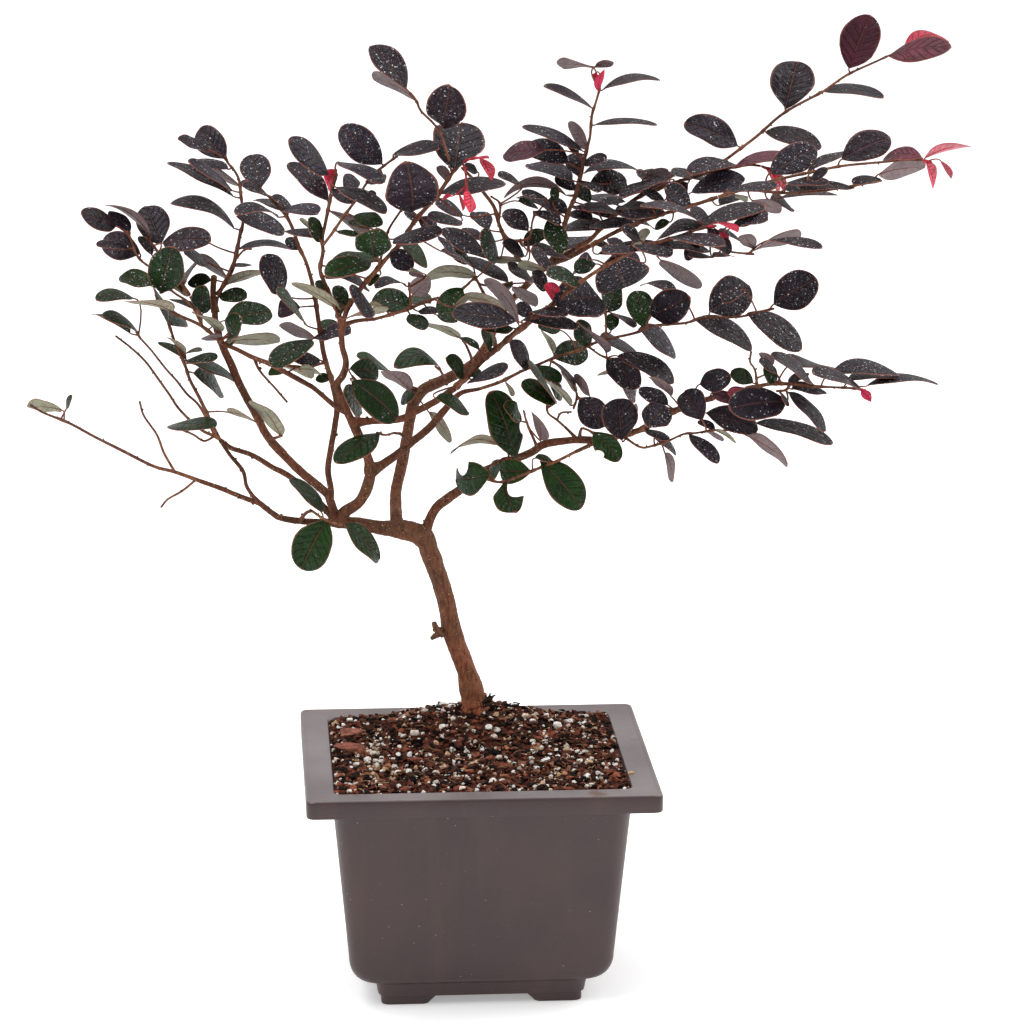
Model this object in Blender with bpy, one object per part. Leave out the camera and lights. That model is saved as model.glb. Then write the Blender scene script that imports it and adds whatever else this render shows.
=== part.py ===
"""Chinese fringe flower bonsai standing in its square training pot.

Tables and shape functions work in millimetres, with the pot's centre at x = y = 0, +Y away from
the viewer and the pot's feet on z = 0. Meshes are written in metres.

The crown follows a photograph. Its shoots and leaves are named by picture points, and `spot` puts
a picture point on an upright plane at a chosen depth behind or in front of the trunk.
"""

import math
import random
from dataclasses import dataclass, field

import bmesh
import bpy
from mathutils import Vector
from mathutils.bvhtree import BVHTree

MM = 0.001

# Pot, in mm
RIM_WIDTH = 170.0
RIM_DEPTH = 152.0
POT_HEIGHT = 113.0
LIP_THICKNESS = 9.0
LIP_SHELF = 12.8
LIP_CORNER = 4.0
WALL = 2.6
BODY_CORNER = 9.0
BODY_TOP = (72.0, 62.5)
BODY_LOW = (64.6, 57.0)
BODY_LOW_Z = 24.8
PLINTH = (50.8, 51.6)
PLINTH_TOP = 11.0
FOOT_HEIGHT = 4.6
FOOT_OUTER = (49.0, 50.0)
FOOT_LENGTH = 23.5
FOOT_SLOPE = 4.6
FLOOR_TOP = 13.0
DRAIN_RADIUS = 6.0
DRAIN_PLACE = (27.0, 24.0)

# Soil and the gap that touching pieces keep, in mm
FIT_GAP = 0.3
SOIL_EDGE_Z = 111.8
SOIL_MOUND = 11.6
SOIL_SPREAD = 38.0
SOIL_ROUGHNESS = 1.0
SOIL_SEED = 7
SOIL_POINTS = 26

# Eye of the photograph: place in mm, angles in degrees, focal length and centre in picture points
EYE = Vector((-114.33, -1787.05, 680.80))
EYE_YAW = math.radians(4.2227)
EYE_PITCH = math.radians(13.9971)
EYE_ROLL = math.radians(-0.1859)
FOCAL = 3800.0
CENTRE = 512.0
TREE_Y = 38.0
MM_PER_POINT = 0.502

# Trunk foot: place in the picture, and size in mm below the soil
TRUNK_FOOT = (475, 705)
TRUNK_FOOT_Z = 92.0
TRUNK_FOOT_RADIUS = 6.4
THINNEST_STEM = 0.6
AXIS_SLACK = 0.45
LONGEST_SPAN = 45.0

# Leaves, in mm and degrees
LEAF_RATIO = 0.72
LEAF_FULL_LENGTH = 27.0
LEAF_STRETCH = 1.22
LEAF_THICKNESS = 0.75
STALK_HALF = 0.5
ROOT_DEPTH = 0.4
LONG_STALK = 4.5
CLEARANCE = 0.45
DEPTH_TRIALS = (0, 3, -3, 6, -6, 9, -9, 12, -12, 16, -16, 20, -20, 26, -26)
LEAN_TRIALS = (0, 14, -14, 26)
JOINT_KEEP = 1.3
CROSSING_COST = 14.0
SHORT_LEAF = 20.0
STRAIGHT_ANGLE = math.radians(8.0)
WELD = 0.0001 * MM
NUDGE = 0.03
ATTEMPTS = 6

YOUNG_KINDS = "RK"
UNDERSIDE_KINDS = "UYK"

# Shoots: name, parent shoot, the piece that owns each stretch, and picture points x,y,width[,depth].
# A slash stands before the point where the next owner begins.
SHOOTS = (
    ("trunk", "", "wood",
     "475,705,27,0 466,670,20 453,634,19 444,593,18 431,556,19,-3 423,537,22 403,530,21"
     " 383,528,15 357,524,13 337,522,12,-10"),
    ("knob", "trunk", "wood", "449,634,9 440,631,8,-3 435,629,6,-4"),
    ("right_limb", "trunk", "wood right_shoots right_low young_low",
     "425,533,10 434,511,10,-4 447,499,10 463,488,9,-8 490,470,8,-12 530,453,8 545,444,8,-20"
     " 575,440,7 598,440,7,-26 / 612,438,6.5 640,430,6.5 655,422,6,-30 672,412,6 700,402,5.5,-34"
     " 722,395,5 / 745,389,4.5,-38 770,384,4 790,384,3.6,-42 810,386,3 828,387,2.6 848,388,2.5 / 857,389,2.4,-50 864,390,2.3,-51"),
    ("back_limb", "trunk", "wood upper_middle upper_tip young_upper_tip",
     "398,527,13 396,513,13 396,491,12,12 401,468,12 405,448,11,25 409,425,11 413,405,12,40"
     " 423,390,12 437,383,12,48 456,374,11 474,362,9,56 487,344,9 498,320,8,60 512,300,7"
     " 528,284,7,58 545,268,6,55 / 575,249,5 590,240,5,52 608,221,4.5,50 637,198,4.5,48"
     " 660,188,4 680,181,4,46 703,174,4 / 720,170,3.5,44 735,167,3 750,165,2.8,41"
     " / 761,166,2.6,39 768,169,2.4,38"),
    ("left_limb", "trunk", "wood",
     "340,522,12 345,512,12,-12 358,503,11 366,490,11 372,470,11,-22"),
    ("inner_left", "left_limb", "wood inner_left_top",
     "372,472,10 366,452,9 357,432,9,-30 350,418,8 342,400,8 337,385,7,-38 343,375,7 346,362,6"
     " 342,345,6 341,325,6,-46 / 337,310,5 330,295,4.5 324,281,4 320,269,4,-52 323,252,4"
     " 322,240,3.5 325,225,3.5 329,205,3.5 332,190,3 336,176,3,-58"),
    ("inner_left_twig", "inner_left", "inner_left_top",
     "322,246,3 333,232,3,-60 344,216,3 356,200,2.8 366,184,2.6 374,174,2.4,-68 389,162,2.3"
     " 396,157,2.2"),
    ("inner_right", "inner_left", "wood inner_right_low inner_right_top young_inner",
     "342,330,5 347,310,5,-50 357,294,5 / 365,283,5,-54 374,273,5 385,260,4.5 400,244,4.5"
     " 414,222,4.5,-64 / 426,208,4.5 437,196,4.5 447,181,4 453,172,3.5,-72 / 459,166,3"
     " 467,160,2.6 476,158,2.4,-76"),
    ("inner_right_young", "inner_right", "young_inner", "463,163,2.5 466,176,2.3,-80 466,190,2.2,-82"),
    ("inner_right_thin", "inner_right", "inner_right_low",
     "378,268,2.8 384,247,2.5,-60 389,229,2.3 404,206,2.2,-68"),
    ("inner_right_up", "inner_right", "inner_right_top",
     "452,173,3 446,150,2.8,-74 438,129,2.5 421,111,2.5 417,102,2.4 411,94,2.3,-78"),
    ("arm", "left_limb", "wood middle_right far_middle",
     "372,470,9 385,463,9 400,452,8 412,442,8,-10 430,427,8 449,405,7,6 461,393,5"
     " / 479,389,4,14 500,382,4 522,371,3.5,18 535,366,3.5 551,359,3,20"
     " / 566,354,3 580,350,3,14 600,341,3 635,333,3 652,326,3,4 685,323,2.8 703,318,2.6"
     " 738,317,2.5,-4 758,312,2.4 772,309,2.3,-10"),
    ("arm_drop", "arm", "middle_right",
     "549,360,2.6 556,364,2.4,17 566,374,2.4 573,385,2.4 577,396,2.3,12 574,407,2.2,10"),
    ("far_fork", "arm", "far_middle",
     "588,346,2.6 600,355,2.5,10 610,359,2.4,8"),
    ("far_up", "arm", "far_middle", "606,339,2.8 606,324,2.6,18 605,305,2.5 603,292,2.3,22"),
    ("front_limb", "inner_left", "wood centre_front centre_right young_centre",
     "352,423,8 372,421,7,-30 400,419,7 415,412,7 436,401,7,-30 / 455,388,6.5 465,378,6.5,-32"
     " 476,367,6 488,355,6 500,346,6,-34 515,333,6 531,321,5,-35 540,312,5 552,305,5,-34"
     " / 575,286,4,-30 597,271,4 628,253,4,-30 645,246,4 680,236,4,-34 695,230,3.5,-36"
     " / 706,227,3,-36 714,226,2.6,-37"),
    ("centre_drop", "front_limb", "centre_right",
     "684,235,2.8 698,241,2.6,-38 715,247,2.5 732,252,2.4 752,254,2.3,-44"),
    ("upright", "trunk", "wood upright_low upright_top",
     "337,523,8 331,505,7,-14 331,490,6.5 328,470,6,-16 331,448,6 335,425,6,-14 337,405,6"
     " / 333,385,6,-12 327,366,5.5 323,350,5.5 321,335,5,-14 318,318,5 316,303,4.5"
     " / 312,282,4.5,-18 306,262,4 299,247,4 292,227,4,-22 285,214,3.5 277,205,3 271,198,3,-24"),
    ("upright_side", "upright", "upright_low", "326,362,2.8 310,367,2.5,-18 293,367,2.3,-20"),
    ("left_up", "trunk", "wood left_top",
     "337,521,9 330,500,9,-4 325,492,9 300,471,9,6 285,456,8.5 268,437,8.5,14 255,413,8"
     " 240,385,8,20 230,362,8 222,345,7.5,24 216,325,7,26 215,308,6 / 217,296,5,28 226,281,4.5"
     " 233,266,4.5,30 237,250,4 240,235,4 243,222,3.5,32 242,205,3 241,196,3,34"
     " 239,180,3 234,170,2.5 228,163,2.5 226,158,2.5,36"),
    ("left_stub", "left_up", "wood", "215,312,6 213,294,6 214,277,6,26"),
    ("left_leafstalk", "left_up", "left_top", "237,262,2.6 244,250,2.4,26 250,249,2.3,25"),
    ("cross", "inner_left", "wood left_middle",
     "347,412,5 335,406,5,-34 315,389,5 305,383,5,-30 285,372,5 270,364,5,-20 252,357,5,-8"
     " 238,350,4.5,0 / 222,343,4.5,4 212,334,4 200,325,4,8 185,318,3.5 173,313,3,6"),
    ("cross_twig", "cross", "wood", "254,358,2.6 260,371,2.5,-10 275,388,2.4 287,402,2.4,-12"),
    ("far_left", "cross", "left_middle left_far",
     "202,326,3.6 199,311,3.6,12 / 190,296,3.6,14 177,277,3.5 165,262,3.2,18 155,248,3 147,238,2.6,20"),
    ("far_left_low", "far_left", "left_far",
     "177,277,3 162,272,2.8,16 150,267,2.6 138,257,2.5,12 131,240,2.4 128,233,2.3,10"),
    ("left_fork", "cross", "left_middle", "203,327,3 191,305,3,2 176,294,2.8,0 167,287,2.5,-2"),
    ("second_left", "trunk", "wood left_bundle",
     "337,522,7 312,495,6,0 289,476,6,6 272,467,5.5 252,455,5,14 231,448,5,20 / 224,442,4.5,22"
     " 214,436,4 200,429,3.6,26 180,410,3.2 169,394,3 159,380,3 145,361,2.8,32 130,347,2.6"
     " 117,337,2.4,34"),
    ("bundle_front", "second_left", "left_bundle",
     "216,437,3.5 200,407,3,24 187,394,2.8 176,380,2.6,20 166,369,2.5 151,350,2.4 141,339,2.4"
     " 137,333,2.3,18"),
    ("bundle_low", "second_left", "left_bundle", "214,437,3 204,441,2.6,20 194,435,2.5 183,430,2.3,16"),
    ("inner_stem", "lowest_left", "wood left_inner",
     "258,503,4 247,487,4,-10 243,471,4 230,455,4,6 / 220,440,4,10 210,420,4 200,399,4,12"
     " 190,380,3.5 186,368,3.2 182,358,3 176,345,3 169,325,3,14"),
    ("lowest_left", "trunk", "wood low_left",
     "339,523,8 318,522,7,-12 300,521,7 281,518,6.5,-18 272,513,6 259,503,6,-20 247,499,5.5"
     " 232,493,5 220,488,5,-24 / 200,481,4.5 175,472,4,-30 153,466,3.5 121,450,3.5,-34"
     " 95,437,3 69,423,3 44,413,2.5 32,406,2.5,-38"),
    ("low_left_up", "lowest_left", "low_left", "175,472,3 164,453,2.8,-26 157,435,2.5 144,416,2.4 140,403,2.3,-20"),
    ("low_left_down", "lowest_left", "low_left", "196,480,3 182,491,2.8,-30 168,499,2.5 162,506,2.4,-34"),
    ("inner_twig", "inner_left", "wood inner_middle",
     "342,326,4 356,321,4,-42 / 375,319,3.5,-36 400,312,3.5,-30 413,307,3.5,-28 425,302,3"
     " 437,298,2.5,-26"),
    ("inner_twig_up", "inner_twig", "inner_middle", "411,308,2.8 410,296,2.4,-30 409,284,2.3,-32"),
    ("inner_bud", "front_limb", "wood inner_low",
     "358,423,4 357,416,3.6,-38 / 356,410,3.4,-42 357,398,3 358,385,2.8 353,377,2.5,-46"),
    ("arm_bud", "arm", "wood arm_leaf", "408,446,3.4 402,435,3.2,-20 / 394,433,2.8,-24 385,435,2.5 378,433,2.4,-28"),
    ("hang_bud", "lowest_left", "wood hanging_low",
     "300,521,4 306,513,3.6,-24 / 312,511,3.2,-28 322,518,3 331,522,2.8,-32 342,525,2.5,-34"),
    ("raised_leaf", "left_up", "wood raised_leaf", "269,439,3.4 275,438,3.2,4 / 278,437,2.8,2 281,436,2.5,0"),
    ("centre_back_shoot", "back_limb", "wood centre_left",
     "529,283,5 521,263,4.5,46 / 506,241,4,40 499,224,4 494,207,4 484,193,4,30 472,178,3.5"
     " 463,169,3,26"),
    ("centre_back_side", "centre_back_shoot", "centre_left", "499,223,2.6 500,204,2.4,32 492,197,2.2,30"),
    ("centre_back_right", "centre_back_shoot", "centre_left",
     "502,232,2.8 512,240,2.6,36 529,238,2.5 532,223,2.4 535,213,2.3,28"),
    ("back_bud", "back_limb", "wood centre_back",
     "497,323,4.5 490,306,4,46 / 482,290,3.4,40 475,279,3 466,286,2.5,34"),
    ("back_bud_right", "back_bud", "centre_back", "478,284,2.8 492,286,2.5,38 510,283,2.4,36"),
    ("low_bud", "back_limb", "wood back_leaf", "473,363,3.4 470,354,3,46 / 466,345,2.6,44 462,339,2.4,43"),
    ("arch_bud", "back_limb", "wood arched_leaf", "446,379,3.4 443,375,3,40 / 440,370,2.6,37 436,367,2.4,35"),
    ("wing_bud", "back_limb", "wood wing_leaves", "423,391,3.4 417,389,3,34 / 412,387,2.6,31 407,385,2.4,29"),
    ("top_shoot", "back_limb", "wood top_low top_high young_top",
     "549,266,5 556,251,5,50 / 562,235,4.5,46 566,220,4.5 570,208,4.5 575,197,4 578,186,4,38"
     " 583,165,3.5 / 590,137,3,33 592,115,3 595,105,2.6 598,95,2.5,30 / 600,87,2.4 602,74,2.3,28"),
    ("second_right", "back_limb", "wood inner_shoots right_up",
     "555,262,5 566,259,5,44 / 590,246,4.5,36 620,230,4.5,32 660,215,4 680,209,4,26 700,203,4"
     " / 718,197,4,22 745,190,3.6 785,193,3,16 820,191,3 852,186,2.6,10 880,181,2.3,8"),
    ("right_end", "second_right", "right_up right_tip young_right",
     "748,190,3.4 768,182,3.2,10 784,178,3,6 / 807,173,3,2 842,166,2.8,-2 883,162,2.6"
     " 905,160,2.5,-8 / 922,160,2.4,-9 930,162,2.3,-10"),
    ("high_shoot", "back_limb", "upper_middle high_low high_top young_high",
     "698,175,4 710,169,4,52 / 728,158,3.5,58 757,136,3.5,62 784,113,3.2 / 824,91,3,68"
     " 847,75,2.8,72 875,62,2.5,76 / 888,56,2.4,78 903,50,2.3,80"),
    ("low_middle", "right_limb", "wood low_middle",
     "597,441,4.4 588,446,4,-32 / 575,452,3.6,-36 557,461,3.5,-40 537,469,3.4,-42 520,476,3.2"
     " 502,482,3 489,480,2.6,-44"),
    ("low_front", "right_limb", "wood low_front",
     "528,454,4.4 520,456,4,-20 / 512,458,3.4,-24 503,459,3 496,463,2.8 483,468,2.5,-26"),
    ("twig_bud", "right_limb", "wood middle_twigs",
     "577,440,3.6 572,434,3.2,-18 / 565,427,3,-14 557,420,2.8 548,413,2.5 547,404,2.4,-8"),
    ("twig_right", "twig_bud", "middle_twigs", "557,420,2.6 561,413,2.4,-10 570,412,2.3,-8"),
    ("green_bud", "right_limb", "wood low_green",
     "580,440,3.6 580,433,3.2,-28 / 582,428,2.8,-30 590,431,2.6 597,437,2.4,-32"),
    ("leaf_bud", "right_limb", "wood limb_leaf",
     "538,449,3.4 535,442,3,-24 / 530,431,2.6,-27 526,420,2.4 524,412,2.3,-29"),
    ("right_under", "right_limb", "right_shoots",
     "622,436,3 640,447,2.8,-34 652,446,2.6 668,441,2.5,-38 684,434,2.5 696,433,2.4 714,430,2.3,-42"),
    ("right_rise", "right_limb", "right_low",
     "757,386,2.8 755,370,2.5,-34 750,362,2.4 751,353,2.3,-30"),
    ("right_drop", "right_limb", "right_low", "790,385,2.8 786,390,2.5,-46 778,391,2.3,-48"),
)

# Leaves by region: kind, foot x y, tip x y, seen width; then options a (arch), d (depth), t (lean).
# Kinds: P purple, N new reddish purple, G dark green, all seen from above; U and Y the greyish and
# the pale green underside; R young red; K young pink underside.
LEAVES = {
    "far left": """
        N 116 226 81 214 20; P 130 232 110 211 14; U 150 235 105 205 7 a4; P 161 244 146 206 33;
        P 163 243 210 239 24; P 140 254 103 239 28; P 128 248 97 245 8 d12; P 152 255 140 236 10;
        G 160 292 172 247 36 d-5; G 152 286 120 275 18; G 133 298 96 300 12 a4; Y 172 311 128 302 8;
        G 198 311 172 299 7; Y 187 296 172 286 5; G 183 290 172 280 9; P 186 281 192 268 14;
        P 206 262 186 255 14; G 211 280 188 282 14; G 203 313 204 286 20""",
    "left bundle": """
        G 130 333 93 314 9 a3; G 137 331 103 316 10 a3; Y 227 412 256 421 6; G 168 324 164 301 28;
        G 186 359 159 342 8; Y 185 353 168 337 5; Y 186 353 202 350 4; G 187 360 215 359 10;
        G 194 364 234 379 12; G 194 373 222 392 16; Y 62 410 28 407 11; G 66 409 72 396 5;
        G 169 426 213 428 14; Y 281 436 254 400 14""",
    "left top": """
        P 226 158 199 128 28; P 207 149 178 140 11; P 228 169 192 160 10; P 233 196 167 163 11;
        P 232 190 190 162 9; U 240 186 213 174 8; U 241 186 257 182 7; P 234 228 170 204 13 a8;
        P 238 217 285 230 20 d-5; P 278 217 235 214 8 a6; P 239 249 293 249 7 a3; U 226 276 197 259 12;
        P 233 267 251 265 4; Y 228 284 266 272 9; P 261 188 252 155 30; P 268 195 243 186 8;
        P 270 198 291 206 9; P 288 213 256 200 9; P 283 210 318 213 12; G 219 296 247 297 15;
        G 226 320 271 312 25; G 228 333 240 317 20; Y 224 342 278 343 12; U 222 340 203 338 8;
        Y 221 332 196 313 8""",
    "upright": """
        P 284 293 262 257 26; P 300 307 277 310 20; G 305 324 278 294 8; U 314 337 280 326 11;
        P 314 338 351 332 14; G 311 340 275 367 22; P 320 360 291 358 14; Y 282 365 312 378 8;
        Y 300 369 320 372 8; G 285 372 268 372 10; G 330 377 316 380 10; G 320 330 337 322 12""",
    "inner left": """
        P 328 174 288 141 21; P 328 201 288 163 19; P 339 162 380 183 12 d-4; P 345 190 355 176 18;
        P 333 190 352 203 15; P 336 187 386 213 14; G 322 241 308 219 14; Y 318 238 300 219 4;
        P 320 240 286 231 10; U 331 211 367 238 11; G 354 216 382 224 15; G 370 228 349 221 8;
        G 337 231 358 236 6; G 328 266 379 258 14; G 371 262 326 275 20; G 327 290 316 281 9;
        Y 340 310 292 283 10; G 346 306 335 286 14; P 349 275 326 278 6; P 382 164 341 126 31;
        P 394 154 438 149 13; P 365 197 376 193 8; P 384 182 370 178 13; N 336 170 327 188 13""",
    "inner right": """
        G 373 256 375 229 35; G 380 275 367 284 10; P 343 278 368 288 10; P 360 290 361 312 22;
        P 413 211 407 163 50 d-8; P 394 239 439 234 15 d-5; P 392 250 412 269 20; G 401 245 427 265 15;
        P 415 222 406 211 9; P 418 218 436 234 16; P 438 236 453 255 7; P 441 251 471 266 5;
        P 440 194 506 184 15; P 455 169 460 121 50 d-4; P 443 127 450 87 38 d5; P 406 88 371 45 24;
        U 417 101 374 78 9; U 450 180 437 167 10; P 463 215 436 204 13; P 461 221 430 219 12;
        P 478 172 464 166 9; R 474 158 489 158 3; R 480 158 492 180 10; R 468 190 470 212 11;
        R 459 194 463 211 4; R 452 196 442 199 4""",
    "inner middle": """
        Y 345 319 385 312 6; G 412 308 372 298 24; P 406 286 375 288 7 a5; U 413 295 428 277 20;
        Y 477 277 424 277 13 a3; G 410 314 424 330 16; P 418 311 438 312 8; G 430 303 380 310 10;
        G 437 315 457 322 10; Y 385 310 370 303 6; G 425 274 397 268 4; U 424 276 409 273 6;
        G 462 288 440 316 22; G 362 412 343 390 18; G 352 381 398 420 32 d-4; G 350 369 379 372 22;
        G 388 370 358 356 10; G 379 433 336 463 23; U 411 391 384 370 15; G 418 390 400 402 12;
        G 441 370 395 366 16 a12; G 322 513 291 478 14; G 327 520 301 570 39; G 344 524 381 559 21""",
    "centre": """
        P 487 258 440 231 18; G 498 260 481 234 18 d6; P 489 229 474 212 17; P 528 231 504 210 20;
        P 521 184 498 175 8; P 508 282 465 257 14; P 524 256 503 243 13; Y 525 262 494 262 7;
        U 566 195 504 197 10 a10; P 561 222 516 197 10 a5; P 545 197 522 194 8; G 518 201 538 207 7;
        P 534 211 560 224 10; G 524 246 546 230 16; P 553 268 531 251 13 d10; Y 545 270 518 266 9;
        G 548 220 562 253 22; P 567 214 550 197 14; G 553 201 557 187 10; G 590 203 576 184 14;
        P 612 218 575 205 14; P 600 205 624 200 9; P 602 229 562 226 16; P 637 226 590 226 11;
        Y 461 297 506 307 12; Y 455 306 470 298 6; P 516 321 452 313 25 d-6; U 519 325 484 280 13 a4;
        G 513 328 484 330 13; Y 497 347 485 332 9; G 491 352 482 330 9; P 509 341 529 367 17;
        Y 460 338 427 323 8; G 479 350 461 337 7; G 464 378 447 357 14; G 465 376 481 371 10;
        P 472 379 504 374 15; G 436 398 469 411 14; Y 429 412 452 441 12; U 513 287 535 306 13;
        G 512 282 497 296 9; P 523 320 578 327 14 d-4; P 530 312 567 316 9""",
    "top": """
        U 592 67 563 67 9; U 595 67 613 62 8; R 597 72 595 80 5; R 604 70 598 91 8;
        P 602 90 660 79 8 a3; P 592 108 544 86 8; P 594 125 657 124 6 a1; P 583 151 522 127 11;
        U 588 150 568 123 13; P 577 155 568 143 7; P 578 176 573 152 20; P 583 164 607 158 11;
        P 568 163 527 144 24 d-4; P 572 180 529 163 16; N 545 150 504 155 19; P 584 173 653 183 7 a9;
        P 590 184 627 181 26; P 582 182 598 192 10""",
    "upper middle": """
        P 668 182 620 197 8; P 703 223 640 206 7 a4; P 650 208 618 208 8; P 653 215 622 216 10;
        G 670 222 655 228 9; P 690 203 664 188 20; P 672 175 716 182 10 d-5; U 645 178 668 170 10;
        P 661 182 676 172 10; P 736 165 688 172 14 a3; P 692 192 745 178 22; U 652 187 637 172 8;
        P 625 251 608 238 10; P 640 250 603 252 9; G 592 243 611 246 8; Y 632 244 650 233 12;
        G 596 264 573 268 16; G 580 284 547 273 15; P 614 254 626 288 55 d-5; G 608 311 617 283 23;
        G 644 327 636 290 27; P 651 315 688 297 35; P 678 297 641 285 9 a5; P 553 303 602 299 42 d-4;
        U 661 260 698 288 15; P 637 245 666 257 13; P 703 227 657 240 12 a6; P 670 237 722 246 12 d-4;
        P 655 246 710 251 9; P 708 229 729 254 14; P 712 257 690 257 6; P 713 257 732 256 5""",
    "right top": """
        P 728 190 776 188 10; P 786 183 828 184 9; P 785 190 812 188 12; P 853 188 800 188 9;
        P 780 198 838 195 5; P 880 179 853 183 9; U 879 174 925 168 20; P 702 223 765 205 16;
        U 752 200 779 213 13; P 732 225 768 219 12; Y 735 195 747 201 5; P 738 146 685 122 28;
        P 785 108 797 62 45; N 849 68 870 15 40; P 824 91 884 96 12; P 766 132 822 146 20;
        R 903 50 949 41 15 a9 d-4; N 888 56 951 47 22; P 770 173 816 147 30; N 736 166 802 161 12 a4 d-5;
        P 842 159 890 137 30; P 807 173 862 153 8 a3; N 922 158 883 160 13 a4; K 925 158 973 147 8 a2;
        R 926 162 933 188 9; R 941 161 951 179 6; R 766 168 779 202 8; R 770 168 785 192 9 a3;
        R 716 222 738 232 6; R 719 231 729 238 5; P 718 231 741 241 5; U 753 249 743 234 15;
        U 754 250 798 239 11; P 774 240 822 248 9""",
    "far right": """
        P 710 312 749 284 41; P 774 304 816 279 38; P 694 319 753 348 20; P 748 313 803 348 25;
        P 639 329 677 353 20; P 600 342 636 352 14; P 618 356 675 381 20; P 607 358 638 388 26;
        P 612 366 636 399 20; Y 614 372 598 375 4; G 611 331 614 313 14; P 612 313 634 327 6;
        U 606 352 582 326 8; G 590 345 577 322 20; G 553 357 588 350 26; Y 553 352 543 331 7""",
    "low right": """
        U 590 396 574 375 9; P 555 362 575 386 5; Y 562 372 575 391 5; G 536 367 561 381 14;
        G 550 383 562 399 12; Y 570 405 540 376 6; G 555 402 530 367 5; G 556 401 521 386 19;
        Y 506 382 512 396 5; P 580 398 605 427 30; P 622 440 618 399 36 d-6; G 541 461 582 508 34;
        G 531 471 499 472 25; G 504 483 514 511 30; G 490 475 454 479 34; G 503 462 489 477 13;
        G 516 458 491 391 34 d4; Y 500 445 451 453 7 a7; G 535 458 553 461 7; G 594 432 619 460 23;
        U 541 440 536 414 13; P 668 408 645 424 28; P 668 405 640 388 16; U 671 396 651 377 9;
        P 702 420 684 391 28 d-6; P 700 384 730 376 23; G 753 383 731 370 16; N 712 393 733 403 12;
        N 747 388 730 396 12; P 786 402 729 408 33; P 706 413 758 430 25; P 757 423 833 443 14;
        U 748 436 788 464 12; P 689 434 717 464 14; U 706 430 722 441 5; Y 715 430 736 443 4;
        P 715 430 698 421 8; P 646 429 667 441 9; P 655 438 676 453 9; U 665 453 674 480 10;
        U 632 425 638 408 6; P 813 384 772 355 11; P 789 366 828 368 12; P 860 388 813 372 11;
        P 832 373 898 374 15 a4; P 850 380 900 379 6; P 866 386 938 383 8 a4; R 861 390 871 402 9;
        P 792 389 825 392 11; P 788 392 827 430 13; P 779 391 787 406 4; U 772 366 761 352 9;
        P 775 372 760 362 8; G 776 384 765 366 14""",
    "filling": """P 688 183 668 206 20 d6; P 664 183 640 171 14 d5; P 669 180 622 197 9 d-6;
        P 624 206 664 216 11 d-6; P 616 214 652 226 11 d-9; P 598 254 664 247 12 d-9; P 592 260 574 270 14 d6;
        P 532 252 566 256 12 d-10; P 617 205 577 197 9 d-6; P 622 214 583 209 9 d-8; P 533 280 508 268 12 d6;
        P 547 290 533 272 14 d8; P 735 226 767 217 10; G 560 300 545 285 14 d8; P 640 262 612 252 12 d8;
        P 712 224 690 210 13 d6; P 655 300 640 318 13 d6; G 470 262 450 250 14 d6; P 592 220 571 212 12 d6;
        P 610 180 596 162 13 d6; P 575 190 556 176 14 d8; P 640 240 622 228 12 d10; P 700 245 684 258 13 d8;
        G 560 330 538 326 14 d6; P 533 318 517 303 14 d6; P 664 200 642 192 11 d6; G 520 420 505 405 14 d8;
        P 480 240 462 228 13 d8; P 566 250 589 236 14 d8; G 350 300 334 314 14 d8; P 300 250 286 238 12 d6;
        G 240 330 226 344 13 d6; P 205 240 190 228 12 d6; P 720 205 745 196 10 d8; P 770 200 792 208 11 d6;
        P 810 180 828 170 10 d8; P 740 290 724 302 13 d8; P 790 385 806 372 10 d6""",
}


def clear_scene():
    """Remove everything that the new file opens with."""
    for thing in list(bpy.data.objects):
        bpy.data.objects.remove(thing, do_unlink=True)


def finish(name, colour, roughness):
    """Plain surface of one colour."""
    surface = bpy.data.materials.new(name)
    surface.use_nodes = True
    shader = surface.node_tree.nodes["Principled BSDF"]
    shader.inputs["Base Color"].default_value = (*colour, 1.0)
    shader.inputs["Roughness"].default_value = roughness
    shader.inputs["Metallic"].default_value = 0.0
    return surface


def eye_axes():
    """Directions ahead of, right of and below the eye."""
    ahead = Vector((
        math.sin(EYE_YAW) * math.cos(EYE_PITCH),
        math.cos(EYE_YAW) * math.cos(EYE_PITCH),
        -math.sin(EYE_PITCH),
    ))
    level = Vector((math.cos(EYE_YAW), -math.sin(EYE_YAW), 0.0))
    down = ahead.cross(level)
    roll_cos, roll_sin = math.cos(EYE_ROLL), math.sin(EYE_ROLL)
    return ahead, level * roll_cos + down * roll_sin, down * roll_cos - level * roll_sin


AHEAD, RIGHTWARD, DOWNWARD = eye_axes()


def spot(px, py, depth):
    """Place, in mm, of picture point (px, py) on the plane `depth` mm behind the tree's."""
    ray = AHEAD + RIGHTWARD * ((px - CENTRE) / FOCAL) + DOWNWARD * ((py - CENTRE) / FOCAL)
    return EYE + ray * ((TREE_Y + depth - EYE.y) / ray.y)


@dataclass
class Stretch:
    """The run of a shoot that belongs to one piece."""

    owner: str
    first: int
    last: int


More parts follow.
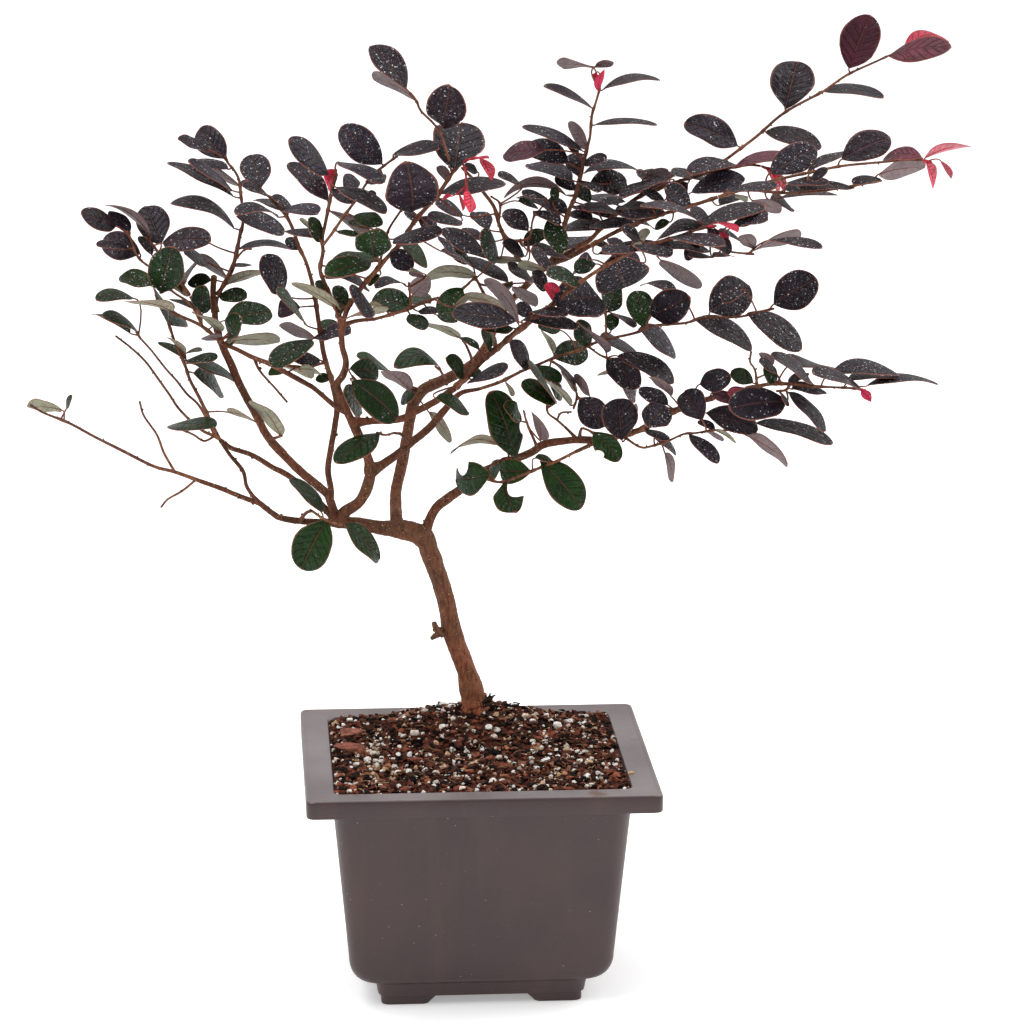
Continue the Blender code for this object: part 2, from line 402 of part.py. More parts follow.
@dataclass
class Shoot:
    """A stem: its picture points, and from them its axis and radii in mm."""

    name: str
    marks: list
    stretches: list
    axis: list = field(default_factory=list)
    radii: list = field(default_factory=list)

    def place(self):
        """Work out the axis and the radii."""
        self.axis = [spot(px, py, depth) for px, py, _, depth in self.marks]
        self.radii = [max(width * MM_PER_POINT / 2, THINNEST_STEM) for _, _, width, _ in self.marks]

    def tangent(self, index):
        """Direction of the axis at one of its points."""
        before = self.axis[max(index - 1, 0)]
        after = self.axis[min(index + 1, len(self.axis) - 1)]
        return (after - before).normalized()

    def nearest(self, px, py, first, last):
        """Nearest place to a picture point between two axis points: distance, index and share."""
        best = (1e9, first, 0.0)
        for index in range(first, last):
            ax, ay = self.marks[index][:2]
            bx, by = self.marks[index + 1][:2]
            run = (bx - ax) ** 2 + (by - ay) ** 2
            share = ((px - ax) * (bx - ax) + (py - ay) * (by - ay)) / run
            share = min(max(share, 0.0), 1.0)
            gap = math.hypot(px - ax - share * (bx - ax), py - ay - share * (by - ay))
            if gap < best[0]:
                best = (gap, index, share)
        return best

    def mark_at(self, index, share):
        """Picture point, width and depth between two axis points."""
        start, end = self.marks[index], self.marks[index + 1]
        return tuple(a + (b - a) * share for a, b in zip(start, end))


def read_shoot(name, owners, text, parent):
    """Turn one row of the table into a shoot whose foot lies on its parent's axis."""
    marks, breaks = [], [0]
    for word in text.split():
        if word == "/":
            breaks.append(len(marks))
            continue
        numbers = [float(number) for number in word.split(",")]
        marks.append(numbers if len(numbers) == 4 else numbers + [None])
    breaks.append(len(marks) - 1)
    if parent:
        _, index, share = parent.nearest(marks[0][0], marks[0][1], 0, len(parent.marks) - 1)
        px, py, _, depth = parent.mark_at(index, share)
        marks[0] = [px, py, marks[0][2], depth]
    fill_depths(marks)
    stretches = [Stretch(owner, breaks[i], breaks[i + 1]) for i, owner in enumerate(owners.split())]
    shoot = Shoot(name, marks, stretches)
    shoot.place()
    return shoot


def fill_depths(marks):
    """Give the points between two known depths a depth in proportion to their distance."""
    known = [i for i, mark in enumerate(marks) if mark[3] is not None]
    for start, end in zip(known, known[1:]):
        runs = [0.0]
        for i in range(start, end):
            runs.append(runs[-1] + math.hypot(marks[i + 1][0] - marks[i][0], marks[i + 1][1] - marks[i][1]))
        for i in range(start + 1, end):
            share = runs[i - start] / runs[-1]
            marks[i][3] = marks[start][3] + (marks[end][3] - marks[start][3]) * share
    for i in range(known[-1] + 1, len(marks)):
        marks[i][3] = marks[known[-1]][3]


def read_shoots():
    """All shoots by name, parents first."""
    shoots = {}
    waiting = list(SHOOTS)
    while waiting:
        name, parent, owners, text = waiting.pop(0)
        if parent and parent not in shoots:
            waiting.append((name, parent, owners, text))
            continue
        shoots[name] = read_shoot(name, owners, text, shoots.get(parent))
    return shoots


def bridge(rings):
    """Points and faces of the closed solid through rings with equal counts."""
    count = len(rings[0])
    points = [point for loop in rings for point in loop]
    faces = []
    for row in range(len(rings) - 1):
        for i in range(count):
            a, b = row * count + i, row * count + (i + 1) % count
            faces.append((a, b, b + count, a + count))
    end = (len(rings) - 1) * count
    faces.append(tuple(range(count - 1, -1, -1)))
    faces.append(tuple(range(end, end + count)))
    return points, faces


def turn_frame(up, tangent):
    """Keep an up direction square to a new tangent."""
    turned = up - tangent * up.dot(tangent)
    if turned.length < 1e-6:
        turned = tangent.orthogonal()
    return turned.normalized()


def needed_points(shoot, stretch):
    """Axis points of a stretch, without those that lie almost on the line between their neighbours."""
    kept = [stretch.first]
    for index in range(stretch.first + 1, stretch.last):
        start = shoot.axis[kept[-1]]
        run = shoot.axis[index + 1] - start
        off = (shoot.axis[index] - start).cross(run).length / run.length
        if off > AXIS_SLACK or run.length > LONGEST_SPAN:
            kept.append(index)
    kept.append(stretch.last)
    return kept


def tube(shoot, stretch, sides):
    """Solid of one stretch of a shoot, short of its neighbour by half the fit gap at each joint."""
    up = turn_frame(Vector((0.0, 0.0, 1.0)), shoot.tangent(0))
    rings = []
    needed = needed_points(shoot, stretch)
    for index in range(stretch.last + 1):
        tangent = shoot.tangent(index)
        up = turn_frame(up, tangent)
        if index not in needed:
            continue
        centre = shoot.axis[index].copy()
        if index == stretch.first and stretch.first > 0:
            centre += tangent * (FIT_GAP / 2)
        if index == stretch.last and stretch is not shoot.stretches[-1]:
            centre -= tangent * (FIT_GAP / 2)
        side = tangent.cross(up)
        radius = shoot.radii[index]
        rings.append([
            centre + side * (radius * math.cos(2 * math.pi * i / sides))
            - up * (radius * math.sin(2 * math.pi * i / sides))
            for i in range(sides)
        ])
    return bridge(rings)


def tube_sides(shoot, stretch):
    """Thick stems get more sides than twigs."""
    widest = max(shoot.radii[stretch.first:stretch.last + 1])
    if widest > 4.2:
        return 8
    if widest > 2.2:
        return 6
    if widest > 1.2:
        return 5
    return 4


@dataclass
class Leaf:
    """A leaf row: kind, foot and tip in the picture, seen width and options."""

    kind: str
    foot: tuple
    tip: tuple
    seen: float
    arch: float = 0.0
    depth: float = 0.0
    order: int = 0

    @property
    def young(self):
        """Whether it grows from a young tip."""
        return self.kind in YOUNG_KINDS


def read_leaves():
    """All leaves in the order of the table."""
    leaves = []
    for text in LEAVES.values():
        for row in text.replace("\n", " ").split(";"):
            words = row.split()
            numbers = [float(word) for word in words[1:6]]
            leaf = Leaf(words[0], tuple(numbers[:2]), tuple(numbers[2:4]), numbers[4], order=len(leaves))
            for option in words[6:]:
                if option[0] == "a":
                    leaf.arch = float(option[1:])
                if option[0] == "d":
                    leaf.depth = float(option[1:])
            leaves.append(leaf)
    return leaves


@dataclass
class Pose:
    """A leaf in space: points in mm, top direction, true width and arch."""

    stem: Vector
    foot: Vector
    tip: Vector
    top: Vector
    width: float
    arch: float


def host_of(leaf, shoots):
    """Nearest stretch that may carry the leaf, and the place on it."""
    best = None
    for shoot in shoots.values():
        for stretch in shoot.stretches:
            young = stretch.owner.startswith("young")
            if stretch.owner == "wood" or young != leaf.young:
                continue
            gap, index, share = shoot.nearest(*leaf.foot, stretch.first, stretch.last)
            if best is None or gap < best[0]:
                best = (gap, shoot, stretch, index, share)
    gap, shoot, stretch, index, share = best
    reach = math.hypot(leaf.tip[0] - leaf.foot[0], leaf.tip[1] - leaf.foot[1])
    back = [leaf.foot[k] - (leaf.tip[k] - leaf.foot[k]) / reach * 0.7 * min(gap, 18.0) for k in range(2)]
    _, index, share = shoot.nearest(*back, stretch.first, stretch.last)
    return shoot, stretch, index, share


def root_place(shoot, stretch, index, share, order):
    """Point on the axis for a leaf's root, away from the stretch's ends and from other roots."""
    start, end = shoot.axis[index], shoot.axis[index + 1]
    length = (end - start).length
    keep = min(JOINT_KEEP / length, 0.45)
    low = keep if index == stretch.first else 0.0
    high = 1.0 - keep if index + 1 == stretch.last else 1.0
    share = min(max(share, low), high)
    share += (0.5 - share) * 0.07 * (order % 4)
    return start.lerp(end, share), shoot.mark_at(index, share)[3]


def pose_leaf(leaf, shoot, stretch, index, share, depth_shift, lean_shift):
    """Place a leaf so that it covers its picture outline, with a trial depth and lean."""
    stem, stem_depth = root_place(shoot, stretch, index, share, leaf.order)
    depth = stem_depth + leaf.depth + depth_shift
    foot = spot(*leaf.foot, depth)
    seen_tip = spot(*leaf.tip, depth)
    seen_length = (seen_tip - foot).length
    seen_width = leaf.seen * MM_PER_POINT
    needed = max(seen_length, seen_width / LEAF_RATIO)
    length = max(needed, min(LEAF_STRETCH * needed, LEAF_FULL_LENGTH))
    lean = math.acos(min(seen_length / length, 1.0)) + math.radians(abs(lean_shift))
    away = 1.0 if leaf.order % 2 else -1.0
    if lean_shift < 0:
        away = -away
    reach = seen_length * math.tan(lean)
    tip = spot(*leaf.tip, depth + away * reach)
    along = tip - foot
    length = along.length
    along.normalize()
    width = max(seen_width, 0.6 * length)
    share_seen = min(seen_width / width, 1.0)
    toward = turn_frame(EYE - foot, along)
    upward = along.cross(toward).normalized()
    if upward.z < 0.0 or (abs(upward.z) < 0.12 and leaf.order % 3 == 0):
        upward = -upward
    facing = -1.0 if leaf.kind in UNDERSIDE_KINDS else 1.0
    top = toward * (facing * share_seen) + upward * math.sqrt(1.0 - share_seen ** 2)
    arch = leaf.arch * MM_PER_POINT + 0.05 * length
    return Pose(stem, foot, tip, top.normalized(), width, arch)


def leaf_rows(pose):
    """Middle line of a leaf from inside its stem to its tip: point and half width, in mm."""
    along = pose.tip - pose.foot
    length = along.length
    stalk = pose.foot - pose.stem
    rows = [(pose.stem - stalk.normalized() * ROOT_DEPTH, 0.0)]
    if stalk.length > LONG_STALK:
        rows = [(rows[0][0], STALK_HALF), (pose.foot + along * 0.04, max(0.08 * pose.width, STALK_HALF))]
    shares = ((0.3, 0.45), (0.67, 0.46)) if length > SHORT_LEAF else ((0.48, 0.5),)
    for share, half in shares:
        lift = pose.top * (pose.arch * 4 * share * (1 - share))
        rows.append((pose.foot + along * share + lift, half * pose.width))
    return rows + [(pose.tip, 0.0)]


def leaf_solid(pose, spare=0.0):
    """Points and faces of a leaf of even thickness, larger by `spare` on every side."""
    rows = leaf_rows(pose)
    half_thick = LEAF_THICKNESS / 2 + spare
    blade_axis = (pose.tip - rows[0][0] if rows[0][1] == 0.0 else pose.tip - pose.foot).normalized()
    up = turn_frame(pose.top, blade_axis)
    side = blade_axis.cross(up)
    levels = []
    for i in range(len(rows) - 1, -1, -1):
        centre, half = rows[i]
        if i < 2 and rows[0][1]:
            stalk_axis = (rows[i + 1][0] - rows[0][0]).normalized()
            up = turn_frame(up, stalk_axis)
            side = stalk_axis.cross(up)
        reach = side * (half + spare)
        edge = [centre] if half == 0.0 else [centre - reach, centre + reach]
        levels.append(([point + up * half_thick for point in edge], [point - up * half_thick for point in edge]))
    levels.reverse()
    return leaf_faces(levels)


def leaf_faces(levels):
    """Join the rows of a leaf: upper and lower face, then the rims."""
    points, spans = [], []
    for upper, lower in levels:
        spans.append((len(points), len(upper)))
        points += upper + lower
    faces = []
    for (a, wide_a), (b, wide_b) in zip(spans, spans[1:]):
        upper = [a, a + 1] if wide_a == 2 else [a]
        upper += [b + 1, b] if wide_b == 2 else [b]
        lower = [i + (wide_a if i < b else wide_b) for i in upper]
        faces += [tuple(upper), tuple(reversed(lower))]
        faces.append((a, b, b + wide_b, a + wide_a))
        right_a, right_b = a + wide_a - 1, b + wide_b - 1
        faces.append((right_b, right_a, right_a + wide_a, right_b + wide_b))
    if spans[0][1] == 2:
        faces.append((0, 2, 3, 1))
    return points, faces


class Crown:
    """Keeps every placed solid, so that a new leaf can be bent clear of the others."""

    def __init__(self):
        self.solids = {}
        self.trees = []

    def add(self, owner, solid):
        """Take in a solid of a piece."""
        points, faces = solid
        self.solids.setdefault(owner, []).append(solid)
        low = Vector([min(point[axis] for point in points) for axis in range(3)])
        high = Vector([max(point[axis] for point in points) for axis in range(3)])
        self.trees.append((owner, low, high, BVHTree.FromPolygons(points, faces)))

    def conflicts(self, owner, solid):
        """Count the solids of other pieces, and of the same piece, that a solid would cross."""
        points, faces = solid
        low = Vector([min(point[axis] for point in points) for axis in range(3)])
        high = Vector([max(point[axis] for point in points) for axis in range(3)])
        tree = BVHTree.FromPolygons(points, faces)
        others = same = 0
        for other, other_low, other_high, other_tree in self.trees:
            apart = any(low[k] > other_high[k] or high[k] < other_low[k] for k in range(3))
            if apart or not tree.overlap(other_tree):
                continue
            if other == owner:
                same += 1
            else:
                others += 1
        return others, same


def place_leaf(leaf, shoots, crown):
    """Bend a leaf clear of the other pieces and add it to the crown; a leaf with no room is left out."""
    shoot, stretch, index, share = host_of(leaf, shoots)
    best = None
    for depth_shift in DEPTH_TRIALS:
        for lean_shift in LEAN_TRIALS:
            pose = pose_leaf(leaf, shoot, stretch, index, share, depth_shift, lean_shift)
            others, same = crown.conflicts(stretch.owner, leaf_solid(pose, CLEARANCE))
            cost = CROSSING_COST * same + abs(depth_shift) + 0.1 * abs(lean_shift)
            if not others and (best is None or cost < best[0]):
                best = (cost, pose)
        if best and best[0] <= CROSSING_COST + abs(depth_shift):
            break
    if best:
        crown.add(stretch.owner, leaf_solid(best[1]))
    return best is not None


def grow_crown():
    """Stems first, then leaves, each in its piece."""
    shoots = read_shoots()
    crown = Crown()
    for shoot in shoots.values():
        for stretch in shoot.stretches:
            crown.add(stretch.owner, tube(shoot, stretch, tube_sides(shoot, stretch)))
    for leaf in read_leaves():
        place_leaf(leaf, shoots, crown)
    return crown


def trunk_foot():
    """Straight foot of the trunk in the soil."""
    top = spot(*TRUNK_FOOT, 0)
    rings = []
    for z, radius in ((TRUNK_FOOT_Z, TRUNK_FOOT_RADIUS - 1.2), (96.0, TRUNK_FOOT_RADIUS), (top.z + 3, TRUNK_FOOT_RADIUS)):
        rings.append([
            Vector((top.x + radius * math.cos(math.tau * i / 12), top.y + radius * math.sin(math.tau * i / 12), z))
            for i in range(12)
        ])
    return bridge(rings)


def rounded_loop(half_x, half_y, corner, z, steps=4):
    """Closed loop of a rectangle with round corners, anticlockwise from above."""
    loop = []
    for sign_x, sign_y, start in ((1, 1, 0), (-1, 1, 90), (-1, -1, 180), (1, -1, 270)):
        for step in range(steps):
            angle = math.radians(start + 90 * step / (steps - 1))
            loop.append(Vector((
                sign_x * (half_x - corner) + corner * math.cos(angle),
                sign_y * (half_y - corner) + corner * math.sin(angle),
                z,
            )))
    return loop


def pot_inside(z):
    """Half width, half depth and corner radius of the pot's inside at a height."""
    shelf = (RIM_WIDTH / 2 - LIP_SHELF, RIM_DEPTH / 2 - LIP_SHELF)
    rows = (
        (FLOOR_TOP, BODY_LOW[0] - 14.0, BODY_LOW[1] - 8.5, 6.0),
        (FLOOR_TOP + 3.5, BODY_LOW[0] - 7.8, BODY_LOW[1] - 5.0, 7.0),
        (26.0, BODY_LOW[0] - WALL, BODY_LOW[1] - WALL, 7.0),
        (POT_HEIGHT - 5.0, BODY_TOP[0] - WALL + 0.2, BODY_TOP[1] - WALL + 0.2, 6.0),
        (POT_HEIGHT - 1.2, shelf[0] - 0.9, shelf[1] - 0.9, 4.5),
        (POT_HEIGHT, shelf[0], shelf[1], 4.0),
    )
    for low, high in zip(rows, rows[1:]):
        if z <= high[0]:
            share = (z - low[0]) / (high[0] - low[0])
            return tuple(a + (b - a) * share for a, b in zip(low[1:], high[1:]))
    return rows[-1][1:]


def pot_solid():
    """Cup of the pot: plinth, outer wall, lip and inner wall."""
    lip_x, lip_y = RIM_WIDTH / 2, RIM_DEPTH / 2
    lip_low = POT_HEIGHT - LIP_THICKNESS
    outside = (
        (FOOT_HEIGHT, PLINTH[0] - 1.0, PLINTH[1] - 1.0, 6.0),
        (FOOT_HEIGHT + 1.0, PLINTH[0] - 0.2, PLINTH[1] - 0.2, 6.5),
        (PLINTH_TOP, PLINTH[0] + 0.8, PLINTH[1] + 0.4, 7.0),
        (12.6, BODY_LOW[0] - 8.0, BODY_LOW[1] - 3.4, BODY_CORNER),
        (16.0, BODY_LOW[0] - 2.4, BODY_LOW[1] - 1.2, BODY_CORNER),
        (20.0, BODY_LOW[0] - 0.7, BODY_LOW[1] - 0.4, BODY_CORNER),
        (BODY_LOW_Z, BODY_LOW[0], BODY_LOW[1], BODY_CORNER),
        (lip_low, BODY_TOP[0], BODY_TOP[1], BODY_CORNER),
        (lip_low, lip_x - 0.9, lip_y - 0.9, LIP_CORNER - 0.5),
        (lip_low + 0.9, lip_x, lip_y, LIP_CORNER),
        (POT_HEIGHT - 1.3, lip_x, lip_y, LIP_CORNER),
        (POT_HEIGHT, lip_x - 1.3, lip_y - 1.3, LIP_CORNER - 0.5),
    )
    loops = [rounded_loop(half_x, half_y, corner, z) for z, half_x, half_y, corner in outside]
    for z in (POT_HEIGHT, POT_HEIGHT - 1.2, POT_HEIGHT - 5.0, 26.0, FLOOR_TOP + 3.5, FLOOR_TOP):
        half_x, half_y, corner = pot_inside(z)
        loops.append(rounded_loop(half_x, half_y, corner, z))
    return bridge(loops)


def foot_solid(sign_x, sign_y):
    """One corner foot, its two inner sides sloping up into the plinth."""
    loops = []
    for z, grow in ((0.0, 0.0), (1.0, 0.6), (FOOT_HEIGHT, FOOT_SLOPE), (FOOT_HEIGHT + 2.4, FOOT_SLOPE)):
        inset = 0.7 if z == 0.0 else 0.0
        outer_x, outer_y = FOOT_OUTER[0] - inset, FOOT_OUTER[1] - inset
        inner_x, inner_y = FOOT_OUTER[0] - FOOT_LENGTH - grow, FOOT_OUTER[1] - FOOT_LENGTH - grow
        half_x, half_y = (outer_x - inner_x) / 2, (outer_y - inner_y) / 2
        centre = Vector((sign_x * (outer_x + inner_x) / 2, sign_y * (outer_y + inner_y) / 2, 0.0))
        loops.append([centre + point for point in rounded_loop(half_x, half_y, 3.5, z, steps=3)])
    return bridge(loops)


def cylinder(centre, radius, low, high, sides=14):
    """Upright cylinder."""
    loops = [
        [
            Vector((centre[0] + radius * math.cos(math.tau * i / sides),
                    centre[1] + radius * math.sin(math.tau * i / sides), z))
            for i in range(sides)
        ]
        for z in (low, high)
    ]
    return bridge(loops)


def even_loop(half_x, half_y, corner, z, count):
    """Rounded rectangle with evenly spaced points, anticlockwise from above."""
    coarse = rounded_loop(half_x, half_y, corner, z, steps=5)
    runs = [0.0]
    for start, end in zip(coarse, coarse[1:] + coarse[:1]):
        runs.append(runs[-1] + (end - start).length)
    loop = []
    for number in range(count):
        along = runs[-1] * number / count
        place = max(i for i in range(len(coarse)) if runs[i] <= along)
        share = (along - runs[place]) / (runs[place + 1] - runs[place])
        loop.append(coarse[place].lerp(coarse[(place + 1) % len(coarse)], share))
    return loop


def soil_height(x, y):
    """Height of the bark mix before its lumps: level at the wall, mounded round the trunk."""
    foot = spot(*TRUNK_FOOT, 0)
    away = math.hypot(x - foot.x, (y - foot.y) * 1.15)
    return SOIL_EDGE_Z + SOIL_MOUND * math.exp(-(away / SOIL_SPREAD) ** 2)


def soil_solid():
    """Soil filling the pot, with a lumpy top."""
    draw = random.Random(SOIL_SEED)
    loops = []
    for z in (FLOOR_TOP + FIT_GAP, FLOOR_TOP + 4.0, 26.0, POT_HEIGHT - 5.0, SOIL_EDGE_Z):
        half_x, half_y, corner = pot_inside(z)
        gap = FIT_GAP + 0.1
        loops.append(even_loop(half_x - gap, half_y - gap, corner, z, SOIL_POINTS))
    edge = loops[-1]
    foot = spot(*TRUNK_FOOT, 0)
    middle = Vector((foot.x, foot.y, 0.0))
    for share in (0.93, 0.8, 0.66, 0.52, 0.39, 0.27, 0.17):
        loop = []
        for point in edge:
            lump = draw.uniform(-SOIL_ROUGHNESS, SOIL_ROUGHNESS)
            flat = middle + (Vector((point.x, point.y, 0.0)) - middle) * share
            loop.append(Vector((flat.x, flat.y, soil_height(flat.x, flat.y) + lump)))
        loops.append(loop)
    return bridge(loops)


def mesh_object(name, solid, collection):
    """Mesh object in metres from a solid in mm."""
    points, faces = solid
    mesh = bpy.data.meshes.new(name)
    mesh.from_pydata([tuple(point * MM) for point in points], [], faces)
    mesh.update()
    thing = bpy.data.objects.new(name, mesh)
    collection.objects.link(thing)
    return thing


def on_straight_edge(vertex):
    """Whether a vertex only splits one nearly straight edge."""
    if len(vertex.link_edges) != 2:
        return False
    ends = [edge.other_vert(vertex).co - vertex.co for edge in vertex.link_edges]
    return min(end.length for end in ends) < 1e-8 or ends[0].angle(-ends[1]) < STRAIGHT_ANGLE


def part_doubled_edge(shape, edge):
    """Give one of the two flat pairs of triangles that share an edge its other diagonal."""
    faces = list(edge.link_faces)
    pairs = sorted(
        ((a, b) for i, a in enumerate(faces) for b in faces[i + 1:]),
        key=lambda pair: -pair[0].normal.dot(pair[1].normal),
    )
    for first, second in pairs[:2]:
        corners = [next(v for v in face.verts if v not in edge.verts) for face in (first, second)]
        new_faces = []
        for end in edge.verts:
            loop = [corners[0], corners[1], end]
            new_faces.append(loop)
        normals = [(b.co - a.co).cross(c.co - a.co) for a, b, c in new_faces]
        aligned = [normal.dot(first.normal) for normal in normals]
        exists = shape.edges.get(corners) is not None
        if corners[0] is corners[1] or exists or aligned[0] * aligned[1] >= 0:
            continue
        material = first.material_index
        bmesh.ops.delete(shape, geom=[first, second], context="FACES_ONLY")
        for loop, facing in zip(new_faces, aligned):
            face = shape.faces.new(loop if facing > 0 else loop[::-1])
            face.material_index = material
            face.normal_update()
        return


def keep_one_body(mesh):
    """Drop loose scraps and sealed hollows, and leave triangles."""
    shape = bmesh.new()
    shape.from_mesh(mesh)
    bmesh.ops.remove_doubles(shape, verts=shape.verts, dist=WELD)
    unseen = set(shape.faces)
    islands = []
    while unseen:
        stack = [unseen.pop()]
        island = []
        while stack:
            face = stack.pop()
            island.append(face)
            for edge in face.edges:
                for other in edge.link_faces:
                    if other in unseen:
                        unseen.remove(other)
                        stack.append(other)
        islands.append(island)
    islands.sort(key=len)
    for island in islands[:-1]:
        bmesh.ops.delete(shape, geom=island, context="FACES")
    needless = [vertex for vertex in shape.verts if on_straight_edge(vertex)]
    bmesh.ops.dissolve_verts(shape, verts=needless)
    bmesh.ops.triangulate(shape, faces=shape.faces)
    for _ in range(4):
        for edge in [edge for edge in shape.edges if len(edge.link_faces) == 4]:
            part_doubled_edge(shape, edge)
    shape.to_mesh(mesh)
    shape.free()


def boolean(body, solids, operation):
    """Join solids to a body, or cut them out of it, in one step."""
    tools = bpy.data.collections.new(body.name + "_tools")
    bpy.context.scene.collection.children.link(tools)
    for number, solid in enumerate(solids):
        mesh_object(f"{body.name}_tool_{number}", solid, tools)
    step = body.modifiers.new("join", "BOOLEAN")
    step.operation = operation
    step.operand_type = "COLLECTION"
    step.collection = tools
    step.solver = "MANIFOLD"
    bpy.context.view_layer.update()
    graph = bpy.context.evaluated_depsgraph_get()
    shape = bpy.data.meshes.new_from_object(body.evaluated_get(graph))
    body.modifiers.clear()
    old = body.data
    body.data = shape
    shape.name = body.name
    bpy.data.meshes.remove(old)
    for thing in list(tools.objects):
        bpy.data.objects.remove(thing, do_unlink=True)
    bpy.data.collections.remove(tools)


def is_sound(mesh):
    """Whether every edge has two faces and no two edges lie on each other."""
    shape = bmesh.new()
    shape.from_mesh(mesh)
    bmesh.ops.remove_doubles(shape, verts=shape.verts, dist=2 * WELD)
    sound = all(edge.is_manifold for edge in shape.edges) and all(vertex.is_manifold for vertex in shape.verts)
    shape.free()
    return sound


def nudged(solids, attempt):
    """The same solids, each moved a hair's breadth; none at the first attempt."""
    moved = []
    for number, (points, faces) in enumerate(solids):
        step = Vector((number % 3 - 1, number % 2, number % 5 - 2)) * (NUDGE * attempt)
        moved.append(([point + step for point in points], faces))
    return moved


def make_piece(name, solids, surface, root, cuts=()):
    """One closed body from overlapping solids, less its cuts."""
    for attempt in range(ATTEMPTS):
        placed = nudged(solids, attempt)
        body = mesh_object(name, placed[0], bpy.context.scene.collection)
        if len(placed) > 1:
            boolean(body, placed[1:], "UNION")
        if cuts:
            boolean(body, cuts, "DIFFERENCE")
        keep_one_body(body.data)
        if is_sound(body.data) or attempt == ATTEMPTS - 1:
            break
        bpy.data.objects.remove(body, do_unlink=True)
    body.data.materials.clear()
    body.data.materials.append(surface)
    body.parent = root
    return body


def shade_round(body, degrees):
    """Smooth shading with sharp edges above an angle."""
    body.data.shade_smooth()
    body.data.set_sharp_from_angle(angle=math.radians(degrees))


def make_pot(root):
    """The training pot with its feet and drainage holes."""
    plastic = finish("pot_plastic", (0.052, 0.047, 0.044), 0.55)
    corners = [(sx, sy) for sx in (-1, 1) for sy in (-1, 1)]
    feet = [foot_solid(sx, sy) for sx, sy in corners]
    holes = [
        cylinder((sx * DRAIN_PLACE[0], sy * DRAIN_PLACE[1]), DRAIN_RADIUS, FOOT_HEIGHT - 2, FLOOR_TOP + 2)
        for sx, sy in corners
    ]
    pot = make_piece("pot", [pot_solid()] + feet, plastic, root, holes)
    shade_round(pot, 35)


def make_soil(root):
    """The bark mix with a plain hole for the trunk's foot."""
    bark = finish("soil_bark", (0.07, 0.038, 0.024), 0.95)
    foot = spot(*TRUNK_FOOT, 0)
    hole = cylinder((foot.x, foot.y), TRUNK_FOOT_RADIUS + FIT_GAP, TRUNK_FOOT_Z - FIT_GAP, POT_HEIGHT + 40, 12)
    make_piece("soil", [soil_solid()], bark, root, [hole])


def owner_colour(owner):
    """Colour of a leafy piece: young tips are red, low and inner shoots green, the others purple."""
    if owner.startswith("young"):
        return (0.62, 0.05, 0.10)
    green = ("left_inner", "left_middle", "left_bundle", "low_left", "inner_low", "arm_leaf", "hanging_low",
             "low_middle", "low_front", "low_green", "wing_leaves", "arched_leaf", "middle_twigs")
    if owner in green:
        return (0.045, 0.085, 0.03)
    return (0.075, 0.045, 0.055)


def make_crown(root):
    """The wood and every leafy or young piece."""
    crown = grow_crown()
    wood = finish("wood_bark", (0.16, 0.085, 0.05), 0.85)
    trunk = make_piece("wood", crown.solids["wood"] + [trunk_foot()], wood, root)
    shade_round(trunk, 50)
    for owner, solids in crown.solids.items():
        if owner == "wood":
            continue
        make_piece(owner, solids, finish(owner + "_leaves", owner_colour(owner), 0.6), root)


def stand_on_origin(root):
    """Move the whole to stand with its box's bottom centre at the origin."""
    bpy.context.view_layer.update()
    points = [
        thing.matrix_world @ vertex.co
        for thing in bpy.data.objects if thing.type == "MESH"
        for vertex in thing.data.vertices
    ]
    middle = [(min(p[k] for p in points) + max(p[k] for p in points)) / 2 for k in range(2)]
    root.location = (-middle[0], -middle[1], -min(p.z for p in points))


def main():
    """Build the whole bonsai."""
    clear_scene()
    root = bpy.data.objects.new("bonsai", None)
    bpy.context.scene.collection.objects.link(root)
    make_pot(root)
    make_soil(root)
    make_crown(root)
    stand_on_origin(root)


main()
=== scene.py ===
"""Chinese fringe flower bonsai in its square training pot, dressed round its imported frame.

The tables and the rules for shoots and leaves are those of the part's own source, so each fine leaf
lies where its solid lies. Lengths are millimetres until a mesh is written, which is in metres.
"""

from __future__ import annotations

import logging
import math
import random
from dataclasses import dataclass, field
from enum import Enum
from typing import Iterable, Sequence

import bmesh
import bpy
from mathutils import Matrix, Vector, noise
from mathutils.bvhtree import BVHTree

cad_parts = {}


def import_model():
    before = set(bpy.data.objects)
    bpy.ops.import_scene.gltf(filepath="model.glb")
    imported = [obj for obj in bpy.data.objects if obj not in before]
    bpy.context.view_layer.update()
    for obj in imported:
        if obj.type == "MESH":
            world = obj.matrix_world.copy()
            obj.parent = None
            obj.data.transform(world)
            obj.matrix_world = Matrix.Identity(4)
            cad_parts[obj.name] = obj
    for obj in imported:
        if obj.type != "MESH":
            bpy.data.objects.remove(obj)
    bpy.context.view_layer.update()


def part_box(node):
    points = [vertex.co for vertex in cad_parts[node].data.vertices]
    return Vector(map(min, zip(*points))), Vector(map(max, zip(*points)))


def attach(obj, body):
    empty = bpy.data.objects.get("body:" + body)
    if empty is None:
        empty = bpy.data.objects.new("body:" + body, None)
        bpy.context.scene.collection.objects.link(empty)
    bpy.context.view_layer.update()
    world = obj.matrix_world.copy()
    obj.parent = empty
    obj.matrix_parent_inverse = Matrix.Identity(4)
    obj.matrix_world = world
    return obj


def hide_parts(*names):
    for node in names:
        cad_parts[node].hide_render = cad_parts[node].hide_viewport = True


LOG = logging.getLogger("bonsai")
MM = 0.001
Face = tuple[int, ...]
Solid = tuple[list[Vector], list[Face]]
Triple = tuple[float, float, float]
Colour = Triple
Samples = list[tuple[Vector, float]]
BladeMesh = tuple[Solid, list[int], list[bool], list[Triple]]
Socket = bpy.types.NodeSocket
FIT_GAP = 0.3
SOIL_EDGE_Z = 111.8
SOIL_MOUND = 11.6
SOIL_SPREAD = 38.0
MM_PER_POINT = 0.502
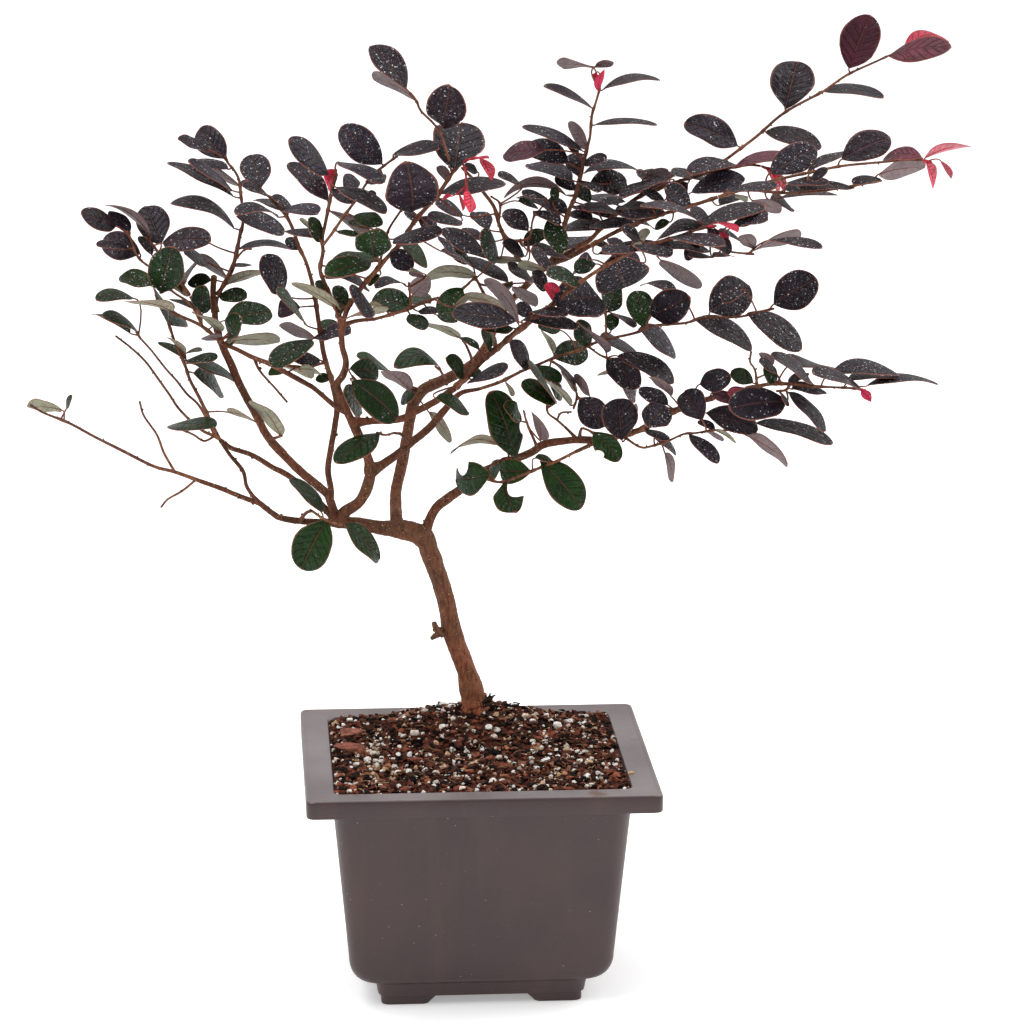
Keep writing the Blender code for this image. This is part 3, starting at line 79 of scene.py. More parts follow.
TRUNK_FOOT = (475, 705)
TRUNK_FOOT_Z = 92.0
TRUNK_FOOT_RADIUS = 6.4
STEM_SIDES = ((4.2, 8), (2.2, 6), (1.2, 5))
THIN_STEM_SIDES = 4
THINNEST_STEM = 0.6
AXIS_SLACK = 0.45
LONGEST_SPAN = 45.0
LEAF_RATIO = 0.72
LEAF_FULL_LENGTH = 27.0
LEAF_STRETCH = 1.22
LEAF_THICKNESS = 0.75
STALK_HALF = 0.5
ROOT_DEPTH = 0.4
LONG_STALK = 4.5
CLEARANCE = 0.45
DEPTH_TRIALS = (0, 3, -3, 6, -6, 9, -9, 12, -12, 16, -16, 20, -20, 26, -26)
LEAN_TRIALS = (0, 14, -14, 26)
JOINT_KEEP = 1.3
CROSSING_COST = 14.0
SHORT_LEAF = 20.0
# Shoots: name, parent shoot, the piece that owns each stretch, and picture points x,y,width[,depth].
# A slash stands before the point where the next owner begins.
SHOOTS = (
    ("trunk", "", "wood",
     "475,705,27,0 466,670,20 453,634,19 444,593,18 431,556,19,-3 423,537,22 403,530,21"
     " 383,528,15 357,524,13 337,522,12,-10"),
    ("knob", "trunk", "wood", "449,634,9 440,631,8,-3 435,629,6,-4"),
    ("right_limb", "trunk", "wood right_shoots right_low young_low",
     "425,533,10 434,511,10,-4 447,499,10 463,488,9,-8 490,470,8,-12 530,453,8 545,444,8,-20"
     " 575,440,7 598,440,7,-26 / 612,438,6.5 640,430,6.5 655,422,6,-30 672,412,6 700,402,5.5,-34"
     " 722,395,5 / 745,389,4.5,-38 770,384,4 790,384,3.6,-42 810,386,3 828,387,2.6 848,388,2.5"
     " / 857,389,2.4,-50 864,390,2.3,-51"),
    ("back_limb", "trunk", "wood upper_middle upper_tip young_upper_tip",
     "398,527,13 396,513,13 396,491,12,12 401,468,12 405,448,11,25 409,425,11 413,405,12,40"
     " 423,390,12 437,383,12,48 456,374,11 474,362,9,56 487,344,9 498,320,8,60 512,300,7"
     " 528,284,7,58 545,268,6,55 / 575,249,5 590,240,5,52 608,221,4.5,50 637,198,4.5,48"
     " 660,188,4 680,181,4,46 703,174,4 / 720,170,3.5,44 735,167,3 750,165,2.8,41"
     " / 761,166,2.6,39 768,169,2.4,38"),
    ("left_limb", "trunk", "wood",
     "340,522,12 345,512,12,-12 358,503,11 366,490,11 372,470,11,-22"),
    ("inner_left", "left_limb", "wood inner_left_top",
     "372,472,10 366,452,9 357,432,9,-30 350,418,8 342,400,8 337,385,7,-38 343,375,7 346,362,6"
     " 342,345,6 341,325,6,-46 / 337,310,5 330,295,4.5 324,281,4 320,269,4,-52 323,252,4"
     " 322,240,3.5 325,225,3.5 329,205,3.5 332,190,3 336,176,3,-58"),
    ("inner_left_twig", "inner_left", "inner_left_top",
     "322,246,3 333,232,3,-60 344,216,3 356,200,2.8 366,184,2.6 374,174,2.4,-68 389,162,2.3"
     " 396,157,2.2"),
    ("inner_right", "inner_left", "wood inner_right_low inner_right_top young_inner",
     "342,330,5 347,310,5,-50 357,294,5 / 365,283,5,-54 374,273,5 385,260,4.5 400,244,4.5"
     " 414,222,4.5,-64 / 426,208,4.5 437,196,4.5 447,181,4 453,172,3.5,-72 / 459,166,3"
     " 467,160,2.6 476,158,2.4,-76"),
    ("inner_right_young", "inner_right", "young_inner", "463,163,2.5 466,176,2.3,-80 466,190,2.2,-82"),
    ("inner_right_thin", "inner_right", "inner_right_low",
     "378,268,2.8 384,247,2.5,-60 389,229,2.3 404,206,2.2,-68"),
    ("inner_right_up", "inner_right", "inner_right_top",
     "452,173,3 446,150,2.8,-74 438,129,2.5 421,111,2.5 417,102,2.4 411,94,2.3,-78"),
    ("arm", "left_limb", "wood middle_right far_middle",
     "372,470,9 385,463,9 400,452,8 412,442,8,-10 430,427,8 449,405,7,6 461,393,5"
     " / 479,389,4,14 500,382,4 522,371,3.5,18 535,366,3.5 551,359,3,20"
     " / 566,354,3 580,350,3,14 600,341,3 635,333,3 652,326,3,4 685,323,2.8 703,318,2.6"
     " 738,317,2.5,-4 758,312,2.4 772,309,2.3,-10"),
    ("arm_drop", "arm", "middle_right",
     "549,360,2.6 556,364,2.4,17 566,374,2.4 573,385,2.4 577,396,2.3,12 574,407,2.2,10"),
    ("far_fork", "arm", "far_middle",
     "588,346,2.6 600,355,2.5,10 610,359,2.4,8"),
    ("far_up", "arm", "far_middle", "606,339,2.8 606,324,2.6,18 605,305,2.5 603,292,2.3,22"),
    ("front_limb", "inner_left", "wood centre_front centre_right young_centre",
     "352,423,8 372,421,7,-30 400,419,7 415,412,7 436,401,7,-30 / 455,388,6.5 465,378,6.5,-32"
     " 476,367,6 488,355,6 500,346,6,-34 515,333,6 531,321,5,-35 540,312,5 552,305,5,-34"
     " / 575,286,4,-30 597,271,4 628,253,4,-30 645,246,4 680,236,4,-34 695,230,3.5,-36"
     " / 706,227,3,-36 714,226,2.6,-37"),
    ("centre_drop", "front_limb", "centre_right",
     "684,235,2.8 698,241,2.6,-38 715,247,2.5 732,252,2.4 752,254,2.3,-44"),
    ("upright", "trunk", "wood upright_low upright_top",
     "337,523,8 331,505,7,-14 331,490,6.5 328,470,6,-16 331,448,6 335,425,6,-14 337,405,6"
     " / 333,385,6,-12 327,366,5.5 323,350,5.5 321,335,5,-14 318,318,5 316,303,4.5"
     " / 312,282,4.5,-18 306,262,4 299,247,4 292,227,4,-22 285,214,3.5 277,205,3 271,198,3,-24"),
    ("upright_side", "upright", "upright_low", "326,362,2.8 310,367,2.5,-18 293,367,2.3,-20"),
    ("left_up", "trunk", "wood left_top",
     "337,521,9 330,500,9,-4 325,492,9 300,471,9,6 285,456,8.5 268,437,8.5,14 255,413,8"
     " 240,385,8,20 230,362,8 222,345,7.5,24 216,325,7,26 215,308,6 / 217,296,5,28 226,281,4.5"
     " 233,266,4.5,30 237,250,4 240,235,4 243,222,3.5,32 242,205,3 241,196,3,34"
     " 239,180,3 234,170,2.5 228,163,2.5 226,158,2.5,36"),
    ("left_stub", "left_up", "wood", "215,312,6 213,294,6 214,277,6,26"),
    ("left_leafstalk", "left_up", "left_top", "237,262,2.6 244,250,2.4,26 250,249,2.3,25"),
    ("cross", "inner_left", "wood left_middle",
     "347,412,5 335,406,5,-34 315,389,5 305,383,5,-30 285,372,5 270,364,5,-20 252,357,5,-8"
     " 238,350,4.5,0 / 222,343,4.5,4 212,334,4 200,325,4,8 185,318,3.5 173,313,3,6"),
    ("cross_twig", "cross", "wood", "254,358,2.6 260,371,2.5,-10 275,388,2.4 287,402,2.4,-12"),
    ("far_left", "cross", "left_middle left_far",
     "202,326,3.6 199,311,3.6,12 / 190,296,3.6,14 177,277,3.5 165,262,3.2,18 155,248,3 147,238,2.6,20"),
    ("far_left_low", "far_left", "left_far",
     "177,277,3 162,272,2.8,16 150,267,2.6 138,257,2.5,12 131,240,2.4 128,233,2.3,10"),
    ("left_fork", "cross", "left_middle", "203,327,3 191,305,3,2 176,294,2.8,0 167,287,2.5,-2"),
    ("second_left", "trunk", "wood left_bundle",
     "337,522,7 312,495,6,0 289,476,6,6 272,467,5.5 252,455,5,14 231,448,5,20 / 224,442,4.5,22"
     " 214,436,4 200,429,3.6,26 180,410,3.2 169,394,3 159,380,3 145,361,2.8,32 130,347,2.6"
     " 117,337,2.4,34"),
    ("bundle_front", "second_left", "left_bundle",
     "216,437,3.5 200,407,3,24 187,394,2.8 176,380,2.6,20 166,369,2.5 151,350,2.4 141,339,2.4"
     " 137,333,2.3,18"),
    ("bundle_low", "second_left", "left_bundle", "214,437,3 204,441,2.6,20 194,435,2.5 183,430,2.3,16"),
    ("inner_stem", "lowest_left", "wood left_inner",
     "258,503,4 247,487,4,-10 243,471,4 230,455,4,6 / 220,440,4,10 210,420,4 200,399,4,12"
     " 190,380,3.5 186,368,3.2 182,358,3 176,345,3 169,325,3,14"),
    ("lowest_left", "trunk", "wood low_left",
     "339,523,8 318,522,7,-12 300,521,7 281,518,6.5,-18 272,513,6 259,503,6,-20 247,499,5.5"
     " 232,493,5 220,488,5,-24 / 200,481,4.5 175,472,4,-30 153,466,3.5 121,450,3.5,-34"
     " 95,437,3 69,423,3 44,413,2.5 32,406,2.5,-38"),
    ("low_left_up", "lowest_left", "low_left",
     "175,472,3 164,453,2.8,-26 157,435,2.5 144,416,2.4 140,403,2.3,-20"),
    ("low_left_down", "lowest_left", "low_left", "196,480,3 182,491,2.8,-30 168,499,2.5 162,506,2.4,-34"),
    ("inner_twig", "inner_left", "wood inner_middle",
     "342,326,4 356,321,4,-42 / 375,319,3.5,-36 400,312,3.5,-30 413,307,3.5,-28 425,302,3"
     " 437,298,2.5,-26"),
    ("inner_twig_up", "inner_twig", "inner_middle", "411,308,2.8 410,296,2.4,-30 409,284,2.3,-32"),
    ("inner_bud", "front_limb", "wood inner_low",
     "358,423,4 357,416,3.6,-38 / 356,410,3.4,-42 357,398,3 358,385,2.8 353,377,2.5,-46"),
    ("arm_bud", "arm", "wood arm_leaf",
     "408,446,3.4 402,435,3.2,-20 / 394,433,2.8,-24 385,435,2.5 378,433,2.4,-28"),
    ("hang_bud", "lowest_left", "wood hanging_low",
     "300,521,4 306,513,3.6,-24 / 312,511,3.2,-28 322,518,3 331,522,2.8,-32 342,525,2.5,-34"),
    ("raised_leaf", "left_up", "wood raised_leaf", "269,439,3.4 275,438,3.2,4 / 278,437,2.8,2 281,436,2.5,0"),
    ("centre_back_shoot", "back_limb", "wood centre_left",
     "529,283,5 521,263,4.5,46 / 506,241,4,40 499,224,4 494,207,4 484,193,4,30 472,178,3.5"
     " 463,169,3,26"),
    ("centre_back_side", "centre_back_shoot", "centre_left", "499,223,2.6 500,204,2.4,32 492,197,2.2,30"),
    ("centre_back_right", "centre_back_shoot", "centre_left",
     "502,232,2.8 512,240,2.6,36 529,238,2.5 532,223,2.4 535,213,2.3,28"),
    ("back_bud", "back_limb", "wood centre_back",
     "497,323,4.5 490,306,4,46 / 482,290,3.4,40 475,279,3 466,286,2.5,34"),
    ("back_bud_right", "back_bud", "centre_back", "478,284,2.8 492,286,2.5,38 510,283,2.4,36"),
    ("low_bud", "back_limb", "wood back_leaf", "473,363,3.4 470,354,3,46 / 466,345,2.6,44 462,339,2.4,43"),
    ("arch_bud", "back_limb", "wood arched_leaf", "446,379,3.4 443,375,3,40 / 440,370,2.6,37 436,367,2.4,35"),
    ("wing_bud", "back_limb", "wood wing_leaves", "423,391,3.4 417,389,3,34 / 412,387,2.6,31 407,385,2.4,29"),
    ("top_shoot", "back_limb", "wood top_low top_high young_top",
     "549,266,5 556,251,5,50 / 562,235,4.5,46 566,220,4.5 570,208,4.5 575,197,4 578,186,4,38"
     " 583,165,3.5 / 590,137,3,33 592,115,3 595,105,2.6 598,95,2.5,30 / 600,87,2.4 602,74,2.3,28"),
    ("second_right", "back_limb", "wood inner_shoots right_up",
     "555,262,5 566,259,5,44 / 590,246,4.5,36 620,230,4.5,32 660,215,4 680,209,4,26 700,203,4"
     " / 718,197,4,22 745,190,3.6 785,193,3,16 820,191,3 852,186,2.6,10 880,181,2.3,8"),
    ("right_end", "second_right", "right_up right_tip young_right",
     "748,190,3.4 768,182,3.2,10 784,178,3,6 / 807,173,3,2 842,166,2.8,-2 883,162,2.6"
     " 905,160,2.5,-8 / 922,160,2.4,-9 930,162,2.3,-10"),
    ("high_shoot", "back_limb", "upper_middle high_low high_top young_high",
     "698,175,4 710,169,4,52 / 728,158,3.5,58 757,136,3.5,62 784,113,3.2 / 824,91,3,68"
     " 847,75,2.8,72 875,62,2.5,76 / 888,56,2.4,78 903,50,2.3,80"),
    ("low_middle", "right_limb", "wood low_middle",
     "597,441,4.4 588,446,4,-32 / 575,452,3.6,-36 557,461,3.5,-40 537,469,3.4,-42 520,476,3.2"
     " 502,482,3 489,480,2.6,-44"),
    ("low_front", "right_limb", "wood low_front",
     "528,454,4.4 520,456,4,-20 / 512,458,3.4,-24 503,459,3 496,463,2.8 483,468,2.5,-26"),
    ("twig_bud", "right_limb", "wood middle_twigs",
     "577,440,3.6 572,434,3.2,-18 / 565,427,3,-14 557,420,2.8 548,413,2.5 547,404,2.4,-8"),
    ("twig_right", "twig_bud", "middle_twigs", "557,420,2.6 561,413,2.4,-10 570,412,2.3,-8"),
    ("green_bud", "right_limb", "wood low_green",
     "580,440,3.6 580,433,3.2,-28 / 582,428,2.8,-30 590,431,2.6 597,437,2.4,-32"),
    ("leaf_bud", "right_limb", "wood limb_leaf",
     "538,449,3.4 535,442,3,-24 / 530,431,2.6,-27 526,420,2.4 524,412,2.3,-29"),
    ("right_under", "right_limb", "right_shoots",
     "622,436,3 640,447,2.8,-34 652,446,2.6 668,441,2.5,-38 684,434,2.5 696,433,2.4 714,430,2.3,-42"),
    ("right_rise", "right_limb", "right_low",
     "757,386,2.8 755,370,2.5,-34 750,362,2.4 751,353,2.3,-30"),
    ("right_drop", "right_limb", "right_low", "790,385,2.8 786,390,2.5,-46 778,391,2.3,-48"),
)

# Leaves by region: kind, foot x y, tip x y, seen width; then options a (arch) and d (depth).
# Kinds: P purple, N new reddish purple, G dark green, all seen from above; U and Y the greyish and
# the pale green underside; R young red; K young pink underside.
LEAVES = {
    "far left": """
        N 116 226 81 214 20; P 130 232 110 211 14; U 150 235 105 205 7 a4; P 161 244 146 206 33;
        P 163 243 210 239 24; P 140 254 103 239 28; P 128 248 97 245 8 d12; P 152 255 140 236 10;
        G 160 292 172 247 36 d-5; G 152 286 120 275 18; G 133 298 96 300 12 a4; Y 172 311 128 302 8;
        G 198 311 172 299 7; Y 187 296 172 286 5; G 183 290 172 280 9; P 186 281 192 268 14;
        P 206 262 186 255 14; G 211 280 188 282 14; G 203 313 204 286 20""",
    "left bundle": """
        G 130 333 93 314 9 a3; G 137 331 103 316 10 a3; Y 227 412 256 421 6; G 168 324 164 301 28;
        G 186 359 159 342 8; Y 185 353 168 337 5; Y 186 353 202 350 4; G 187 360 215 359 10;
        G 194 364 234 379 12; G 194 373 222 392 16; Y 62 410 28 407 11; G 66 409 72 396 5;
        G 169 426 213 428 14; Y 281 436 254 400 14""",
    "left top": """
        P 226 158 199 128 28; P 207 149 178 140 11; P 228 169 192 160 10; P 233 196 167 163 11;
        P 232 190 190 162 9; U 240 186 213 174 8; U 241 186 257 182 7; P 234 228 170 204 13 a8;
        P 238 217 285 230 20 d-5; P 278 217 235 214 8 a6; P 239 249 293 249 7 a3; U 226 276 197 259 12;
        P 233 267 251 265 4; Y 228 284 266 272 9; P 261 188 252 155 30; P 268 195 243 186 8;
        P 270 198 291 206 9; P 288 213 256 200 9; P 283 210 318 213 12; G 219 296 247 297 15;
        G 226 320 271 312 25; G 228 333 240 317 20; Y 224 342 278 343 12; U 222 340 203 338 8;
        Y 221 332 196 313 8""",
    "upright": """
        P 284 293 262 257 26; P 300 307 277 310 20; G 305 324 278 294 8; U 314 337 280 326 11;
        P 314 338 351 332 14; G 311 340 275 367 22; P 320 360 291 358 14; Y 282 365 312 378 8;
        Y 300 369 320 372 8; G 285 372 268 372 10; G 330 377 316 380 10; G 320 330 337 322 12""",
    "inner left": """
        P 328 174 288 141 21; P 328 201 288 163 19; P 339 162 380 183 12 d-4; P 345 190 355 176 18;
        P 333 190 352 203 15; P 336 187 386 213 14; G 322 241 308 219 14; Y 318 238 300 219 4;
        P 320 240 286 231 10; U 331 211 367 238 11; G 354 216 382 224 15; G 370 228 349 221 8;
        G 337 231 358 236 6; G 328 266 379 258 14; G 371 262 326 275 20; G 327 290 316 281 9;
        Y 340 310 292 283 10; G 346 306 335 286 14; P 349 275 326 278 6; P 382 164 341 126 31;
        P 394 154 438 149 13; P 365 197 376 193 8; P 384 182 370 178 13; N 336 170 327 188 13""",
    "inner right": """
        G 373 256 375 229 35; G 380 275 367 284 10; P 343 278 368 288 10; P 360 290 361 312 22;
        P 413 211 407 163 50 d-8; P 394 239 439 234 15 d-5; P 392 250 412 269 20; G 401 245 427 265 15;
        P 415 222 406 211 9; P 418 218 436 234 16; P 438 236 453 255 7; P 441 251 471 266 5;
        P 440 194 506 184 15; P 455 169 460 121 50 d-4; P 443 127 450 87 38 d5; P 406 88 371 45 24;
        U 417 101 374 78 9; U 450 180 437 167 10; P 463 215 436 204 13; P 461 221 430 219 12;
        P 478 172 464 166 9; R 474 158 489 158 3; R 480 158 492 180 10; R 468 190 470 212 11;
        R 459 194 463 211 4; R 452 196 442 199 4""",
    "inner middle": """
        Y 345 319 385 312 6; G 412 308 372 298 24; P 406 286 375 288 7 a5; U 413 295 428 277 20;
        Y 477 277 424 277 13 a3; G 410 314 424 330 16; P 418 311 438 312 8; G 430 303 380 310 10;
        G 437 315 457 322 10; Y 385 310 370 303 6; G 425 274 397 268 4; U 424 276 409 273 6;
        G 462 288 440 316 22; G 362 412 343 390 18; G 352 381 398 420 32 d-4; G 350 369 379 372 22;
        G 388 370 358 356 10; G 379 433 336 463 23; U 411 391 384 370 15; G 418 390 400 402 12;
        G 441 370 395 366 16 a12; G 322 513 291 478 14; G 327 520 301 570 39; G 344 524 381 559 21""",
    "centre": """
        P 487 258 440 231 18; G 498 260 481 234 18 d6; P 489 229 474 212 17; P 528 231 504 210 20;
        P 521 184 498 175 8; P 508 282 465 257 14; P 524 256 503 243 13; Y 525 262 494 262 7;
        U 566 195 504 197 10 a10; P 561 222 516 197 10 a5; P 545 197 522 194 8; G 518 201 538 207 7;
        P 534 211 560 224 10; G 524 246 546 230 16; P 553 268 531 251 13 d10; Y 545 270 518 266 9;
        G 548 220 562 253 22; P 567 214 550 197 14; G 553 201 557 187 10; G 590 203 576 184 14;
        P 612 218 575 205 14; P 600 205 624 200 9; P 602 229 562 226 16; P 637 226 590 226 11;
        Y 461 297 506 307 12; Y 455 306 470 298 6; P 516 321 452 313 25 d-6; U 519 325 484 280 13 a4;
        G 513 328 484 330 13; Y 497 347 485 332 9; G 491 352 482 330 9; P 509 341 529 367 17;
        Y 460 338 427 323 8; G 479 350 461 337 7; G 464 378 447 357 14; G 465 376 481 371 10;
        P 472 379 504 374 15; G 436 398 469 411 14; Y 429 412 452 441 12; U 513 287 535 306 13;
        G 512 282 497 296 9; P 523 320 578 327 14 d-4; P 530 312 567 316 9""",
    "top": """
        U 592 67 563 67 9; U 595 67 613 62 8; R 597 72 595 80 5; R 604 70 598 91 8;
        P 602 90 660 79 8 a3; P 592 108 544 86 8; P 594 125 657 124 6 a1; P 583 151 522 127 11;
        U 588 150 568 123 13; P 577 155 568 143 7; P 578 176 573 152 20; P 583 164 607 158 11;
        P 568 163 527 144 24 d-4; P 572 180 529 163 16; N 545 150 504 155 19; P 584 173 653 183 7 a9;
        P 590 184 627 181 26; P 582 182 598 192 10""",
    "upper middle": """
        P 668 182 620 197 8; P 703 223 640 206 7 a4; P 650 208 618 208 8; P 653 215 622 216 10;
        G 670 222 655 228 9; P 690 203 664 188 20; P 672 175 716 182 10 d-5; U 645 178 668 170 10;
        P 661 182 676 172 10; P 736 165 688 172 14 a3; P 692 192 745 178 22; U 652 187 637 172 8;
        P 625 251 608 238 10; P 640 250 603 252 9; G 592 243 611 246 8; Y 632 244 650 233 12;
        G 596 264 573 268 16; G 580 284 547 273 15; P 614 254 626 288 55 d-5; G 608 311 617 283 23;
        G 644 327 636 290 27; P 651 315 688 297 35; P 678 297 641 285 9 a5; P 553 303 602 299 42 d-4;
        U 661 260 698 288 15; P 637 245 666 257 13; P 703 227 657 240 12 a6; P 670 237 722 246 12 d-4;
        P 655 246 710 251 9; P 708 229 729 254 14; P 712 257 690 257 6; P 713 257 732 256 5""",
    "right top": """
        P 728 190 776 188 10; P 786 183 828 184 9; P 785 190 812 188 12; P 853 188 800 188 9;
        P 780 198 838 195 5; P 880 179 853 183 9; U 879 174 925 168 20; P 702 223 765 205 16;
        U 752 200 779 213 13; P 732 225 768 219 12; Y 735 195 747 201 5; P 738 146 685 122 28;
        P 785 108 797 62 45; N 849 68 870 15 40; P 824 91 884 96 12; P 766 132 822 146 20;
        R 903 50 949 41 15 a9 d-4; N 888 56 951 47 22; P 770 173 816 147 30; N 736 166 802 161 12 a4 d-5;
        P 842 159 890 137 30; P 807 173 862 153 8 a3; N 922 158 883 160 13 a4; K 925 158 973 147 8 a2;
        R 926 162 933 188 9; R 941 161 951 179 6; R 766 168 779 202 8; R 770 168 785 192 9 a3;
        R 716 222 738 232 6; R 719 231 729 238 5; P 718 231 741 241 5; U 753 249 743 234 15;
        U 754 250 798 239 11; P 774 240 822 248 9""",
    "far right": """
        P 710 312 749 284 41; P 774 304 816 279 38; P 694 319 753 348 20; P 748 313 803 348 25;
        P 639 329 677 353 20; P 600 342 636 352 14; P 618 356 675 381 20; P 607 358 638 388 26;
        P 612 366 636 399 20; Y 614 372 598 375 4; G 611 331 614 313 14; P 612 313 634 327 6;
        U 606 352 582 326 8; G 590 345 577 322 20; G 553 357 588 350 26; Y 553 352 543 331 7""",
    "low right": """
        U 590 396 574 375 9; P 555 362 575 386 5; Y 562 372 575 391 5; G 536 367 561 381 14;
        G 550 383 562 399 12; Y 570 405 540 376 6; G 555 402 530 367 5; G 556 401 521 386 19;
        Y 506 382 512 396 5; P 580 398 605 427 30; P 622 440 618 399 36 d-6; G 541 461 582 508 34;
        G 531 471 499 472 25; G 504 483 514 511 30; G 490 475 454 479 34; G 503 462 489 477 13;
        G 516 458 491 391 34 d4; Y 500 445 451 453 7 a7; G 535 458 553 461 7; G 594 432 619 460 23;
        U 541 440 536 414 13; P 668 408 645 424 28; P 668 405 640 388 16; U 671 396 651 377 9;
        P 702 420 684 391 28 d-6; P 700 384 730 376 23; G 753 383 731 370 16; N 712 393 733 403 12;
        N 747 388 730 396 12; P 786 402 729 408 33; P 706 413 758 430 25; P 757 423 833 443 14;
        U 748 436 788 464 12; P 689 434 717 464 14; U 706 430 722 441 5; Y 715 430 736 443 4;
        P 715 430 698 421 8; P 646 429 667 441 9; P 655 438 676 453 9; U 665 453 674 480 10;
        U 632 425 638 408 6; P 813 384 772 355 11; P 789 366 828 368 12; P 860 388 813 372 11;
        P 832 373 898 374 15 a4; P 850 380 900 379 6; P 866 386 938 383 8 a4; R 861 390 871 402 9;
        P 792 389 825 392 11; P 788 392 827 430 13; P 779 391 787 406 4; U 772 366 761 352 9;
        P 775 372 760 362 8; G 776 384 765 366 14""",
    "filling": """P 688 183 668 206 20 d6; P 664 183 640 171 14 d5; P 669 180 622 197 9 d-6;
        P 624 206 664 216 11 d-6; P 616 214 652 226 11 d-9; P 598 254 664 247 12 d-9; P 592 260 574 270 14 d6;
        P 532 252 566 256 12 d-10; P 617 205 577 197 9 d-6; P 622 214 583 209 9 d-8; P 533 280 508 268 12 d6;
        P 547 290 533 272 14 d8; P 735 226 767 217 10; G 560 300 545 285 14 d8; P 640 262 612 252 12 d8;
        P 712 224 690 210 13 d6; P 655 300 640 318 13 d6; G 470 262 450 250 14 d6; P 592 220 571 212 12 d6;
        P 610 180 596 162 13 d6; P 575 190 556 176 14 d8; P 640 240 622 228 12 d10; P 700 245 684 258 13 d8;
        G 560 330 538 326 14 d6; P 533 318 517 303 14 d6; P 664 200 642 192 11 d6; G 520 420 505 405 14 d8;
        P 480 240 462 228 13 d8; P 566 250 589 236 14 d8; G 350 300 334 314 14 d8; P 300 250 286 238 12 d6;
        G 240 330 226 344 13 d6; P 205 240 190 228 12 d6; P 720 205 745 196 10 d8; P 770 200 792 208 11 d6;
        P 810 180 828 170 10 d8; P 740 290 724 302 13 d8; P 790 385 806 372 10 d6""",
}


class LeafKind(Enum):
    """How a leaf is coloured and which of its faces the picture shows."""

    PURPLE = "P"
    FRESH_PURPLE = "N"
    GREEN = "G"
    GREY_UNDERSIDE = "U"
    PALE_UNDERSIDE = "Y"
    YOUNG_RED = "R"
    YOUNG_PINK = "K"

    @property
    def young(self) -> bool:
        """Whether it belongs to a young tip."""
        return self in (LeafKind.YOUNG_RED, LeafKind.YOUNG_PINK)

    @property
    def shows_underside(self) -> bool:
        """Whether the picture shows its underside."""
        return self in (LeafKind.GREY_UNDERSIDE, LeafKind.PALE_UNDERSIDE, LeafKind.YOUNG_PINK)


class Blend(Enum):
    """How two colours are mixed."""

    MIX = "MIX"
    MULTIPLY = "MULTIPLY"


@dataclass(frozen=True)
class Eye:
    """The photograph's eye: place in mm, turns in degrees, focal length and centre in points."""

    place: Vector = field(default_factory=lambda: Vector((-114.33, -1787.05, 680.80)))
    yaw: float = 4.2227
    pitch: float = 13.9971
    roll: float = -0.1859
    focal: float = 3800.0
    centre: float = 512.0
    tree_y: float = 38.0

    def axes(self) -> tuple[Vector, Vector, Vector]:
        """Work out the eye's directions.

        Returns:
            The directions ahead, to the right and down.
        """
        yaw, pitch, roll = (math.radians(turn) for turn in (self.yaw, self.pitch, self.roll))
        ahead = Vector((
            math.sin(yaw) * math.cos(pitch),
            math.cos(yaw) * math.cos(pitch),
            -math.sin(pitch),
        ))
        level = Vector((math.cos(yaw), -math.sin(yaw), 0.0))
        down = ahead.cross(level)
        roll_cos, roll_sin = math.cos(roll), math.sin(roll)
        return ahead, level * roll_cos + down * roll_sin, down * roll_cos - level * roll_sin

    def spot(self, px: float, py: float, depth: float) -> Vector:
        """Put a picture point on the upright plane behind or before the trunk.

        Args:
            px: Picture point, to the right.
            py: Picture point, down.
            depth: Millimetres behind the tree's plane.

        Returns:
            The place in mm.
        """
        ray = self.ray(px, py)
        return self.place + ray * ((self.tree_y + depth - self.place.y) / ray.y)

    def ray(self, px: float, py: float) -> Vector:
        """Direction toward a picture point."""
        ahead, right, down = self.axes()
        return ahead + right * ((px - self.centre) / self.focal) + down * ((py - self.centre) / self.focal)

    def on_level(self, px: float, py: float, z: float) -> Vector:
        """Place of a picture point at a height, both in mm."""
        ray = self.ray(px, py)
        return self.place + ray * ((z - self.place.z) / ray.z)


EYE = Eye()


def turn_frame(up: Vector, tangent: Vector) -> Vector:
    """Keep an up direction square to a new tangent.

    Args:
        up: Direction to keep.
        tangent: Direction that it has to be square to.

    Returns:
        The turned unit vector.
    """
    turned = up - tangent * up.dot(tangent)
    if turned.length < 1e-6:
        turned = tangent.orthogonal()
    return turned.normalized()


def bridge(rings: Sequence[Sequence[Vector]]) -> Solid:
    """Join rings of equal counts into a closed solid.

    Args:
        rings: Closed loops of points, from one end to the other.

    Returns:
        Points and faces.
    """
    count = len(rings[0])
    points = [point for loop in rings for point in loop]
    faces: list[Face] = []
    for row in range(len(rings) - 1):
        for i in range(count):
            a, b = row * count + i, row * count + (i + 1) % count
            faces.append((a, b, b + count, a + count))
    end = (len(rings) - 1) * count
    faces.append(tuple(range(count - 1, -1, -1)))
    faces.append(tuple(range(end, end + count)))
    return points, faces


@dataclass
class Stretch:
    """The run of a shoot that belongs to one piece."""

    owner: str
    first: int
    last: int


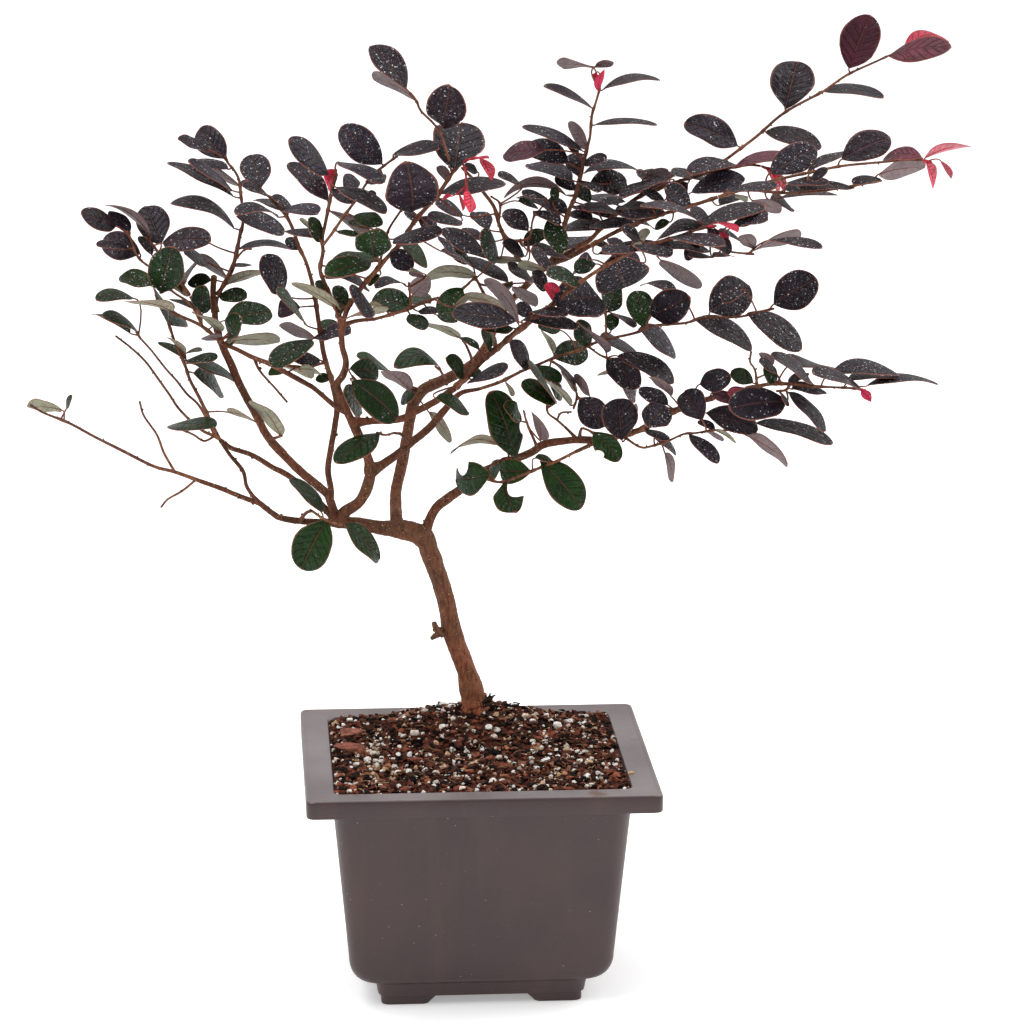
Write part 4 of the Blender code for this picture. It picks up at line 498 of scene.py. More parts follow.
@dataclass
class Shoot:
    """A stem: its picture points, and from them its axis and radii in mm."""

    name: str
    marks: list[list[float]]
    stretches: list[Stretch]
    axis: list[Vector] = field(default_factory=list)
    radii: list[float] = field(default_factory=list)

    @classmethod
    def read(cls, name: str, owners: str, text: str, parent: "Shoot | None") -> "Shoot":
        """Turn one row of the table into a shoot whose foot lies on its parent's axis.

        Args:
            name: The shoot's name.
            owners: Pieces that own its stretches.
            text: Picture points, with a slash at each change of owner.
            parent: The shoot that it grows from.

        Returns:
            The placed shoot.
        """
        marks: list[list[float]] = []
        breaks = [0]
        for word in text.split():
            if word == "/":
                breaks.append(len(marks))
                continue
            numbers = [float(number) for number in word.split(",")]
            marks.append(numbers if len(numbers) == 4 else numbers + [math.nan])
        breaks.append(len(marks) - 1)
        if parent:
            _, index, share = parent.nearest(marks[0][0], marks[0][1], 0, len(parent.marks) - 1)
            px, py, _, depth = parent.mark_at(index, share)
            marks[0] = [px, py, marks[0][2], depth]
        cls.fill_depths(marks)
        names = owners.split()
        stretches = [Stretch(owner, breaks[i], breaks[i + 1]) for i, owner in enumerate(names)]
        axis = [EYE.spot(px, py, depth) for px, py, _, depth in marks]
        radii = [max(width * MM_PER_POINT / 2, THINNEST_STEM) for _, _, width, _ in marks]
        return cls(name, marks, stretches, axis, radii)

    @staticmethod
    def fill_depths(marks: list[list[float]]) -> None:
        """Give points between two known depths a depth in proportion to their distance.

        Args:
            marks: Picture points of one shoot, changed in place.
        """
        known = [i for i, mark in enumerate(marks) if not math.isnan(mark[3])]
        for start, end in zip(known, known[1:]):
            runs = [0.0]
            for i in range(start, end):
                run = math.hypot(marks[i + 1][0] - marks[i][0], marks[i + 1][1] - marks[i][1])
                runs.append(runs[-1] + run)
            for i in range(start + 1, end):
                share = runs[i - start] / runs[-1]
                marks[i][3] = marks[start][3] + (marks[end][3] - marks[start][3]) * share
        for i in range(known[-1] + 1, len(marks)):
            marks[i][3] = marks[known[-1]][3]

    def tangent(self, index: int) -> Vector:
        """Take the direction of the axis at one of its points.

        Args:
            index: The point.

        Returns:
            The direction.
        """
        before = self.axis[max(index - 1, 0)]
        after = self.axis[min(index + 1, len(self.axis) - 1)]
        return (after - before).normalized()

    def nearest(self, px: float, py: float, first: int, last: int) -> tuple[float, int, float]:
        """Find the nearest place to a picture point.

        Args:
            px: Picture point, to the right.
            py: Picture point, down.
            first: First axis point to look at.
            last: Last axis point to look at.

        Returns:
            Distance in points, index of the axis point before, and share of the way to the next.
        """
        best = (1e9, first, 0.0)
        for index in range(first, last):
            ax, ay = self.marks[index][:2]
            bx, by = self.marks[index + 1][:2]
            run = (bx - ax) ** 2 + (by - ay) ** 2
            share = ((px - ax) * (bx - ax) + (py - ay) * (by - ay)) / run
            share = min(max(share, 0.0), 1.0)
            gap = math.hypot(px - ax - share * (bx - ax), py - ay - share * (by - ay))
            if gap < best[0]:
                best = (gap, index, share)
        return best

    def mark_at(self, index: int, share: float) -> tuple[float, ...]:
        """Picture point, width and depth between two axis points."""
        start, end = self.marks[index], self.marks[index + 1]
        return tuple(a + (b - a) * share for a, b in zip(start, end))

    def needed_points(self, stretch: Stretch) -> list[int]:
        """Pick axis points, without those almost on the line between their neighbours.

        Args:
            stretch: The run to cover.

        Returns:
            Indices of the points kept.
        """
        kept = [stretch.first]
        for index in range(stretch.first + 1, stretch.last):
            start = self.axis[kept[-1]]
            run = self.axis[index + 1] - start
            off = (self.axis[index] - start).cross(run).length / run.length
            if off > AXIS_SLACK or run.length > LONGEST_SPAN:
                kept.append(index)
        kept.append(stretch.last)
        return kept

    def sides(self, stretch: Stretch) -> int:
        """Choose the number of sides of a plain solid.

        Args:
            stretch: The run that it covers.

        Returns:
            The number.
        """
        widest = max(self.radii[stretch.first:stretch.last + 1])
        return next((count for limit, count in STEM_SIDES if widest > limit), THIN_STEM_SIDES)

    def tube(self, stretch: Stretch) -> Solid:
        """Plain solid of one stretch, as in the part's source.

        Args:
            stretch: The run to cover.

        Returns:
            Points and faces.
        """
        sides = self.sides(stretch)
        up = turn_frame(Vector((0.0, 0.0, 1.0)), self.tangent(0))
        rings = []
        needed = self.needed_points(stretch)
        for index in range(stretch.last + 1):
            tangent = self.tangent(index)
            up = turn_frame(up, tangent)
            if index not in needed:
                continue
            centre = self.axis[index].copy()
            if index == stretch.first and stretch.first > 0:
                centre += tangent * (FIT_GAP / 2)
            if index == stretch.last and stretch is not self.stretches[-1]:
                centre -= tangent * (FIT_GAP / 2)
            side = tangent.cross(up)
            radius = self.radii[index]
            angles = [2 * math.pi * i / sides for i in range(sides)]
            rings.append([
                centre + side * (radius * math.cos(angle)) - up * (radius * math.sin(angle))
                for angle in angles
            ])
        return bridge(rings)


@dataclass
class Leaf:
    """A leaf row: kind, foot and tip in the picture, seen width and options."""

    kind: LeafKind
    foot: tuple[float, float]
    tip: tuple[float, float]
    seen: float
    arch: float = 0.0
    depth: float = 0.0
    order: int = 0

    @classmethod
    def read_all(cls) -> "list[Leaf]":
        """Read all leaves.

        Returns:
            The leaves in the order of the table.
        """
        leaves: list[Leaf] = []
        for text in LEAVES.values():
            for row in text.replace("\n", " ").split(";"):
                words = row.split()
                x0, y0, x1, y1, seen = (float(word) for word in words[1:6])
                leaf = cls(LeafKind(words[0]), (x0, y0), (x1, y1), seen, order=len(leaves))
                for option in words[6:]:
                    if option[0] == "a":
                        leaf.arch = float(option[1:])
                    if option[0] == "d":
                        leaf.depth = float(option[1:])
                leaves.append(leaf)
        return leaves


@dataclass
class Pose:
    """A leaf in space: points in mm, top direction, true width and arch."""

    stem: Vector
    foot: Vector
    tip: Vector
    top: Vector
    width: float
    arch: float

    def rows(self) -> Samples:
        """Lay out the middle line of the plain leaf.

        Returns:
            Points and half widths, from inside its stem to its tip.
        """
        along = self.tip - self.foot
        length = along.length
        stalk = self.foot - self.stem
        rows = [(self.stem - stalk.normalized() * ROOT_DEPTH, 0.0)]
        if stalk.length > LONG_STALK:
            rows = [
                (rows[0][0], STALK_HALF),
                (self.foot + along * 0.04, max(0.08 * self.width, STALK_HALF)),
            ]
        shares = ((0.3, 0.45), (0.67, 0.46)) if length > SHORT_LEAF else ((0.48, 0.5),)
        for share, half in shares:
            lift = self.top * (self.arch * 4 * share * (1 - share))
            rows.append((self.foot + along * share + lift, half * self.width))
        return rows + [(self.tip, 0.0)]

    def solid(self, spare: float = 0.0) -> Solid:
        """Plain leaf of even thickness, as in the part's source.

        Args:
            spare: Growth on every side.

        Returns:
            Points and faces.
        """
        rows = self.rows()
        half_thick = LEAF_THICKNESS / 2 + spare
        plain = rows[0][1] == 0.0
        blade_axis = (self.tip - rows[0][0] if plain else self.tip - self.foot).normalized()
        up = turn_frame(self.top, blade_axis)
        side = blade_axis.cross(up)
        levels = []
        for i in range(len(rows) - 1, -1, -1):
            centre, half = rows[i]
            if i < 2 and rows[0][1]:
                stalk_axis = (rows[i + 1][0] - rows[0][0]).normalized()
                up = turn_frame(up, stalk_axis)
                side = stalk_axis.cross(up)
            reach = side * (half + spare)
            edge = [centre] if half == 0.0 else [centre - reach, centre + reach]
            upper = [point + up * half_thick for point in edge]
            levels.append((upper, [point - up * half_thick for point in edge]))
        levels.reverse()
        return self.join(levels)

    @staticmethod
    def join(levels: list[tuple[list[Vector], list[Vector]]]) -> Solid:
        """Join the rows of a leaf: upper and lower face, then the rims.

        Args:
            levels: Upper and lower points of each row.

        Returns:
            Points and faces.
        """
        points: list[Vector] = []
        spans = []
        for upper, lower in levels:
            spans.append((len(points), len(upper)))
            points += upper + lower
        faces: list[Face] = []
        for (a, wide_a), (b, wide_b) in zip(spans, spans[1:]):
            upper_face = [a, a + 1] if wide_a == 2 else [a]
            upper_face += [b + 1, b] if wide_b == 2 else [b]
            lower_face = [i + (wide_a if i < b else wide_b) for i in upper_face]
            faces += [tuple(upper_face), tuple(reversed(lower_face))]
            faces.append((a, b, b + wide_b, a + wide_a))
            right_a, right_b = a + wide_a - 1, b + wide_b - 1
            faces.append((right_b, right_a, right_a + wide_a, right_b + wide_b))
        if spans[0][1] == 2:
            faces.append((0, 2, 3, 1))
        return points, faces


@dataclass
class PlacedLeaf:
    """A leaf with its final pose and the piece that it grows in."""

    leaf: Leaf
    pose: Pose
    owner: str


@dataclass
class Crown:
    """All shoots and leaves, placed by the rules of the part's source."""

    shoots: dict[str, Shoot] = field(default_factory=dict)
    leaves: list[PlacedLeaf] = field(default_factory=list)
    trees: list[tuple[str, Vector, Vector, BVHTree]] = field(default_factory=list)

    def grow(self) -> None:
        """Place the stems first, then bend each leaf clear of the other pieces."""
        waiting = list(SHOOTS)
        while waiting:
            name, parent, owners, text = waiting.pop(0)
            if parent and parent not in self.shoots:
                waiting.append((name, parent, owners, text))
                continue
            self.shoots[name] = Shoot.read(name, owners, text, self.shoots.get(parent))
        for shoot in self.shoots.values():
            for stretch in shoot.stretches:
                self.add(stretch.owner, shoot.tube(stretch))
        for leaf in Leaf.read_all():
            self.place(leaf)

    def add(self, owner: str, solid: Solid) -> None:
        """Take in a plain solid of a piece."""
        low, high = self.corners(solid[0])
        self.trees.append((owner, low, high, BVHTree.FromPolygons(*solid)))

    @staticmethod
    def corners(points: Iterable[Vector]) -> tuple[Vector, Vector]:
        """Lowest and highest corner of points."""
        columns = list(zip(*points))
        return Vector([min(column) for column in columns]), Vector([max(column) for column in columns])

    def conflicts(self, owner: str, solid: Solid) -> tuple[int, int]:
        """Count what a solid would cross.

        Args:
            owner: The solid's piece.
            solid: Points and faces.

        Returns:
            Solids of other pieces, and of the same piece.
        """
        low, high = self.corners(solid[0])
        tree = BVHTree.FromPolygons(*solid)
        others = same = 0
        for other, other_low, other_high, other_tree in self.trees:
            apart = any(low[k] > other_high[k] or high[k] < other_low[k] for k in range(3))
            if apart or not tree.overlap(other_tree):
                continue
            if other == owner:
                same += 1
            else:
                others += 1
        return others, same

    def host_of(self, leaf: Leaf) -> tuple[Shoot, Stretch, int, float]:
        """Find the nearest stretch that may carry a leaf, and the place on it.

        Args:
            leaf: The leaf row.

        Returns:
            Shoot, stretch, index of the axis point before, and share of the way to the next.
        """
        best = None
        for shoot in self.shoots.values():
            for stretch in shoot.stretches:
                young = stretch.owner.startswith("young")
                if stretch.owner == "wood" or young != leaf.kind.young:
                    continue
                gap, index, share = shoot.nearest(*leaf.foot, stretch.first, stretch.last)
                if best is None or gap < best[0]:
                    best = (gap, shoot, stretch)
        gap, shoot, stretch = best
        reach = math.hypot(leaf.tip[0] - leaf.foot[0], leaf.tip[1] - leaf.foot[1])
        step = 0.7 * min(gap, 18.0)
        back = [leaf.foot[k] - (leaf.tip[k] - leaf.foot[k]) / reach * step for k in range(2)]
        _, index, share = shoot.nearest(*back, stretch.first, stretch.last)
        return shoot, stretch, index, share

    @staticmethod
    def root_place(host: tuple[Shoot, Stretch, int, float], order: int) -> tuple[Vector, float]:
        """Place a leaf's root on the axis, away from the stretch's ends and from other roots.

        Args:
            host: What `host_of` found.
            order: Place of the leaf in the table.

        Returns:
            The point, and its depth.
        """
        shoot, stretch, index, share = host
        start, end = shoot.axis[index], shoot.axis[index + 1]
        keep = min(JOINT_KEEP / (end - start).length, 0.45)
        low = keep if index == stretch.first else 0.0
        high = 1.0 - keep if index + 1 == stretch.last else 1.0
        share = min(max(share, low), high)
        share += (0.5 - share) * 0.07 * (order % 4)
        return start.lerp(end, share), shoot.mark_at(index, share)[3]

    def pose(self, leaf: Leaf, host: tuple, depth_shift: float, lean_shift: float) -> Pose:
        """Pose a leaf so that it covers its picture outline.

        Args:
            leaf: The leaf row.
            host: What `host_of` found.
            depth_shift: Trial shift in depth, in mm.
            lean_shift: Trial lean in degrees.

        Returns:
            The pose.
        """
        stem, stem_depth = self.root_place(host, leaf.order)
        depth = stem_depth + leaf.depth + depth_shift
        foot = EYE.spot(*leaf.foot, depth)
        seen_tip = EYE.spot(*leaf.tip, depth)
        seen_length = (seen_tip - foot).length
        seen_width = leaf.seen * MM_PER_POINT
        needed = max(seen_length, seen_width / LEAF_RATIO)
        length = max(needed, min(LEAF_STRETCH * needed, LEAF_FULL_LENGTH))
        lean = math.acos(min(seen_length / length, 1.0)) + math.radians(abs(lean_shift))
        away = 1.0 if leaf.order % 2 else -1.0
        if lean_shift < 0:
            away = -away
        tip = EYE.spot(*leaf.tip, depth + away * seen_length * math.tan(lean))
        along = tip - foot
        length = along.length
        along.normalize()
        width = max(seen_width, 0.6 * length)
        share_seen = min(seen_width / width, 1.0)
        toward = turn_frame(EYE.place - foot, along)
        upward = along.cross(toward).normalized()
        if upward.z < 0.0 or (abs(upward.z) < 0.12 and leaf.order % 3 == 0):
            upward = -upward
        facing = -1.0 if leaf.kind.shows_underside else 1.0
        top = toward * (facing * share_seen) + upward * math.sqrt(1.0 - share_seen ** 2)
        arch = leaf.arch * MM_PER_POINT + 0.05 * length
        return Pose(stem, foot, tip, top.normalized(), width, arch)

    def place(self, leaf: Leaf) -> None:
        """Bend a leaf clear of the other pieces; a leaf with no room is left out.

        Args:
            leaf: The leaf row.
        """
        host = self.host_of(leaf)
        owner = host[1].owner
        best = None
        for depth_shift in DEPTH_TRIALS:
            for lean_shift in LEAN_TRIALS:
                pose = self.pose(leaf, host, depth_shift, lean_shift)
                others, same = self.conflicts(owner, pose.solid(CLEARANCE))
                cost = CROSSING_COST * same + abs(depth_shift) + 0.1 * abs(lean_shift)
                if not others and (best is None or cost < best[0]):
                    best = (cost, pose)
            if best and best[0] <= CROSSING_COST + abs(depth_shift):
                break
        if best:
            self.add(owner, best[1].solid())
            self.leaves.append(PlacedLeaf(leaf, best[1], owner))

    def owners(self) -> list[str]:
        """Names of all leafy and young pieces."""
        names = [stretch.owner for shoot in self.shoots.values() for stretch in shoot.stretches]
        return [name for name in dict.fromkeys(names) if name != "wood"]


@dataclass
class MeshParts:
    """Points and faces of one piece, gathered from many forms.

    Each point carries a tint and a blade value: place along, place across, and how speckled it is.
    """

    points: list[Triple] = field(default_factory=list)
    faces: list[Face] = field(default_factory=list)
    slots: list[int] = field(default_factory=list)
    smooth: list[bool] = field(default_factory=list)
    tints: list[tuple[float, float, float, float]] = field(default_factory=list)
    blades: list[Triple] = field(default_factory=list)

    def add(
        self,
        solid: Solid,
        slots: int | Sequence[int],
        tints: Colour | Sequence[Colour],
        blades: Sequence[Triple] | None = None,
        smooth: bool | Sequence[bool] = True,
    ) -> None:
        """Take in one form.

        Args:
            solid: Points in mm and faces.
            slots: Which of the piece's finishes it takes, or each face takes.
            tints: Its own colour, or that of each point.
            blades: Blade values of its points.
            smooth: Whether it, or each face, is shaded smooth.
        """
        points, faces = solid
        base = len(self.points)
        self.points += [(point[0], point[1], point[2]) for point in points]
        self.faces += [tuple(base + i for i in face) for face in faces]
        self.slots += [slots] * len(faces) if isinstance(slots, int) else list(slots)
        self.smooth += [smooth] * len(faces) if isinstance(smooth, bool) else list(smooth)
        if isinstance(tints[0], float):
            tints = [tints] * len(points)
        self.tints += [(*tint, 1.0) for tint in tints]
        self.blades += list(blades) if blades else [(0.0, 0.0, 0.0)] * len(points)

    def build(self, name: str, finishes: Sequence[bpy.types.Material], shift: Vector) -> bpy.types.Object:
        """Write the piece as a smooth mesh in metres.

        Args:
            name: The object's name.
            finishes: Materials, in the order of the slots.
            shift: Where the pot's centre stands, in mm.

        Returns:
            The new object.
        """
        mesh = bpy.data.meshes.new(name)
        moved = [((x + shift.x) * MM, (y + shift.y) * MM, (z + shift.z) * MM) for x, y, z in self.points]
        mesh.from_pydata(moved, [], self.faces)
        mesh.polygons.foreach_set("material_index", self.slots)
        mesh.polygons.foreach_set("use_smooth", self.smooth)
        tint = mesh.color_attributes.new("tint", "FLOAT_COLOR", "POINT")
        tint.data.foreach_set("color", [value for row in self.tints for value in row])
        blade = mesh.attributes.new("blade", "FLOAT_VECTOR", "POINT")
        blade.data.foreach_set("vector", [value for row in self.blades for value in row])
        mesh.update()
        for finish in finishes:
            mesh.materials.append(finish)
        piece = bpy.data.objects.new(name, mesh)
        bpy.context.scene.collection.objects.link(piece)
        LOG.info("%s: %d faces", name, len(self.faces))
        return piece


@dataclass
class Nodes:
    """Short way to write a material's nodes."""

    material: bpy.types.Material

    @classmethod
    def start(cls, name: str) -> "Nodes":
        """Make a material with only its shader and output.

        Args:
            name: Its name.

        Returns:
            Its nodes.
        """
        material = bpy.data.materials.new(name)
        material.use_nodes = True
        return cls(material)

    @property
    def tree(self) -> bpy.types.NodeTree:
        """The material's node tree."""
        return self.material.node_tree

    @property
    def shader(self) -> bpy.types.Node:
        """The material's surface shader."""
        return self.tree.nodes["Principled BSDF"]

    def join(self, source: Socket, target: Socket) -> None:
        """Link two sockets."""
        self.tree.links.new(source, target)

    def feed(self, socket: Socket, value: object) -> None:
        """Link a socket, or set a constant on it.

        Args:
            socket: The input.
            value: Another socket, a number or a colour.
        """
        if isinstance(value, Socket):
            self.join(value, socket)
        elif isinstance(value, (tuple, list)) and socket.type == "RGBA":
            socket.default_value = (*value[:3], 1.0)
        else:
            socket.default_value = value

    def attribute(self, name: str) -> bpy.types.Node:
        """Read one of the mesh's own attributes.

        Args:
            name: The attribute.

        Returns:
            The node.
        """
        node = self.tree.nodes.new("ShaderNodeAttribute")
        node.attribute_name = name
        return node

    def tint(self) -> Socket:
        """The mesh's own colour."""
        return self.attribute("tint").outputs["Color"]

    def place(self) -> Socket:
        """Coordinates fixed to the piece."""
        return self.tree.nodes.new("ShaderNodeTexCoord").outputs["Object"]

    def stretch(self, source: Socket, scale: Triple) -> Socket:
        """Scale coordinates.

        Args:
            source: Coordinates.
            scale: Scale on each axis.

        Returns:
            The scaled coordinates.
        """
        node = self.tree.nodes.new("ShaderNodeMapping")
        node.inputs["Scale"].default_value = scale
        self.join(source, node.inputs["Vector"])
        return node.outputs["Vector"]

    def noise(self, source: Socket, scale: float, detail: float = 3.0) -> Socket:
        """Make a cloudy value.

        Args:
            source: Coordinates.
            scale: Clouds per metre.
            detail: Finer layers.

        Returns:
            The value, between 0 and 1.
        """
        node = self.tree.nodes.new("ShaderNodeTexNoise")
        self.join(source, node.inputs["Vector"])
        node.inputs["Scale"].default_value = scale
        node.inputs["Detail"].default_value = detail
        return node.outputs["Fac"]

    def cells(self, source: Socket, scale: float) -> Socket:
        """Distance to the nearest of scattered points.

        Args:
            source: Coordinates.
            scale: Points per metre.

        Returns:
            The distance, in steps between points.
        """
        node = self.tree.nodes.new("ShaderNodeTexVoronoi")
        self.join(source, node.inputs["Vector"])
        node.inputs["Scale"].default_value = scale
        return node.outputs["Distance"]

    def math(self, operation: str, *values: object) -> Socket:
        """Take one arithmetic step.

        Args:
            operation: Name of the step.
            *values: Sockets or numbers.

        Returns:
            The result.
        """
        node = self.tree.nodes.new("ShaderNodeMath")
        node.operation = operation
        for socket, value in zip(node.inputs, values):
            self.feed(socket, value)
        return node.outputs[0]

    def times(self, first: object, second: object) -> Socket:
        """Product of two values."""
        return self.math("MULTIPLY", first, second)

    def plus(self, first: object, second: object) -> Socket:
        """Sum of two values."""
        return self.math("ADD", first, second)

    def shade(self, colour: Socket, factors: Colour) -> Socket:
        """Colour times a factor for each of its parts."""
        return self.mix(1.0, colour, factors, Blend.MULTIPLY)

    def ramp(self, value: Socket, low: float, high: float) -> Socket:
        """Smooth step of a value.

        Args:
            value: The value.
            low: Where the step is 0; it may be above high.
            high: Where the step is 1.

        Returns:
            The step, from 0 to 1.
        """
        node = self.tree.nodes.new("ShaderNodeMapRange")
        node.interpolation_type = "SMOOTHSTEP"
        self.join(value, node.inputs["Value"])
        flip = low > high
        node.inputs["From Min"].default_value = min(low, high)
        node.inputs["From Max"].default_value = max(low, high)
        node.inputs["To Min"].default_value = 1.0 if flip else 0.0
        node.inputs["To Max"].default_value = 0.0 if flip else 1.0
        return node.outputs["Result"]

    def mix(self, share: object, first: object, second: object, how: Blend = Blend.MIX) -> Socket:
        """Mix two colours.

        Args:
            share: Share of the second.
            first: First colour.
            second: Second colour.
            how: Way of mixing.

        Returns:
            The mixed colour.
        """
        node = self.tree.nodes.new("ShaderNodeMix")
        node.data_type = "RGBA"
        node.blend_type = how.value
        self.feed(node.inputs["Factor"], share)
        self.feed(node.inputs[6], first)
        self.feed(node.inputs[7], second)
        return node.outputs[2]

    def bump(self, height: Socket, depth: float, strength: float = 1.0) -> None:
        """Give the surface its relief.

        Args:
            height: Height at each point.
            depth: Depth in metres.
            strength: Share of it that shows.
        """
        node = self.tree.nodes.new("ShaderNodeBump")
        node.inputs["Strength"].default_value = strength
        node.inputs["Distance"].default_value = depth
        self.join(height, node.inputs["Height"])
        self.join(node.outputs["Normal"], self.shader.inputs["Normal"])

    def surface(self, colour: Socket, roughness: object, shine: float) -> None:
        """Give the shader its main values.

        Args:
            colour: Colour.
            roughness: Socket or number.
            shine: Level of its shine.
        """
        self.join(colour, self.shader.inputs["Base Color"])
        self.feed(self.shader.inputs["Roughness"], roughness)
        self.shader.inputs["Specular IOR Level"].default_value = shine

    def parts(self, source: Socket) -> list[Socket]:
        """Split a vector.

        Args:
            source: The vector.

        Returns:
            Its three numbers.
        """
        node = self.tree.nodes.new("ShaderNodeSeparateXYZ")
        self.join(source, node.inputs[0])
        return list(node.outputs)

    def veins(self, along: Socket, off: Socket, pairs: float, slant: float) -> tuple[Socket, Socket]:
        """Lateral veins and midrib from blade coordinates.

        Args:
            along: Share of the blade's length.
            off: Distance from the midrib as a share of the half width.
            pairs: Number of pairs of lateral veins.
            slant: How far the laterals lean toward the tip.

        Returns:
            Strength of the laterals and of the midrib.
        """
        run = self.math("SUBTRACT", self.times(along, pairs), self.times(off, slant))
        wave = self.math("FRACT", self.plus(run, 10.0))
        peak = self.math("ABSOLUTE", self.math("SUBTRACT", wave, 0.5))
        lateral = self.times(self.ramp(peak, 0.34, 0.5), self.ramp(off, 1.0, 0.75))
        return lateral, self.ramp(off, 0.09, 0.02)

    def dots(self, place: Socket, dust: Socket, amount: float) -> Socket:
        """Scattered pale specks, denser on some leaves.

        Args:
            place: Coordinates.
            dust: How speckled the leaf is, from nothing to one.
            amount: Overall strength.

        Returns:
            Strength of the specks.
        """
        patch = self.plus(self.noise(place, 260.0, 2.0), self.times(dust, 0.3))
        faint = self.ramp(self.noise(place, 1000.0, 1.0), 0.35, 0.6)
        large = self.times(self.ramp(self.cells(place, 500.0), 0.25, 0.16), self.ramp(patch, 0.66, 0.75))
        small = self.times(self.ramp(self.cells(place, 1300.0), 0.26, 0.16), self.ramp(patch, 0.60, 0.78))
        large = self.times(large, self.plus(self.times(faint, 0.7), 0.3))
        return self.times(self.math("MAXIMUM", large, self.times(small, 0.45)), amount)


def smooth_run(points: Sequence[Vector], values: Sequence[float], step: float) -> Samples:
    """Run a smooth curve through points.

    Args:
        points: Places to pass through.
        values: A number at each place, such as the radius.
        step: Longest distance between two samples.

    Returns:
        Samples with their interpolated number.
    """
    samples = [(points[0].copy(), values[0])]
    for i in range(len(points) - 1):
        start, end = points[i], points[i + 1]
        before = points[i - 1] if i else start * 2 - end
        after = points[i + 2] if i + 2 < len(points) else end * 2 - start
        count = max(1, math.ceil((end - start).length / step))
        for k in range(1, count + 1):
            u = k / count
            place = (
                start * 2 + (end - before) * u
                + (before * 2 - start * 5 + end * 4 - after) * u ** 2
                + (start * 3 - before - end * 3 + after) * u ** 3
            ) * 0.5
            samples.append((place, values[i] + (values[i + 1] - values[i]) * u))
    return samples


def round_tube(samples: Samples, sides: int) -> Solid:
    """Close a round tube along samples.

    Args:
        samples: Places and radii.
        sides: Number of sides.

    Returns:
        Points and faces.
    """
    up = Vector((0.0, 0.0, 1.0))
    rings = []
    for i, (centre, radius) in enumerate(samples):
        before = samples[max(i - 1, 0)][0]
        after = samples[min(i + 1, len(samples) - 1)][0]
        tangent = (after - before).normalized()
        up = turn_frame(up, tangent)
        side = tangent.cross(up)
        angles = [math.tau * k / sides for k in range(sides)]
        rings.append([
            centre + side * (radius * math.cos(angle)) - up * (radius * math.sin(angle))
            for angle in angles
        ])
    return bridge(rings)


def add_end(samples: Samples, rows: Sequence[tuple[float, float]]) -> None:
    """Round off the far end of a stem.

    Args:
        samples: Places and radii of the stem, added to.
        rows: Reach and width of each new sample, in radii of the last one.
    """
    last, radius = samples[-1]
    ahead = (last - samples[-2][0]).normalized()
    for reach, share in rows:
        samples.append((last + ahead * (reach * radius), radius * share))


def spur(samples: Samples, index: int, turn: float, length: float, thick: float) -> Solid:
    """Make a small bud or leaf scar on a stem.

    Args:
        samples: Places and radii of the stem.
        index: Sample that it grows from.
        turn: Angle round the stem.
        length: How far it stands out.
        thick: Its radius at the foot.

    Returns:
        Points and faces.
    """
    centre, radius = samples[index]
    tangent = (samples[index + 1][0] - samples[index - 1][0]).normalized()
    up = turn_frame(Vector((0.0, 0.0, 1.0)), tangent)
    out = Matrix.Rotation(turn, 3, tangent) @ up
    lean = (out + tangent * 0.7).normalized()
    foot = centre + out * (radius * 0.5)
    reach = radius * 0.5 + length
    rows = ((0.6, 0.95), (0.85, 0.7), (1.0, 0.25))
    shaped = [(foot, thick)] + [(foot + lean * (reach * far), thick * share) for far, share in rows]
    return round_tube(shaped, 6)


def step_between(rows: Sequence[tuple[float, float]], place: float) -> float:
    """Read a table between its rows.

    Args:
        rows: Rising places and their values.
        place: Where to read.

    Returns:
        The value there.
    """
    for (low, first), (high, second) in zip(rows, rows[1:]):
        if place <= high:
            return first + (second - first) * (place - low) / (high - low)
    return rows[-1][1]


@dataclass(frozen=True)
class BladeShape:
    """Outline and curl of one sort of blade: rows of share along and half width."""

    outline: tuple[tuple[float, float], ...]
    fold: tuple[float, float]
    wave: float
    row_length: float = 1.5
    columns: int = 8
    half_thickness: float = 0.15


GROWN_BLADE = BladeShape(
    outline=(
        (0.0, 0.05), (0.04, 0.2), (0.1, 0.41), (0.2, 0.67), (0.32, 0.88), (0.45, 0.98), (0.56, 1.0),
        (0.68, 0.95), (0.79, 0.83), (0.88, 0.66), (0.94, 0.47), (0.975, 0.3), (0.993, 0.15), (1.0, 0.05),
    ),
    fold=(0.03, 0.2),
    wave=0.035,
)
YOUNG_BLADE = BladeShape(
    outline=(
        (0.0, 0.06), (0.1, 0.34), (0.22, 0.68), (0.36, 0.93), (0.5, 1.0), (0.64, 0.93), (0.78, 0.7),
        (0.9, 0.38), (0.97, 0.15), (1.0, 0.04),
    ),
    fold=(0.15, 0.45),
    wave=0.02,
    row_length=1.1,
    columns=6,
    half_thickness=0.11,
)


# Leaves gnawed by insects, by the picture point of their foot: side, place along, reach and depth.
NO_BITE = ((0.0, 0.0, 0.0), 0.0, 1.0, 0.0)
BITES = {
    (490, 475): ((0.0, 0.0, 1.0), 0.66, 0.19, 0.8),
    (504, 483): ((1.0, 0.0, 0.0), 0.36, 0.3, 0.9),
    (594, 432): ((-1.0, 0.0, 0.0), 0.6, 0.13, 0.4),
    (516, 458): ((1.0, 0.0, 0.0), 0.36, 0.1, 0.3),
}
# Rows of faces along a bitten blade, and the fewest and most along a whole one.
BITTEN_ROWS = 34
FEWEST_ROWS = 8
MOST_ROWS = 22


